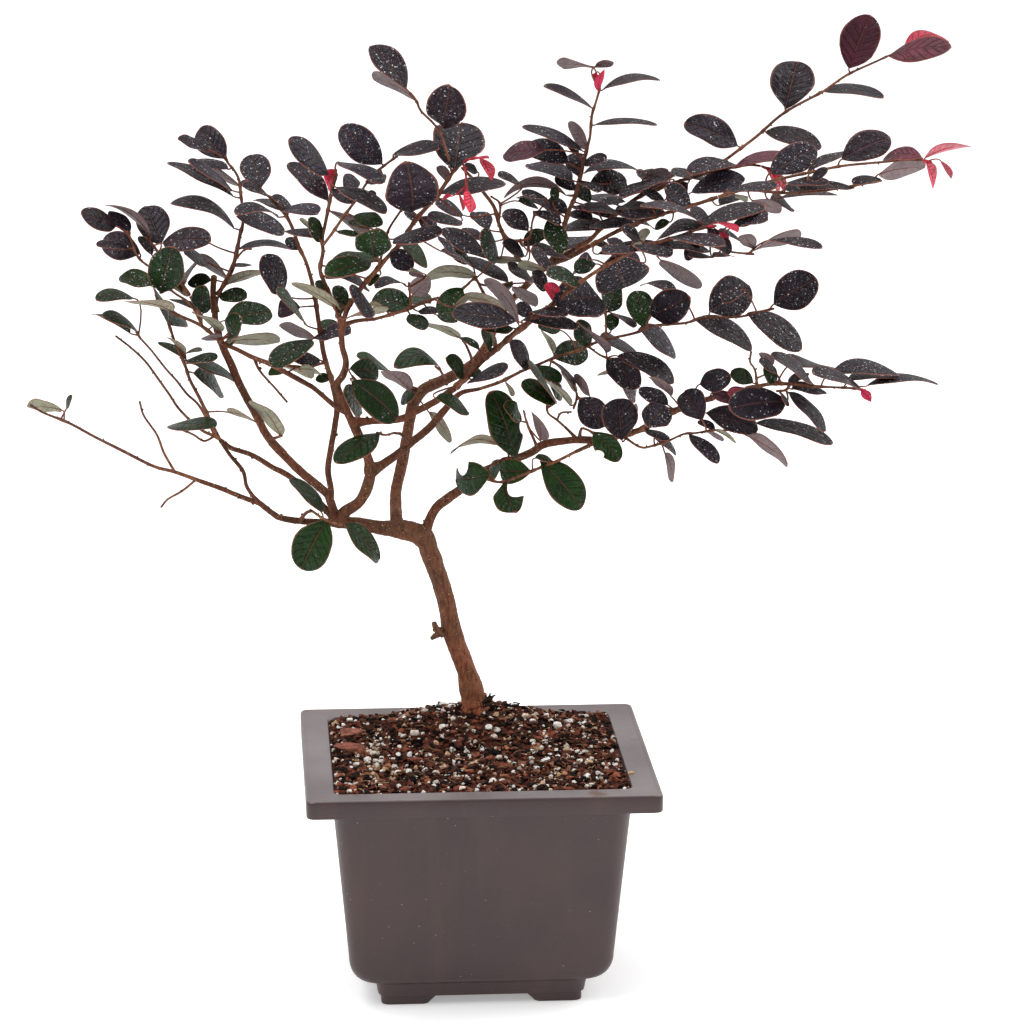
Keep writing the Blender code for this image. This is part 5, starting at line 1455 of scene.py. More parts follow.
@dataclass
class FineLeaf:
    """A thin curved blade and its stalk, on the pose of its plain solid."""

    placed: PlacedLeaf
    draw: random.Random
    dust: float = 0.0

    @property
    def shape(self) -> BladeShape:
        """Outline for its age."""
        return YOUNG_BLADE if self.placed.leaf.kind.young else GROWN_BLADE

    def axes(self) -> tuple[Vector, float, Vector]:
        """Measure the blade.

        Returns:
            Its direction, its length and its upward side.
        """
        pose = self.placed.pose
        run = pose.tip - pose.foot
        along = run.normalized()
        return along, run.length, turn_frame(pose.top, along)

    def blade(self) -> BladeMesh:
        """Shape the closed thin blade.

        Returns:
            Points and faces, the finish of each face, its smoothness, and blade values.
        """
        pose, shape, draw = self.placed.pose, self.shape, self.draw
        along, length, up = self.axes()
        side = along.cross(up)
        bite, bite_at, bite_reach, bite_depth = BITES.get(self.placed.leaf.foot, NO_BITE)
        bitten = math.copysign(1.0, side.dot(Vector(bite)))
        even_rows = min(max(round(length / shape.row_length), FEWEST_ROWS), MOST_ROWS)
        count = BITTEN_ROWS if bite_depth else even_rows
        toward = turn_frame(EYE.place - pose.foot, along)
        flat = abs(up.dot(toward))
        calm = 0.25 + 0.75 * flat
        fold = draw.uniform(*shape.fold) * draw.choice((1.0, 1.0, 1.0, -0.6)) * calm
        wave = shape.wave * draw.uniform(0.3, 1.3) * pose.width * calm
        phase, beats = draw.uniform(0, math.tau), draw.uniform(1.0, 1.9)
        droop = draw.uniform(-0.02, 0.06) * length * calm
        skew = draw.uniform(-0.04, 0.04) * pose.width
        twist = draw.uniform(-0.12, 0.12) * calm
        upper, lower, blades = [], [], []
        for row in range(count + 1):
            even = row / count
            s = even * 0.3 + 0.35 * (1 - math.cos(math.pi * even))
            half = 0.5 * pose.width * step_between(shape.outline, s)
            centre = pose.foot + along * (length * s) + up * (pose.arch * 4 * s * (1 - s))
            centre += side * (skew * math.sin(math.pi * s)) - up * (droop * max(s - 0.6, 0.0) ** 2 * 6)
            turn = Matrix.Rotation(twist * (s - 0.4), 3, along)
            row_side, row_up = turn @ side, turn @ up
            gnawed = 1 - bite_depth * math.sqrt(max(1 - ((s - bite_at) / bite_reach) ** 2, 0.0))
            for column in range(shape.columns + 1):
                t = 2 * column / shape.columns - 1
                t = math.copysign(abs(t) ** 0.85, t)
                edge = 1 + 0.03 * math.sin(9 * s + 5 * t + phase)
                edge *= gnawed if t * bitten > 0 else 1.0
                lift = fold * half * abs(t) + wave * t * t * math.sin(beats * math.tau * s + phase + 1.6 * t)
                point = centre + row_side * (half * edge * t) + row_up * lift
                upper.append(point + row_up * shape.half_thickness)
                lower.append(point - row_up * shape.half_thickness)
                blades.append((s, t, self.dust))
        return self.close(upper, lower, count, blades)

    def close(self, upper: list[Vector], lower: list[Vector], count: int, blades: list[Triple]) -> BladeMesh:
        """Join both faces of the blade by its rim.

        Args:
            upper: Points of the top.
            lower: Points of the underside.
            count: Number of rows of faces.
            blades: Blade values of one side's points.

        Returns:
            Points and faces, the finish of each face, its smoothness, and blade values.
        """
        wide = self.shape.columns + 1
        under = len(upper)
        faces: list[Face] = []
        slots: list[int] = []
        for row in range(count):
            for column in range(wide - 1):
                a = row * wide + column
                b = a + wide
                faces.append((a, a + 1, b + 1, b))
                faces.append((under + a, under + b, under + b + 1, under + a + 1))
                slots += [LeafSlot.TOP.value, LeafSlot.UNDERSIDE.value]
        smooth = [True] * len(faces)
        border = list(range(wide))
        border += [row * wide + wide - 1 for row in range(1, count + 1)]
        border += [count * wide + column for column in range(wide - 2, -1, -1)]
        border += [row * wide for row in range(count - 1, 0, -1)]
        for a, b in zip(border, border[1:] + border[:1]):
            faces.append((b, a, under + a, under + b))
            slots.append(LeafSlot.TOP.value)
            smooth.append(False)
        return (upper + lower, faces), slots, smooth, blades + blades

    def stalk(self) -> Solid:
        """Shape the bent stalk, which runs on as the midrib under the blade.

        Returns:
            Points and faces.
        """
        pose = self.placed.pose
        along, length, up = self.axes()
        gap = (pose.foot - pose.stem).length
        bend = pose.foot - along * (0.4 * gap)
        thick = 0.34 if self.placed.leaf.kind.young else 0.45
        samples = []
        for k in range(6):
            u = k / 5
            place = pose.stem * (1 - u) ** 2 + bend * (2 * u * (1 - u)) + pose.foot * u ** 2
            samples.append((place - up * (0.12 * u), thick * (1.1 - 0.25 * u)))
        for s in (0.12, 0.28, 0.46, 0.66):
            lift = pose.arch * 4 * s * (1 - s) - self.shape.half_thickness
            samples.append((pose.foot + along * (length * s) + up * lift, thick * 0.75 * (0.9 - s)))
        return round_tube(samples, 6)


# Which leaves are clean and which speckled, by the height in mm and the picture point of their foot.
LOW_LEAF_Z = 255.0
CLEAN_CORNER = (760, 120)
CLEAN_GREEN_ROW = 360
SPECKLED_MIDDLE = (600, 250)
SPECKLED_SPREAD = (260, 190)
# Rounded ends of a stem: reach and width in radii.
BUD_END = ((0.7, 1.15), (1.5, 0.8), (2.1, 0.25))
CUT_END = ((0.35, 0.9), (0.6, 0.6), (0.7, 0.2))


class LeafSlot(Enum):
    """Finishes of a leafy piece, in the order of its material slots."""

    TWIG = 0
    TOP = 1
    UNDERSIDE = 2


@dataclass
class LeafyPiece:
    """One leafy or young shoot: fine twigs, stalks and blades, standing for its node."""

    owner: str
    crown: Crown
    seed: int
    twig_sides: int = 8

    @property
    def young(self) -> bool:
        """Whether it is a young tip."""
        return self.owner.startswith("young")

    @staticmethod
    def dust(placed: PlacedLeaf, draw: random.Random) -> float:
        """Choose how speckled a leaf is: level and high ones most, low green and fresh ones least.

        Args:
            placed: The leaf.
            draw: Source of its variation.

        Returns:
            The value, from nothing to one.
        """
        leaf, pose = placed.leaf, placed.pose
        px, py = leaf.foot
        clean = leaf.kind in (LeafKind.FRESH_PURPLE, LeafKind.YOUNG_RED, LeafKind.YOUNG_PINK)
        clean = clean or pose.foot.z < LOW_LEAF_Z or (px > CLEAN_CORNER[0] and py < CLEAN_CORNER[1])
        clean = clean or (leaf.kind is LeafKind.GREEN and py > CLEAN_GREEN_ROW)
        off = [(leaf.foot[k] - SPECKLED_MIDDLE[k]) / SPECKLED_SPREAD[k] for k in range(2)]
        middle = max(0.0, 1.0 - math.hypot(*off))
        level = 0.3 + 0.35 * abs(pose.top.z) + 0.45 * middle
        return draw.uniform(0.0, 0.22) if clean else min(level + draw.uniform(-0.2, 0.45), 1.0)

    @staticmethod
    def tints(leaf: Leaf, draw: random.Random) -> tuple[Colour, Colour]:
        """Colours of a leaf's top and underside.

        Args:
            leaf: The leaf row.
            draw: Source of its variation.

        Returns:
            Top and underside.
        """
        top, underside = SEEN_TINTS.get(leaf.foot, LEAF_TINTS[leaf.kind])
        light = draw.uniform(0.75, 1.3)
        warm = draw.uniform(0.9, 1.15)
        return (
            (top[0] * light * warm, top[1] * light, top[2] * light / warm),
            (underside[0] * light ** 0.5 * warm, underside[1] * light ** 0.5, underside[2] * light ** 0.5),
        )

    def build(self, finishes: Sequence[bpy.types.Material], shift: Vector) -> bpy.types.Object:
        """Make the piece.

        Args:
            finishes: Twig, leaf top and leaf underside.
            shift: Where the pot's centre stands, in mm.

        Returns:
            The new object.
        """
        parts = MeshParts()
        draw = random.Random(self.seed)
        mine = [placed for placed in self.crown.leaves if placed.owner == self.owner]
        roots = [placed.pose.stem for placed in mine]
        for shoot in self.crown.shoots.values():
            for stretch in shoot.stretches:
                if stretch.owner == self.owner:
                    self.add_twig(parts, shoot, stretch, roots)
        for placed in mine:
            fine = FineLeaf(placed, draw, self.dust(placed, draw))
            top, underside = self.tints(placed.leaf, draw)
            solid, slots, smooth, blades = fine.blade()
            half = len(blades) // 2
            parts.add(solid, slots, [top] * half + [underside] * half, blades, smooth)
            red = YOUNG_TWIG if self.young else STALK_TINT
            parts.add(fine.stalk(), LeafSlot.TWIG.value, red)
        return parts.build(self.owner + "_foliage", finishes, shift)

    def add_twig(self, parts: MeshParts, shoot: Shoot, stretch: Stretch, roots: list[Vector]) -> None:
        """Add one stretch of a twig, with a knuckle at each leaf and a bud at its end.

        Args:
            parts: Where it goes.
            shoot: The shoot.
            stretch: The run of the shoot.
            roots: Where leaves grow from the piece's stems.
        """
        samples = twig_samples(shoot, stretch, 1.6)
        shaped = []
        for place, radius in samples:
            near = min(((root - place).length for root in roots), default=99.0)
            shaped.append((place, radius * (0.92 + 0.35 * math.exp(-(near / 1.3) ** 2))))
        if stretch is shoot.stretches[-1]:
            add_end(shaped, BUD_END)
        tube = round_tube(shaped, self.twig_sides)
        tints = []
        for place, _ in shaped:
            share = min(max((place - shaped[0][0]).length / 30.0, 0.0), 1.0)
            base = YOUNG_TWIG if self.young else tuple(
                a + (b - a) * share for a, b in zip(TWIG_BASE_TINT, TWIG_TINT)
            )
            tints += [base] * self.twig_sides
        parts.add(tube, LeafSlot.TWIG.value, tints)
        draw = random.Random(len(samples) * 7 + stretch.first)
        step = 5 if self.young else 4
        for index in range(2, len(samples) - 1, step):
            turn, length = draw.uniform(0, math.tau), draw.uniform(0.35, 0.95)
            solid = spur(samples, index, turn, length, draw.uniform(0.28, 0.45))
            parts.add(solid, LeafSlot.TWIG.value, tints[index * self.twig_sides])


def twig_samples(shoot: Shoot, stretch: Stretch, step: float) -> Samples:
    """Take smooth samples of one stretch, short of its neighbours by half the fit gap.

    Args:
        shoot: The shoot.
        stretch: The run of the shoot.
        step: Longest distance between two samples.

    Returns:
        Places and radii.
    """
    axis = [point.copy() for point in shoot.axis[stretch.first:stretch.last + 1]]
    if stretch.first > 0:
        axis[0] += shoot.tangent(stretch.first) * (FIT_GAP / 2)
    if stretch is not shoot.stretches[-1]:
        axis[-1] -= shoot.tangent(stretch.last) * (FIT_GAP / 2)
    return smooth_run(axis, shoot.radii[stretch.first:stretch.last + 1], step)


# Stubs on the wood: picture points with their width and depth, thickest first.
STUBS = (
    ((443, 635, 7, -5), (438, 631, 7, -6), (435, 626, 6, -6), (434, 622, 4.5, -6)),
    ((440, 634, 6, -5), (435, 636, 6, -6), (431, 639, 3.5, -6)),
    ((396, 516, 8, -1), (396, 512, 10, -0.5), (396, 507, 10, 1.5), (397, 504, 5, 3)),
)
# Knots and scars on the trunk: picture point, depth, half length and half width in mm.
KNOTS = (
    (447, 580, -3, 2.0, 1.1), (454, 612, -3, 1.6, 1.0), (423, 547, -5, 2.4, 2.0), (471, 677, -3, 2.2, 1.2),
    (446, 598, -5, 1.5, 1.1), (462, 655, -5, 1.8, 1.2), (436, 560, -6, 1.3, 1.0), (462, 640, -2, 1.4, 0.9),
)


@dataclass
class TreeWood:
    """Trunk, bent top and main branches with bark relief, branch collars and knots."""

    crown: Crown
    sides: int = 20
    thin_sides: int = 12
    foot_sides: int = 28
    thick_radius: float = 3.0
    root_bits: int = 14
    step: float = 1.4
    relief: float = 0.075
    collar: float = 0.55
    collar_reach: float = 4.0
    foot_flare: float = 0.5

    def build(self, finish: bpy.types.Material, shift: Vector) -> bpy.types.Object:
        """Make the wood.

        Args:
            finish: Bark.
            shift: Where the pot's centre stands, in mm.

        Returns:
            The new object.
        """
        parts = MeshParts()
        for number, shoot in enumerate(self.crown.shoots.values()):
            for stretch in shoot.stretches:
                if stretch.owner == "wood":
                    self.add_run(parts, shoot, stretch, number)
        self.add_foot(parts)
        self.add_marks(parts)
        return parts.build("bark_wood", [finish], shift)

    @staticmethod
    def add_marks(parts: MeshParts) -> None:
        """Add the pruned stubs and the scars seen on the trunk.

        Args:
            parts: Where they go.
        """
        for stub in STUBS:
            points = [EYE.spot(px, py, depth) for px, py, _, depth in stub]
            radii = [0.5 * wide * MM_PER_POINT for _, _, wide, _ in stub]
            parts.add(round_tube(smooth_run(points, radii, 0.8), 10), 0, STUB_TINT)
        for px, py, depth, long, wide in KNOTS:
            centre = EYE.spot(px, py, depth)
            along = (EYE.spot(px + 5, py + 22, depth) - centre).normalized()
            angles = [math.pi * k / 10 for k in range(-5, 6)]
            samples = [
                (centre + along * (long * math.sin(angle)), wide * max(math.cos(angle), 0.12))
                for angle in angles
            ]
            parts.add(round_tube(samples, 10), 0, KNOT_TINT)

    def add_run(self, parts: MeshParts, shoot: Shoot, stretch: Stretch, number: int) -> None:
        """Add one run of wood.

        Args:
            parts: Where it goes.
            shoot: The shoot.
            stretch: The run of the shoot.
            number: Place of the shoot in the tree, which varies the bark.
        """
        samples = twig_samples(shoot, stretch, self.step)
        widest = max(radius for _, radius in samples)
        sides = self.sides if widest > self.thick_radius else self.thin_sides
        grown = []
        run = 0.0
        for i, (place, radius) in enumerate(samples):
            run += (place - samples[i - 1][0]).length if i else 0.0
            swell = self.collar * math.exp(-(run / self.collar_reach) ** 2) if number else 0.0
            knot = 0.16 * max(noise.noise(Vector((run * 0.09, number * 7.3, 1.7))), 0.0)
            grown.append((place, radius * (0.96 + swell + knot)))
        if stretch is shoot.stretches[-1]:
            add_end(grown, CUT_END)
        points, faces = round_tube(grown, sides)
        shaped = []
        for i, point in enumerate(points):
            centre = grown[i // sides][0]
            shaped.append(centre + (point - centre) * self.rough(point, i % sides, sides, number))
        tints = [self.tint(place, radius) for place, radius in grown for _ in range(sides)]
        parts.add((shaped, faces), 0, tints)
        draw = random.Random(number)
        for index in range(5, len(samples) - 2, 9 if number == 0 else 6):
            place, radius = grown[index]
            length, turn = draw.uniform(0.3, 1.1), draw.uniform(0, math.tau)
            solid = spur(grown, index, turn, length, draw.uniform(0.5, 0.9))
            parts.add(solid, 0, self.tint(place, radius * 0.6))

    def rough(self, point: Vector, side: int, sides: int, number: int) -> float:
        """Find how far bark relief moves a point.

        Args:
            point: The point.
            side: Its place round the stem.
            sides: Number of places round the stem.
            number: What varies the bark.

        Returns:
            Its distance from the axis as a share of the plain one.
        """
        along = Vector((point.x * 0.5, point.y * 0.5, point.z * 0.12))
        flute = math.sin(math.tau * side / sides * 4 + number * 2.1 + point.z * 0.05)
        return 1.0 + self.relief * (0.35 * flute + noise.noise(along) + 0.6 * noise.noise(point * 0.7))

    @staticmethod
    def tint(place: Vector, radius: float) -> Colour:
        """Choose the bark colour: greyer on thick wood, redder on thin, warm low on the trunk.

        Args:
            place: Middle of the wood there.
            radius: Its radius.

        Returns:
            The colour.
        """
        share = min(max((radius - 1.5) / 4.0, 0.0), 1.0)
        bark = [a + (b - a) * share for a, b in zip(THIN_BARK_TINT, TRUNK_BARK_TINT)]
        low = min(max((180.0 - place.z) / 50.0, 0.0), 1.0) * share
        return tuple(a + (b - a) * low for a, b in zip(bark, FOOT_BARK_TINT))

    def add_foot(self, parts: MeshParts) -> None:
        """Add the trunk's foot, flaring into the soil.

        Args:
            parts: Where it goes.
        """
        top = EYE.spot(*TRUNK_FOOT, 0)
        samples = []
        for k in range(16):
            z = TRUNK_FOOT_Z + (top.z + 6.0 - TRUNK_FOOT_Z) * k / 15
            flare = 1.0 + self.foot_flare * math.exp(-((z - SOIL_EDGE_Z - SOIL_MOUND + 3.0) / 3.5) ** 2)
            samples.append((Vector((top.x, top.y, z)), (TRUNK_FOOT_RADIUS - 0.9) * flare))
        sides = self.foot_sides
        points, faces = round_tube(samples, sides)
        shaped = []
        for i, point in enumerate(points):
            centre = samples[i // sides][0]
            lobes = 1.0 + 0.1 * math.sin(math.tau * (i % sides) / sides * 5 + 0.6)
            shaped.append(centre + (point - centre) * self.rough(point, i % sides, sides, 3) * lobes)
        parts.add((shaped, faces), 0, FOOT_BARK_TINT)
        self.add_root_bits(parts, top)

    def add_root_bits(self, parts: MeshParts, top: Vector) -> None:
        """Add the dark bits of old root at the foot's right side.

        Args:
            parts: Where they go.
            top: Middle of the trunk at the soil.
        """
        draw = random.Random(5)
        base = Vector((top.x + TRUNK_FOOT_RADIUS - 2.5, top.y - 3.5, SOIL_EDGE_Z + SOIL_MOUND + 2.5))
        for _ in range(self.root_bits):
            turn = draw.uniform(-0.9, 1.1)
            out = Vector((math.cos(turn) * 0.7, math.sin(turn) * 0.5 - 0.3, draw.uniform(0.3, 1.6)))
            out.normalize()
            length = draw.uniform(4.0, 8.5)
            aside = Vector((draw.uniform(-1.2, 1.2), 0.0, draw.uniform(-1.0, 1.0)))
            points = [base, base + out * (length * 0.5) + aside, base + out * length]
            samples = smooth_run(points, [1.5, 0.9, 0.3], 0.8)
            parts.add(round_tube(samples, 6), 0, ROOT_BIT_TINT)


def rounded_loop(half_x: float, half_y: float, corner: float, z: float, steps: int = 12) -> list[Vector]:
    """Draw a rectangle with round corners, anticlockwise from above.

    Args:
        half_x: Half its width.
        half_y: Half its depth.
        corner: Corner radius.
        z: Height.
        steps: Points on each corner.

    Returns:
        The loop's points.
    """
    loop = []
    for sign_x, sign_y, start in ((1, 1, 0), (-1, 1, 90), (-1, -1, 180), (1, -1, 270)):
        for step in range(steps):
            angle = math.radians(start + 90 * step / (steps - 1))
            loop.append(Vector((
                sign_x * (half_x - corner) + corner * math.cos(angle),
                sign_y * (half_y - corner) + corner * math.sin(angle),
                z,
            )))
    return loop


def even_loop(half_x: float, half_y: float, corner: float, z: float, count: int) -> list[Vector]:
    """Draw a rounded rectangle with evenly spaced points.

    Args:
        half_x: Half its width.
        half_y: Half its depth.
        corner: Corner radius.
        z: Height.
        count: Number of points.

    Returns:
        The loop's points.
    """
    coarse = rounded_loop(half_x, half_y, corner, z, 8)
    runs = [0.0]
    for start, end in zip(coarse, coarse[1:] + coarse[:1]):
        runs.append(runs[-1] + (end - start).length)
    loop = []
    for number in range(count):
        along = runs[-1] * number / count
        place = max(i for i in range(len(coarse)) if runs[i] <= along)
        share = (along - runs[place]) / max(runs[place + 1] - runs[place], 1e-9)
        loop.append(coarse[place].lerp(coarse[(place + 1) % len(coarse)], share))
    return loop


# Plinth of the pot, from below: rise above the feet or above its own top, growth each way, corner radius.
PLINTH_FOOT = ((0.0, -1.0, -1.0, 6.0), (0.3, -0.4, -0.4, 6.3), (1.0, -0.2, -0.2, 6.5))
PLINTH_TOP = ((0.0, 0.8, 0.4, 7.0), (0.5, 1.7, 0.8, 8.0))
# Top of the wall: rise from the lip's underside, and growth.
WALL_TOP = ((-0.6, -0.04), (-0.15, 0.2), (0.0, 0.8))
# Lip, over its edge: rise from its underside or its top, inset, and loss of corner radius.
LIP_UNDERSIDE = ((0.0, 0.9, 0.5), (0.25, 0.27, 0.2), (0.9, 0.0, 0.0))
LIP_TOP = (
    (-1.3, 0.0, 0.0), (-0.65, 0.18, 0.0), (-0.15, 0.55, 0.2), (0.0, 1.1, 0.4),
    (-0.05, 1.7, 0.6), (-0.4, 2.1, 0.8), (-0.5, 2.9, 1.0),
)
# One corner foot, from below: height, inset of its outer sides and growth of its inner ones.
FOOT_ROWS = ((0.0, 0.7, 0.0), (0.3, 0.2, 0.1), (1.0, 0.0, 0.6))


@dataclass
class TrainingPot:
    """Moulded square pot: wide flat lip, tapering wall, plinth, four feet and drainage holes."""

    rim: tuple[float, float] = (170.0, 152.0)
    height: float = 113.0
    lip: float = 9.0
    shelf: float = 12.8
    lip_corner: float = 4.0
    wall: float = 2.6
    corner: float = 9.0
    top: tuple[float, float] = (72.0, 62.5)
    low: tuple[float, float] = (64.6, 57.0)
    low_z: float = 24.8
    edge_round: tuple[float, float, float] = (8.0, 3.4, 12.2)
    plinth: tuple[float, float] = (50.8, 51.6)
    plinth_top: float = 11.0
    foot_height: float = 4.6
    foot_outer: tuple[float, float] = (49.0, 50.0)
    foot_length: float = 23.5
    foot_slope: float = 4.6
    floor_top: float = 13.0
    floor_curve: float = 3.5
    wall_foot: float = 26.0
    mouth_depth: float = 5.0
    drain_radius: float = 6.0
    drain_sides: int = 32
    drain_place: tuple[float, float] = (27.0, 24.0)

    def inside(self, z: float) -> tuple[float, float, float]:
        """Measure the inside at a height.

        Args:
            z: The height.

        Returns:
            Half width, half depth and corner radius.
        """
        shelf_x, shelf_y = self.rim[0] / 2 - self.shelf, self.rim[1] / 2 - self.shelf
        mouth_z = self.height - self.mouth_depth
        rows = (
            (self.floor_top, self.low[0] - 14.0, self.low[1] - 8.5, 6.0),
            (self.floor_top + self.floor_curve, self.low[0] - 7.8, self.low[1] - 5.0, 7.0),
            (self.wall_foot, self.low[0] - self.wall, self.low[1] - self.wall, 7.0),
            (mouth_z, self.top[0] - self.wall + 0.2, self.top[1] - self.wall + 0.2, 6.0),
            (self.height - 1.2, shelf_x - 0.9, shelf_y - 0.9, 4.5),
            (self.height, shelf_x, shelf_y, 4.0),
        )
        for low, high in zip(rows, rows[1:]):
            if z <= high[0]:
                share = (z - low[0]) / (high[0] - low[0])
                return tuple(a + (b - a) * share for a, b in zip(low[1:], high[1:]))
        return rows[-1][1:]

    def rounded_edge(self, steps: int = 10) -> list[tuple[float, float, float, float]]:
        """Lay out the wall's rounded lower edge, from below.

        Args:
            steps: Number of rows along the curve.

        Returns:
            Height, half width, half depth and corner radius of each row.
        """
        rows = []
        for step in range(steps, -1, -1):
            angle = step / steps * math.pi / 2
            inset = 1.0 - math.cos(angle)
            half_x = self.low[0] - self.edge_round[0] * inset
            half_y = self.low[1] - self.edge_round[1] * inset
            rows.append((self.low_z - self.edge_round[2] * math.sin(angle), half_x, half_y, self.corner))
        return rows

    def cup(self) -> Solid:
        """Shape the plinth, outer wall, rounded lip and inner wall.

        Returns:
            Points and faces.
        """
        lip_x, lip_y = self.rim[0] / 2, self.rim[1] / 2
        lip_low = self.height - self.lip
        rows = [
            (base + rise, self.plinth[0] + out_x, self.plinth[1] + out_y, corner)
            for base, table in ((self.foot_height, PLINTH_FOOT), (self.plinth_top, PLINTH_TOP))
            for rise, out_x, out_y, corner in table
        ]
        rows += self.rounded_edge()
        rows += [
            (lip_low + rise, self.top[0] + out, self.top[1] + out, self.corner)
            for rise, out in WALL_TOP
        ]
        rows += [
            (base + rise, lip_x - inset, lip_y - inset, self.lip_corner - rounding)
            for base, table in ((lip_low, LIP_UNDERSIDE), (self.height, LIP_TOP))
            for rise, inset, rounding in table
        ]
        loops = [rounded_loop(x, y, corner, z) for z, x, y, corner in rows]
        mouth_x, mouth_y, corner = self.inside(self.height)
        loops.append(rounded_loop(mouth_x + 0.7, mouth_y + 0.7, corner, self.height - 0.5))
        mouth = [self.height - depth for depth in (0.65, 1.2, self.mouth_depth)]
        for z in (*mouth, self.wall_foot, self.floor_top + self.floor_curve, self.floor_top):
            loops.append(rounded_loop(*self.inside(z), z))
        return bridge(loops)

    def foot(self, sign_x: int, sign_y: int) -> Solid:
        """Shape one corner foot, its two inner sides sloping up into the plinth.

        Args:
            sign_x: Side of the pot, left or right.
            sign_y: Side of the pot, front or back.

        Returns:
            Points and faces.
        """
        loops = []
        rows = [(self.foot_height + sunk, 0.0, self.foot_slope) for sunk in (0.0, 2.4)]
        for z, inset, grow in (*FOOT_ROWS, *rows):
            outer = [side - inset for side in self.foot_outer]
            inner = [side - self.foot_length - grow for side in self.foot_outer]
            half = [(outer[k] - inner[k]) / 2 for k in range(2)]
            centre = Vector((sign_x * (outer[0] + inner[0]) / 2, sign_y * (outer[1] + inner[1]) / 2, 0.0))
            loops.append([centre + point for point in rounded_loop(*half, 3.5, z, 8)])
        return bridge(loops)

    def drain(self, sign_x: int, sign_y: int) -> Solid:
        """Shape the body of one drainage hole.

        Args:
            sign_x: Side of the pot, left or right.
            sign_y: Side of the pot, front or back.

        Returns:
            Points and faces.
        """
        x, y = sign_x * self.drain_place[0], sign_y * self.drain_place[1]
        angles = [math.tau * k / self.drain_sides for k in range(self.drain_sides)]
        return bridge([
            [
                Vector((x + self.drain_radius * math.cos(angle), y + self.drain_radius * math.sin(angle), z))
                for angle in angles
            ]
            for z in (self.foot_height - 2.0, self.floor_top + 2.0)
        ])

    def build(self, finish: bpy.types.Material, shift: Vector) -> bpy.types.Object:
        """Make the pot.

        Args:
            finish: Plastic.
            shift: Where the pot's centre stands, in mm.

        Returns:
            The new object.
        """
        signs = [(x, y) for x in (-1, 1) for y in (-1, 1)]
        pot = self.part("moulded_pot", self.cup(), finish, shift)
        tools = [(self.part("foot", self.foot(*sign), finish, shift), "UNION") for sign in signs]
        tools += [(self.part("drain", self.drain(*sign), finish, shift), "DIFFERENCE") for sign in signs]
        for tool, operation in tools:
            change = pot.modifiers.new(tool.name, "BOOLEAN")
            change.operation = operation
            change.solver = "EXACT"
            change.object = tool
        bpy.context.view_layer.update()
        shaped = pot.evaluated_get(bpy.context.evaluated_depsgraph_get())
        mesh = bpy.data.meshes.new_from_object(shaped)
        pot.modifiers.clear()
        pot.data = mesh
        for tool, _ in tools:
            bpy.data.objects.remove(tool, do_unlink=True)
        mesh.set_sharp_from_angle(angle=math.radians(38))
        return pot

    @staticmethod
    def part(name: str, solid: Solid, finish: bpy.types.Material, shift: Vector) -> bpy.types.Object:
        """Make one form of the pot.

        Args:
            name: Its name.
            solid: Points and faces.
            finish: Plastic.
            shift: Where the pot's centre stands, in mm.

        Returns:
            The new object.
        """
        parts = MeshParts()
        parts.add(solid, 0, (0.05, 0.05, 0.05))
        return parts.build(name, [finish], shift)


class SoilSlot(Enum):
    """Finishes of the soil, in the order of its material slots."""

    BED = 0
    BARK = 1
    GRAIN = 2


# Larger bits seen on the mix, by their finish: picture point, half length and half width in mm, colour.
SEEN_BITS = {
    SoilSlot.BARK: (
        (349, 749, 8.0, 6.0, (0.27, 0.092, 0.060)), (352, 734, 7.0, 5.0, (0.30, 0.115, 0.078)),
        (414, 760, 3.2, 9.0, (0.23, 0.064, 0.034)), (505, 765, 3.6, 2.2, (0.18, 0.055, 0.028)),
        (432, 764, 2.2, 3.6, (0.15, 0.045, 0.026)), (610, 770, 3.4, 2.2, (0.20, 0.062, 0.034)),
    ),
    SoilSlot.GRAIN: (
        (444, 718, 2.1, 1.8, (0.90, 0.87, 0.83)), (452, 725, 1.9, 1.6, (0.92, 0.91, 0.90)),
        (402, 710, 2.0, 1.6, (0.80, 0.68, 0.60)), (415, 740, 2.4, 1.9, (0.85, 0.74, 0.66)),
        (443, 739, 1.8, 1.6, (0.90, 0.85, 0.80)), (470, 729, 1.6, 1.4, (0.93, 0.92, 0.90)),
        (514, 718, 1.9, 1.6, (0.92, 0.91, 0.88)), (525, 729, 2.1, 1.7, (0.85, 0.66, 0.55)),
        (546, 723, 1.4, 1.3, (0.93, 0.92, 0.90)), (557, 731, 2.3, 2.0, (0.88, 0.82, 0.78)),
        (568, 725, 2.2, 1.7, (0.90, 0.86, 0.83)), (545, 745, 1.6, 1.3, (0.93, 0.92, 0.90)),
        (489, 740, 1.8, 1.7, (0.92, 0.91, 0.88)), (600, 772, 2.1, 1.6, (0.84, 0.78, 0.72)),
        (580, 760, 1.5, 1.3, (0.90, 0.88, 0.84)), (462, 787, 1.5, 1.3, (0.88, 0.76, 0.66)),
        (397, 771, 2.0, 1.3, (0.86, 0.84, 0.80)), (631, 772, 1.3, 1.1, (0.80, 0.50, 0.26)),
        (350, 720, 1.6, 1.2, (0.86, 0.83, 0.78)), (345, 731, 1.1, 1.0, (0.84, 0.58, 0.34)),
    ),
}


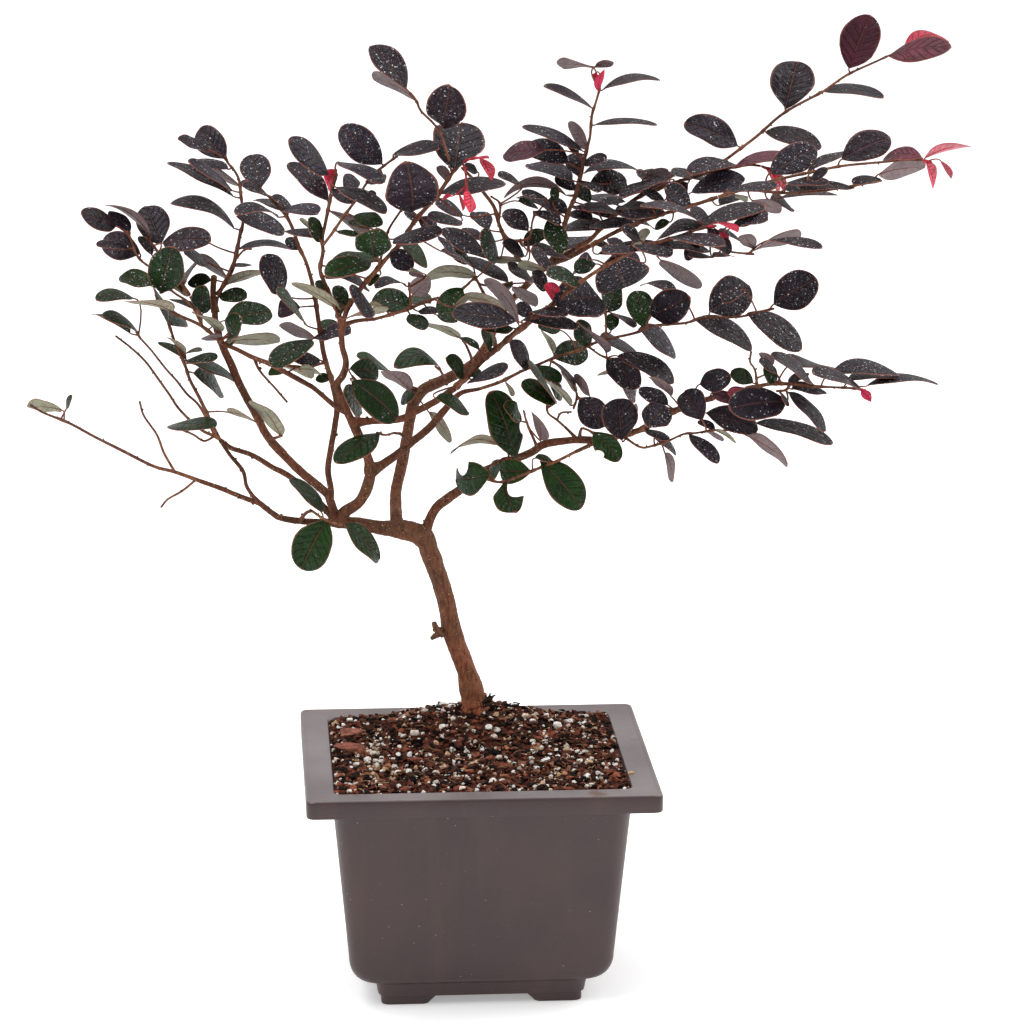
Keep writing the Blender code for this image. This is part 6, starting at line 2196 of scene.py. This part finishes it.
@dataclass
class SoilBed:
    """Bark mix: a lumpy mound under bark chips, pale grains, charcoal and thin roots."""

    pot: TrainingPot
    seed: int = 11
    points: int = 120
    rings: int = 34
    chips: int = 3500
    grains: int = 960
    fibres: int = 110
    foot_room: float = 2.4

    def height(self, x: float, y: float) -> float:
        """Measure the mix before its lumps.

        Args:
            x: Place to the right of the pot's centre.
            y: Place behind it.

        Returns:
            The height there.
        """
        foot = EYE.spot(*TRUNK_FOOT, 0)
        away = math.hypot(x - foot.x, (y - foot.y) * 1.15)
        return SOIL_EDGE_Z + SOIL_MOUND * math.exp(-(away / SOIL_SPREAD) ** 2)

    def bed(self) -> Solid:
        """Shape the filling, with its lumpy top.

        Returns:
            Points and faces.
        """
        loops = []
        pot, gap = self.pot, FIT_GAP + 0.1
        low, mouth = pot.floor_top, pot.height - pot.mouth_depth
        for z in (low + FIT_GAP, low + 4.0, pot.wall_foot, mouth, SOIL_EDGE_Z):
            half_x, half_y, corner = pot.inside(z)
            loops.append(even_loop(half_x - gap, half_y - gap, corner, z, self.points))
        edge = loops[-1]
        foot = EYE.spot(*TRUNK_FOOT, 0)
        middle = Vector((foot.x, foot.y, 0.0))
        for number in range(1, self.rings):
            share = 1.0 - number / (self.rings + 1)
            loop = []
            for point in edge:
                flat = middle + (Vector((point.x, point.y, 0.0)) - middle) * share
                rough = 1.3 * noise.noise(flat * 0.22) + 0.8 * noise.noise(flat * 0.55)
                loop.append(Vector((flat.x, flat.y, self.height(flat.x, flat.y) - 0.3 + rough)))
            loops.append(loop)
        return bridge(loops)

    @staticmethod
    def pebble(draw: random.Random, size: Sequence[float], count: int, place: Vector, turn: Matrix) -> Solid:
        """Shape an irregular crumb: the hull of random points.

        Args:
            draw: Source of its variation.
            size: Half sizes.
            count: Number of points tried.
            place: Its middle.
            turn: How it is turned.

        Returns:
            Points and faces.
        """
        shape = bmesh.new()
        for _ in range(count):
            spot = Vector([draw.gauss(0, 1) for _ in range(3)]).normalized()
            spot = Vector([math.copysign(abs(value) ** 0.7, value) for value in spot])
            shape.verts.new(Vector([spot[k] * size[k] for k in range(3)]) * draw.uniform(0.8, 1.0))
        hull = bmesh.ops.convex_hull(shape, input=shape.verts)
        loose = [item for item in hull["geom_interior"] if isinstance(item, bmesh.types.BMVert)]
        bmesh.ops.delete(shape, geom=loose, context="VERTS")
        shape.verts.index_update()
        points = [place + turn @ vertex.co for vertex in shape.verts]
        faces = [tuple(vertex.index for vertex in face.verts) for face in shape.faces]
        shape.free()
        return points, faces

    def scatter(self, parts: MeshParts, draw: random.Random) -> None:
        """Lay chips, grains and fibres on the bed.

        Args:
            parts: Where they go.
            draw: Source of their variation.
        """
        foot = EYE.spot(*TRUNK_FOOT, 0)
        half_x, half_y, _ = self.pot.inside(SOIL_EDGE_Z)
        for number in range(self.chips + self.grains):
            grain = number >= self.chips
            long = draw.triangular(0.5, 4.2, 0.8) if not grain else draw.triangular(0.2, 2.6, 0.35)
            room = long * 0.6
            x = draw.uniform(-half_x + room, half_x - room)
            y = draw.uniform(-half_y + room, half_y - room)
            if math.hypot(x - foot.x, y - foot.y) < TRUNK_FOOT_RADIUS + self.foot_room:
                continue
            if grain:
                size = (long, long * draw.uniform(0.7, 1.0), long * draw.uniform(0.6, 0.9))
                slot, tint = SoilSlot.GRAIN, draw.choice(GRAIN_TINTS)
            else:
                size = (long, long * draw.uniform(0.35, 0.8), long * draw.uniform(0.18, 0.5))
                slot, tint = SoilSlot.BARK, draw.choice(CHIP_TINTS)
            light = draw.uniform(0.5, 1.6) if not grain else draw.uniform(0.75, 1.1)
            tint = tuple(min(value * light, 0.9) for value in tint)
            turn = Matrix.Rotation(draw.uniform(0, math.tau), 3, "Z")
            turn = turn @ Matrix.Rotation(draw.gauss(0, 0.4), 3, "X")
            turn = turn @ Matrix.Rotation(draw.gauss(0, 0.3), 3, "Y")
            place = Vector((x, y, self.height(x, y) + draw.uniform(-0.3, 0.9)))
            crumb = self.pebble(draw, size, 14 if grain else 12, place, turn)
            parts.add(crumb, slot.value, tint, smooth=False)
        for _ in range(self.fibres):
            self.add_fibre(parts, draw, half_x - 9, half_y - 9)
        for slot in SEEN_BITS:
            self.add_seen(parts, draw, slot, half_y)

    def add_seen(self, parts: MeshParts, draw: random.Random, slot: SoilSlot, half_y: float) -> None:
        """Lay the larger bits of one finish where the photograph shows them.

        Args:
            parts: Where they go.
            draw: Source of their variation.
            slot: Their finish.
            half_y: Half the depth of the bed.
        """
        flat = 0.4 if slot is SoilSlot.BARK else 0.8
        for px, py, long, wide, tint in SEEN_BITS[slot]:
            place = EYE.on_level(px, py, SOIL_EDGE_Z + 1.5)
            place.z = max(self.height(place.x, place.y), SOIL_EDGE_Z) + 0.9
            place.y = min(place.y, half_y - 1.5 * wide)
            long, wide = 1.25 * long, 1.25 * wide
            turn = Matrix.Rotation(draw.uniform(-0.5, 0.5), 3, "Z")
            turn = turn @ Matrix.Rotation(draw.uniform(-0.3, 0.3), 3, "X")
            bit = self.pebble(draw, (long, wide, min(long, wide) * flat), 22, place, turn)
            parts.add(bit, slot.value, tint, smooth=False)

    def add_fibre(self, parts: MeshParts, draw: random.Random, half_x: float, half_y: float) -> None:
        """Add one thin root or splinter lying on the mix.

        Args:
            parts: Where it goes.
            draw: Source of its variation.
            half_x: Half the width it may start in.
            half_y: Half the depth it may start in.
        """
        place = Vector((draw.uniform(-half_x, half_x), draw.uniform(-half_y, half_y), 0.0))
        heading = draw.uniform(0, math.tau)
        points = []
        for _ in range(5):
            points.append(Vector((place.x, place.y, self.height(place.x, place.y) + draw.uniform(1.0, 2.4))))
            place += Vector((math.cos(heading), math.sin(heading), 0.0)) * draw.uniform(1.2, 2.4)
            heading += draw.gauss(0, 0.35)
            place.x = min(max(place.x, -half_x - 7), half_x + 7)
            place.y = min(max(place.y, -half_y - 7), half_y + 7)
        samples = smooth_run(points, [draw.uniform(0.15, 0.4)] * 5, 1.0)
        parts.add(round_tube(samples, 5), SoilSlot.BARK.value, draw.choice(FIBRE_TINTS))

    def build(self, finishes: Sequence[bpy.types.Material], shift: Vector) -> bpy.types.Object:
        """Make the soil.

        Args:
            finishes: Bed, bark and grain.
            shift: Where the pot's centre stands, in mm.

        Returns:
            The new object.
        """
        parts = MeshParts()
        parts.add(self.bed(), SoilSlot.BED.value, CHIP_TINTS[0])
        self.scatter(parts, random.Random(self.seed))
        return parts.build("bark_mix", finishes, shift)


LEAF_TINTS: dict[LeafKind, tuple[Colour, Colour]] = {
    LeafKind.PURPLE: ((0.0100, 0.0060, 0.0102), (0.14, 0.088, 0.095)),
    LeafKind.FRESH_PURPLE: ((0.052, 0.0095, 0.017), (0.21, 0.09, 0.10)),
    LeafKind.GREEN: ((0.0042, 0.0180, 0.0012), (0.145, 0.155, 0.085)),
    LeafKind.GREY_UNDERSIDE: ((0.0125, 0.0080, 0.0130), (0.17, 0.125, 0.13)),
    LeafKind.PALE_UNDERSIDE: ((0.012, 0.022, 0.008), (0.25, 0.26, 0.155)),
    LeafKind.YOUNG_RED: ((0.36, 0.014, 0.042), (0.50, 0.055, 0.085)),
    LeafKind.YOUNG_PINK: ((0.36, 0.018, 0.040), (0.60, 0.12, 0.16)),
}
# Leaves in another colour than the rest of their kind, by the picture point of their foot.
SEEN_TINTS: dict[tuple[float, float], tuple[Colour, Colour]] = {
    (336, 170): LEAF_TINTS[LeafKind.YOUNG_RED],
    (747, 388): ((0.16, 0.016, 0.028), (0.30, 0.06, 0.09)),
    (116, 226): LEAF_TINTS[LeafKind.PURPLE],
    (560, 300): LEAF_TINTS[LeafKind.YOUNG_RED],
    (888, 56): ((0.085, 0.010, 0.018), (0.24, 0.08, 0.09)),
    (545, 150): ((0.040, 0.012, 0.018), (0.20, 0.09, 0.10)),
}
TWIG_TINT: Colour = (0.165, 0.060, 0.033)
TWIG_BASE_TINT: Colour = (0.26, 0.098, 0.045)
STALK_TINT: Colour = (0.21, 0.060, 0.034)
YOUNG_TWIG: Colour = (0.45, 0.030, 0.040)
THIN_BARK_TINT: Colour = (0.155, 0.050, 0.024)
TRUNK_BARK_TINT: Colour = (0.200, 0.078, 0.040)
FOOT_BARK_TINT: Colour = (0.36, 0.112, 0.055)
ROOT_BIT_TINT: Colour = (0.030, 0.012, 0.008)
STUB_TINT: Colour = (0.19, 0.082, 0.046)
KNOT_TINT: Colour = (0.27, 0.095, 0.050)
CHIP_TINTS: tuple[Colour, ...] = (
    (0.085, 0.022, 0.012), (0.150, 0.040, 0.021), (0.250, 0.078, 0.042), (0.012, 0.004, 0.002),
    (0.008, 0.003, 0.002), (0.270, 0.115, 0.068), (0.090, 0.038, 0.024), (0.006, 0.002, 0.0015),
)
GRAIN_TINTS: tuple[Colour, ...] = (
    (0.86, 0.83, 0.78), (0.78, 0.70, 0.62), (0.62, 0.42, 0.26), (0.92, 0.91, 0.88),
)
FIBRE_TINTS: tuple[Colour, ...] = ((0.22, 0.11, 0.055), (0.32, 0.19, 0.10), (0.10, 0.045, 0.025))


@dataclass(frozen=True)
class LeafTop:
    """Dark leaf top with a faint painted grey sheen: hollow veins, thin red rim and pale specks."""

    name: str
    roughness: float = 0.36
    shine: float = 0.18
    vein_pairs: float = 7.0
    vein_slant: float = 1.7
    specks: float = 1.0
    vein_depth: float = 0.4
    rim_tint: Colour = (0.26, 0.080, 0.050)
    rib_tint: Colour = (0.13, 0.045, 0.032)

    def material(self) -> bpy.types.Material:
        """Write the nodes.

        Returns:
            The finish.
        """
        kit = Nodes.start(self.name)
        tint = kit.tint()
        along, across, dust = kit.parts(kit.attribute("blade").outputs["Vector"])
        place = kit.place()
        off = kit.math("ABSOLUTE", across)
        lateral, midrib = kit.veins(along, off, self.vein_pairs, self.vein_slant)
        cloud = kit.noise(place, 110.0, 4.0)
        grain = kit.noise(place, 2600.0, 2.0)
        light = kit.mix(kit.ramp(cloud, 0.3, 0.72), tint, kit.shade(tint, (2.0, 1.9, 2.0)))
        # Painted sheen: the fine noise mixes a faint grey speckle over the whole top.
        light = kit.mix(kit.times(kit.ramp(grain, 0.55, 0.78), 0.08), light, (0.12, 0.11, 0.12))
        quilt = kit.noise(place, 330.0, 2.0)
        bloom = kit.times(kit.ramp(quilt, 0.52, 0.7), dust)
        light = kit.mix(bloom, light, kit.mix(0.08, tint, (0.20, 0.17, 0.19)))
        dark = kit.mix(kit.times(lateral, 0.5 * self.vein_depth), light, kit.shade(tint, (0.4, 0.38, 0.4)))
        dark = kit.mix(kit.times(midrib, 0.4), dark, self.rib_tint)
        rim = kit.math("MAXIMUM", kit.ramp(off, 0.91, 0.98), kit.ramp(along, 0.965, 0.99))
        dark = kit.mix(kit.times(rim, 0.85), dark, self.rim_tint)
        dots = kit.dots(place, dust, self.specks)
        base = kit.mix(dots, dark, (0.75, 0.74, 0.76))
        rough = kit.plus(kit.times(cloud, 0.22), self.roughness - 0.18)
        kit.surface(base, kit.plus(rough, kit.times(dust, 0.24)), self.shine)
        relief = kit.plus(kit.times(lateral, -self.vein_depth), kit.times(midrib, -0.8))
        for layer, share in ((cloud, 1.2), (quilt, 1.1), (dots, 0.7)):
            relief = kit.plus(relief, kit.times(layer, share))
        kit.bump(relief, 0.0012, 0.9)
        return kit.material


@dataclass(frozen=True)
class LeafUnderside:
    """Paler matte underside with raised veins and a fine net."""

    name: str
    roughness: float = 0.72
    vein_pairs: float = 7.0
    vein_slant: float = 1.7
    vein_tint: Colour = (0.24, 0.12, 0.10)
    net_scale: float = 1500.0

    def material(self) -> bpy.types.Material:
        """Write the nodes.

        Returns:
            The finish.
        """
        kit = Nodes.start(self.name)
        tint = kit.tint()
        along, across, _ = kit.parts(kit.attribute("blade").outputs["Vector"])
        place = kit.place()
        off = kit.math("ABSOLUTE", across)
        lateral, midrib = kit.veins(along, off, self.vein_pairs, self.vein_slant)
        net = kit.cells(place, self.net_scale)
        cloud = kit.noise(place, 160.0, 4.0)
        base = kit.mix(kit.ramp(cloud, 0.3, 0.7), tint, kit.shade(tint, (0.62, 0.58, 0.6)))
        base = kit.mix(kit.times(kit.ramp(net, 0.35, 0.7), 0.3), base, (0.30, 0.28, 0.28))
        vein = kit.math("MAXIMUM", kit.times(lateral, 0.45), kit.times(midrib, 0.7))
        base = kit.mix(vein, base, self.vein_tint)
        rim = kit.times(kit.ramp(off, 0.92, 1.0), 0.6)
        kit.surface(kit.mix(rim, base, (0.20, 0.055, 0.035)), self.roughness, 0.25)
        relief = kit.plus(kit.times(lateral, 0.8), kit.times(net, 0.4))
        kit.bump(kit.plus(relief, midrib), 0.0005, 0.8)
        return kit.material


@dataclass(frozen=True)
class TwigBark:
    """Thin bark with fine lengthwise and knobbly relief, its colour carried by the mesh."""

    name: str
    roughness: float = 0.6
    scale: float = 900.0
    depth: float = 0.0004
    stretch: float = 0.3

    def material(self) -> bpy.types.Material:
        """Write the nodes.

        Returns:
            The finish.
        """
        kit = Nodes.start(self.name)
        tint = kit.tint()
        place = kit.place()
        streak = kit.noise(kit.stretch(place, (1.0, 1.0, self.stretch)), self.scale, 5.0)
        patch = kit.noise(place, self.scale * 0.16, 3.0)
        dark = kit.shade(tint, (0.42, 0.36, 0.34))
        pale = kit.mix(0.5, tint, (0.34, 0.20, 0.13))
        base = kit.mix(kit.ramp(streak, 0.35, 0.65), dark, tint)
        base = kit.mix(kit.times(kit.ramp(patch, 0.5, 0.7), 0.4), base, pale)
        kit.surface(base, kit.plus(kit.times(streak, 0.25), self.roughness - 0.1), 0.22)
        kit.bump(kit.plus(streak, kit.times(patch, 0.5)), self.depth)
        return kit.material


@dataclass(frozen=True)
class TrunkBark:
    """Fine-grained bark with faint lengthwise streaks and small pale pores."""

    name: str = "trunk_bark"
    pore_tint: Colour = (0.62, 0.38, 0.23)
    depth: float = 0.0009

    def material(self) -> bpy.types.Material:
        """Write the nodes.

        Returns:
            The finish.
        """
        kit = Nodes.start(self.name)
        tint = kit.tint()
        place = kit.place()
        streak = kit.noise(kit.stretch(place, (1.0, 1.0, 0.3)), 750.0, 5.0)
        fine = kit.noise(place, 2400.0, 4.0)
        cloud = kit.noise(place, 55.0, 3.0)
        base = kit.mix(kit.ramp(streak, 0.32, 0.62), kit.shade(tint, (0.50, 0.46, 0.46)), tint)
        base = kit.mix(kit.ramp(cloud, 0.4, 0.65), base, kit.shade(base, (0.66, 0.78, 0.72)))
        grain = kit.times(kit.ramp(fine, 0.52, 0.72), 0.45)
        base = kit.mix(grain, base, kit.mix(0.5, tint, (0.30, 0.17, 0.10)))
        pores = kit.ramp(kit.cells(kit.stretch(place, (1.0, 1.0, 1.8)), 620.0), 0.3, 0.17)
        pores = kit.times(pores, kit.ramp(kit.noise(place, 210.0, 2.0), 0.5, 0.62))
        base = kit.mix(kit.times(pores, 0.85), base, self.pore_tint)
        kit.surface(base, kit.plus(kit.times(fine, 0.25), 0.6), 0.22)
        relief = kit.plus(streak, kit.times(fine, 0.4))
        kit.bump(kit.plus(relief, kit.times(pores, 0.6)), self.depth)
        return kit.material


@dataclass(frozen=True)
class PotPlastic:
    """Dark grey-brown moulded plastic, with dust and a painted sheen on the lip, scuffs and water stains."""

    name: str = "pot_plastic"
    tint: Colour = (0.035, 0.0155, 0.0165)
    # Pale colour of the upward faces: dust and painted sheen.
    dust: Colour = (0.30, 0.262, 0.265)
    stain: Colour = (0.11, 0.060, 0.040)

    def material(self) -> bpy.types.Material:
        """Write the nodes.

        Returns:
            The finish.
        """
        kit = Nodes.start(self.name)
        place = kit.place()
        facing = kit.tree.nodes.new("ShaderNodeNewGeometry").outputs["Normal"]
        level = kit.parts(facing)[2]
        cloud = kit.noise(place, 22.0, 6.0)
        fine = kit.noise(place, 700.0, 3.0)
        drip = kit.noise(kit.stretch(place, (1.0, 1.0, 0.12)), 90.0, 4.0)
        # Upward faces, the lip's top most, lightened in patches: dust and a painted sheen where light from
        # above falls.
        dust_and_sheen = kit.times(kit.ramp(level, 0.3, 0.95), kit.plus(kit.times(cloud, 0.8), 0.1))
        stain = kit.times(kit.ramp(drip, 0.5, 0.75), 0.3)
        base = kit.mix(kit.ramp(cloud, 0.35, 0.7), self.tint, (0.046, 0.023, 0.022))
        base = kit.mix(stain, base, (0.064, 0.034, 0.028))
        base = kit.mix(dust_and_sheen, base, self.dust)
        spots = kit.ramp(kit.noise(place, 48.0, 4.0), 0.62, 0.72)
        base = kit.mix(kit.times(spots, kit.ramp(level, 0.6, 1.0)), base, self.stain)
        flecks = kit.ramp(kit.cells(place, 150.0), 0.05, 0.02)
        base = kit.mix(kit.times(flecks, 0.5), base, (0.45, 0.42, 0.41))
        scuff = kit.noise(kit.stretch(place, (1.0, 1.0, 4.0)), 260.0, 2.0)
        base = kit.mix(kit.times(kit.ramp(scuff, 0.68, 0.76), 0.2), base, (0.12, 0.10, 0.095))
        kit.surface(base, kit.plus(kit.times(cloud, 0.25), 0.3), 0.45)
        kit.bump(kit.plus(fine, kit.times(cloud, 0.8)), 0.00022, 0.7)
        return kit.material


@dataclass(frozen=True)
class Crumb:
    """Rough surface of bark bits or grains, its colour carried by the mesh."""

    name: str
    roughness: float
    scale: float
    depth: float
    darker: Colour = (0.35, 0.32, 0.30)

    def material(self) -> bpy.types.Material:
        """Write the nodes.

        Returns:
            The finish.
        """
        kit = Nodes.start(self.name)
        tint = kit.tint()
        place = kit.place()
        rough = kit.noise(place, self.scale, 6.0)
        pits = kit.cells(place, self.scale * 1.7)
        base = kit.mix(kit.ramp(rough, 0.3, 0.7), kit.shade(tint, self.darker), tint)
        kit.surface(base, kit.plus(kit.times(rough, 0.2), self.roughness - 0.1), 0.15)
        kit.bump(kit.plus(rough, kit.times(pits, 0.5)), self.depth)
        return kit.material


@dataclass
class Studio:
    """Pale floor, soft lights and the camera at the photograph's place."""

    floor_half: float = 60.0
    floor_tint: Colour = (0.93, 0.93, 0.93)
    floor_glow: float = 0.3
    world_tint: Colour = (1.0, 1.0, 1.0)
    world_strength: float = 0.62
    overhead_power: float = 1.35
    overhead_spread: float = 55.0

    def floor(self, z: float) -> bpy.types.Object:
        """Lay a large pale floor.

        Args:
            z: Its height in metres.

        Returns:
            The new object.
        """
        mesh = bpy.data.meshes.new("studio_floor")
        half = self.floor_half
        corners = [(-half, -half, z), (half, -half, z), (half, half, z), (-half, half, z)]
        mesh.from_pydata(corners, [], [(0, 1, 2, 3)])
        kit = Nodes.start("studio_floor")
        cloud = kit.noise(kit.place(), 3.0, 2.0)
        pale = self.floor_tint
        kit.surface(kit.mix(cloud, pale, tuple(value * 0.985 for value in pale)), 0.8, 0.5)
        kit.shader.inputs["Emission Color"].default_value = (1.0, 1.0, 1.0, 1.0)
        kit.shader.inputs["Emission Strength"].default_value = self.floor_glow
        mesh.materials.append(kit.material)
        floor = bpy.data.objects.new("studio_floor", mesh)
        bpy.context.scene.collection.objects.link(floor)
        return floor

    def world(self) -> None:
        """Even white surroundings."""
        world = bpy.data.worlds.new("studio_world")
        world.use_nodes = True
        surround = world.node_tree.nodes["Background"]
        surround.inputs["Color"].default_value = (*self.world_tint, 1.0)
        surround.inputs["Strength"].default_value = self.world_strength
        bpy.context.scene.world = world

    def light(self, name: str, place: Triple, target: Vector, size: float, power: float) -> None:
        """Hang one soft area light.

        Args:
            name: Its name.
            place: Where it stands, in metres.
            target: What it points at, in metres.
            size: Side of its square.
            power: Watts.
        """
        lamp = bpy.data.lights.new(name, "AREA")
        lamp.shape = "SQUARE"
        lamp.size = size
        lamp.energy = power
        thing = bpy.data.objects.new(name, lamp)
        thing.location = place
        thing.rotation_euler = (target - Vector(place)).to_track_quat("-Z", "Y").to_euler()
        bpy.context.scene.collection.objects.link(thing)

    def overhead(self) -> None:
        """Wide even light from above and a little behind."""
        lamp = bpy.data.lights.new("overhead_light", "SUN")
        lamp.energy = self.overhead_power
        lamp.angle = math.radians(self.overhead_spread)
        thing = bpy.data.objects.new("overhead_light", lamp)
        thing.rotation_euler = Vector((0.1, -0.25, -1.0)).to_track_quat("-Z", "Y").to_euler()
        bpy.context.scene.collection.objects.link(thing)

    def camera(self, shift: Vector) -> None:
        """Set the camera at the photograph's eye.

        Args:
            shift: Where the pot's centre stands, in mm.
        """
        ahead, right, down = EYE.axes()
        camera = bpy.data.cameras.new("photo_camera")
        camera.sensor_width = 36.0
        camera.lens = EYE.focal * camera.sensor_width / (2 * EYE.centre)
        camera.clip_start = 0.05
        camera.clip_end = 50.0
        thing = bpy.data.objects.new("photo_camera", camera)
        turn = Matrix((right, -down, -ahead)).transposed()
        thing.matrix_world = Matrix.Translation((EYE.place + shift) * MM) @ turn.to_4x4()
        bpy.context.scene.collection.objects.link(thing)
        bpy.context.scene.camera = thing

    def build(self, shift: Vector) -> None:
        """Set up everything round the bonsai.

        Args:
            shift: Where the pot's centre stands, in mm.
        """
        self.floor(shift.z * MM)
        self.world()
        middle = (Vector((0.0, 0.0, 230.0)) + shift) * MM
        self.light("key_light", (-1.1, -0.6, 1.9), middle, 1.4, 22.0)
        self.light("side_light", (1.5, 0.5, 1.3), middle, 1.4, 20.0)
        self.overhead()
        self.camera(shift)
        bpy.context.scene.view_settings.view_transform = "Standard"


@dataclass
class Bonsai:
    """The whole: pot, soil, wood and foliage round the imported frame."""

    shift: Vector

    def settle(self, piece: bpy.types.Object, node: str) -> None:
        """Let a piece stand for its node on the root body.

        Args:
            piece: The fine piece.
            node: The node that it replaces.
        """
        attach(piece, "root")
        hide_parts(node)

    def build(self) -> None:
        """Make and place every piece."""
        pot = TrainingPot()
        self.settle(pot.build(PotPlastic().material(), self.shift), "pot")
        soil = SoilBed(pot)
        crumbs = [
            Crumb("soil_bed", 0.95, 500.0, 0.0008).material(),
            Crumb("bark_chips", 0.88, 420.0, 0.0006).material(),
            Crumb("pale_grains", 0.8, 900.0, 0.0004, (0.72, 0.69, 0.64)).material(),
        ]
        self.settle(soil.build(crumbs, self.shift), "soil")
        crown = Crown()
        crown.grow()
        bark = TrunkBark().material()
        self.settle(TreeWood(crown).build(bark, self.shift), "wood")
        grown = [
            TwigBark("twig_bark").material(),
            LeafTop("leaf_top").material(),
            LeafUnderside("leaf_underside").material(),
        ]
        young = [
            TwigBark("young_twig", 0.5, 1200.0, 0.0002).material(),
            LeafTop(
                "young_leaf_top", 0.4, 0.2, specks=0.35, vein_depth=0.7,
                rim_tint=(0.55, 0.02, 0.03), rib_tint=(0.42, 0.01, 0.02),
            ).material(),
            LeafUnderside("young_leaf_underside", 0.55, vein_tint=(0.50, 0.03, 0.05)).material(),
        ]
        for number, owner in enumerate(crown.owners()):
            leafy = LeafyPiece(owner, crown, 100 + number)
            piece = leafy.build(young if leafy.young else grown, self.shift)
            self.settle(piece, owner)


def main() -> None:
    """Dress the frame."""
    logging.basicConfig(level=logging.INFO, format="%(message)s")
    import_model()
    low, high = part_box("pot")
    shift = Vector(((low.x + high.x) / 2, (low.y + high.y) / 2, low.z)) / MM
    Studio().build(shift)
    Bonsai(shift).build()


if __name__ == "__main__":
    main()
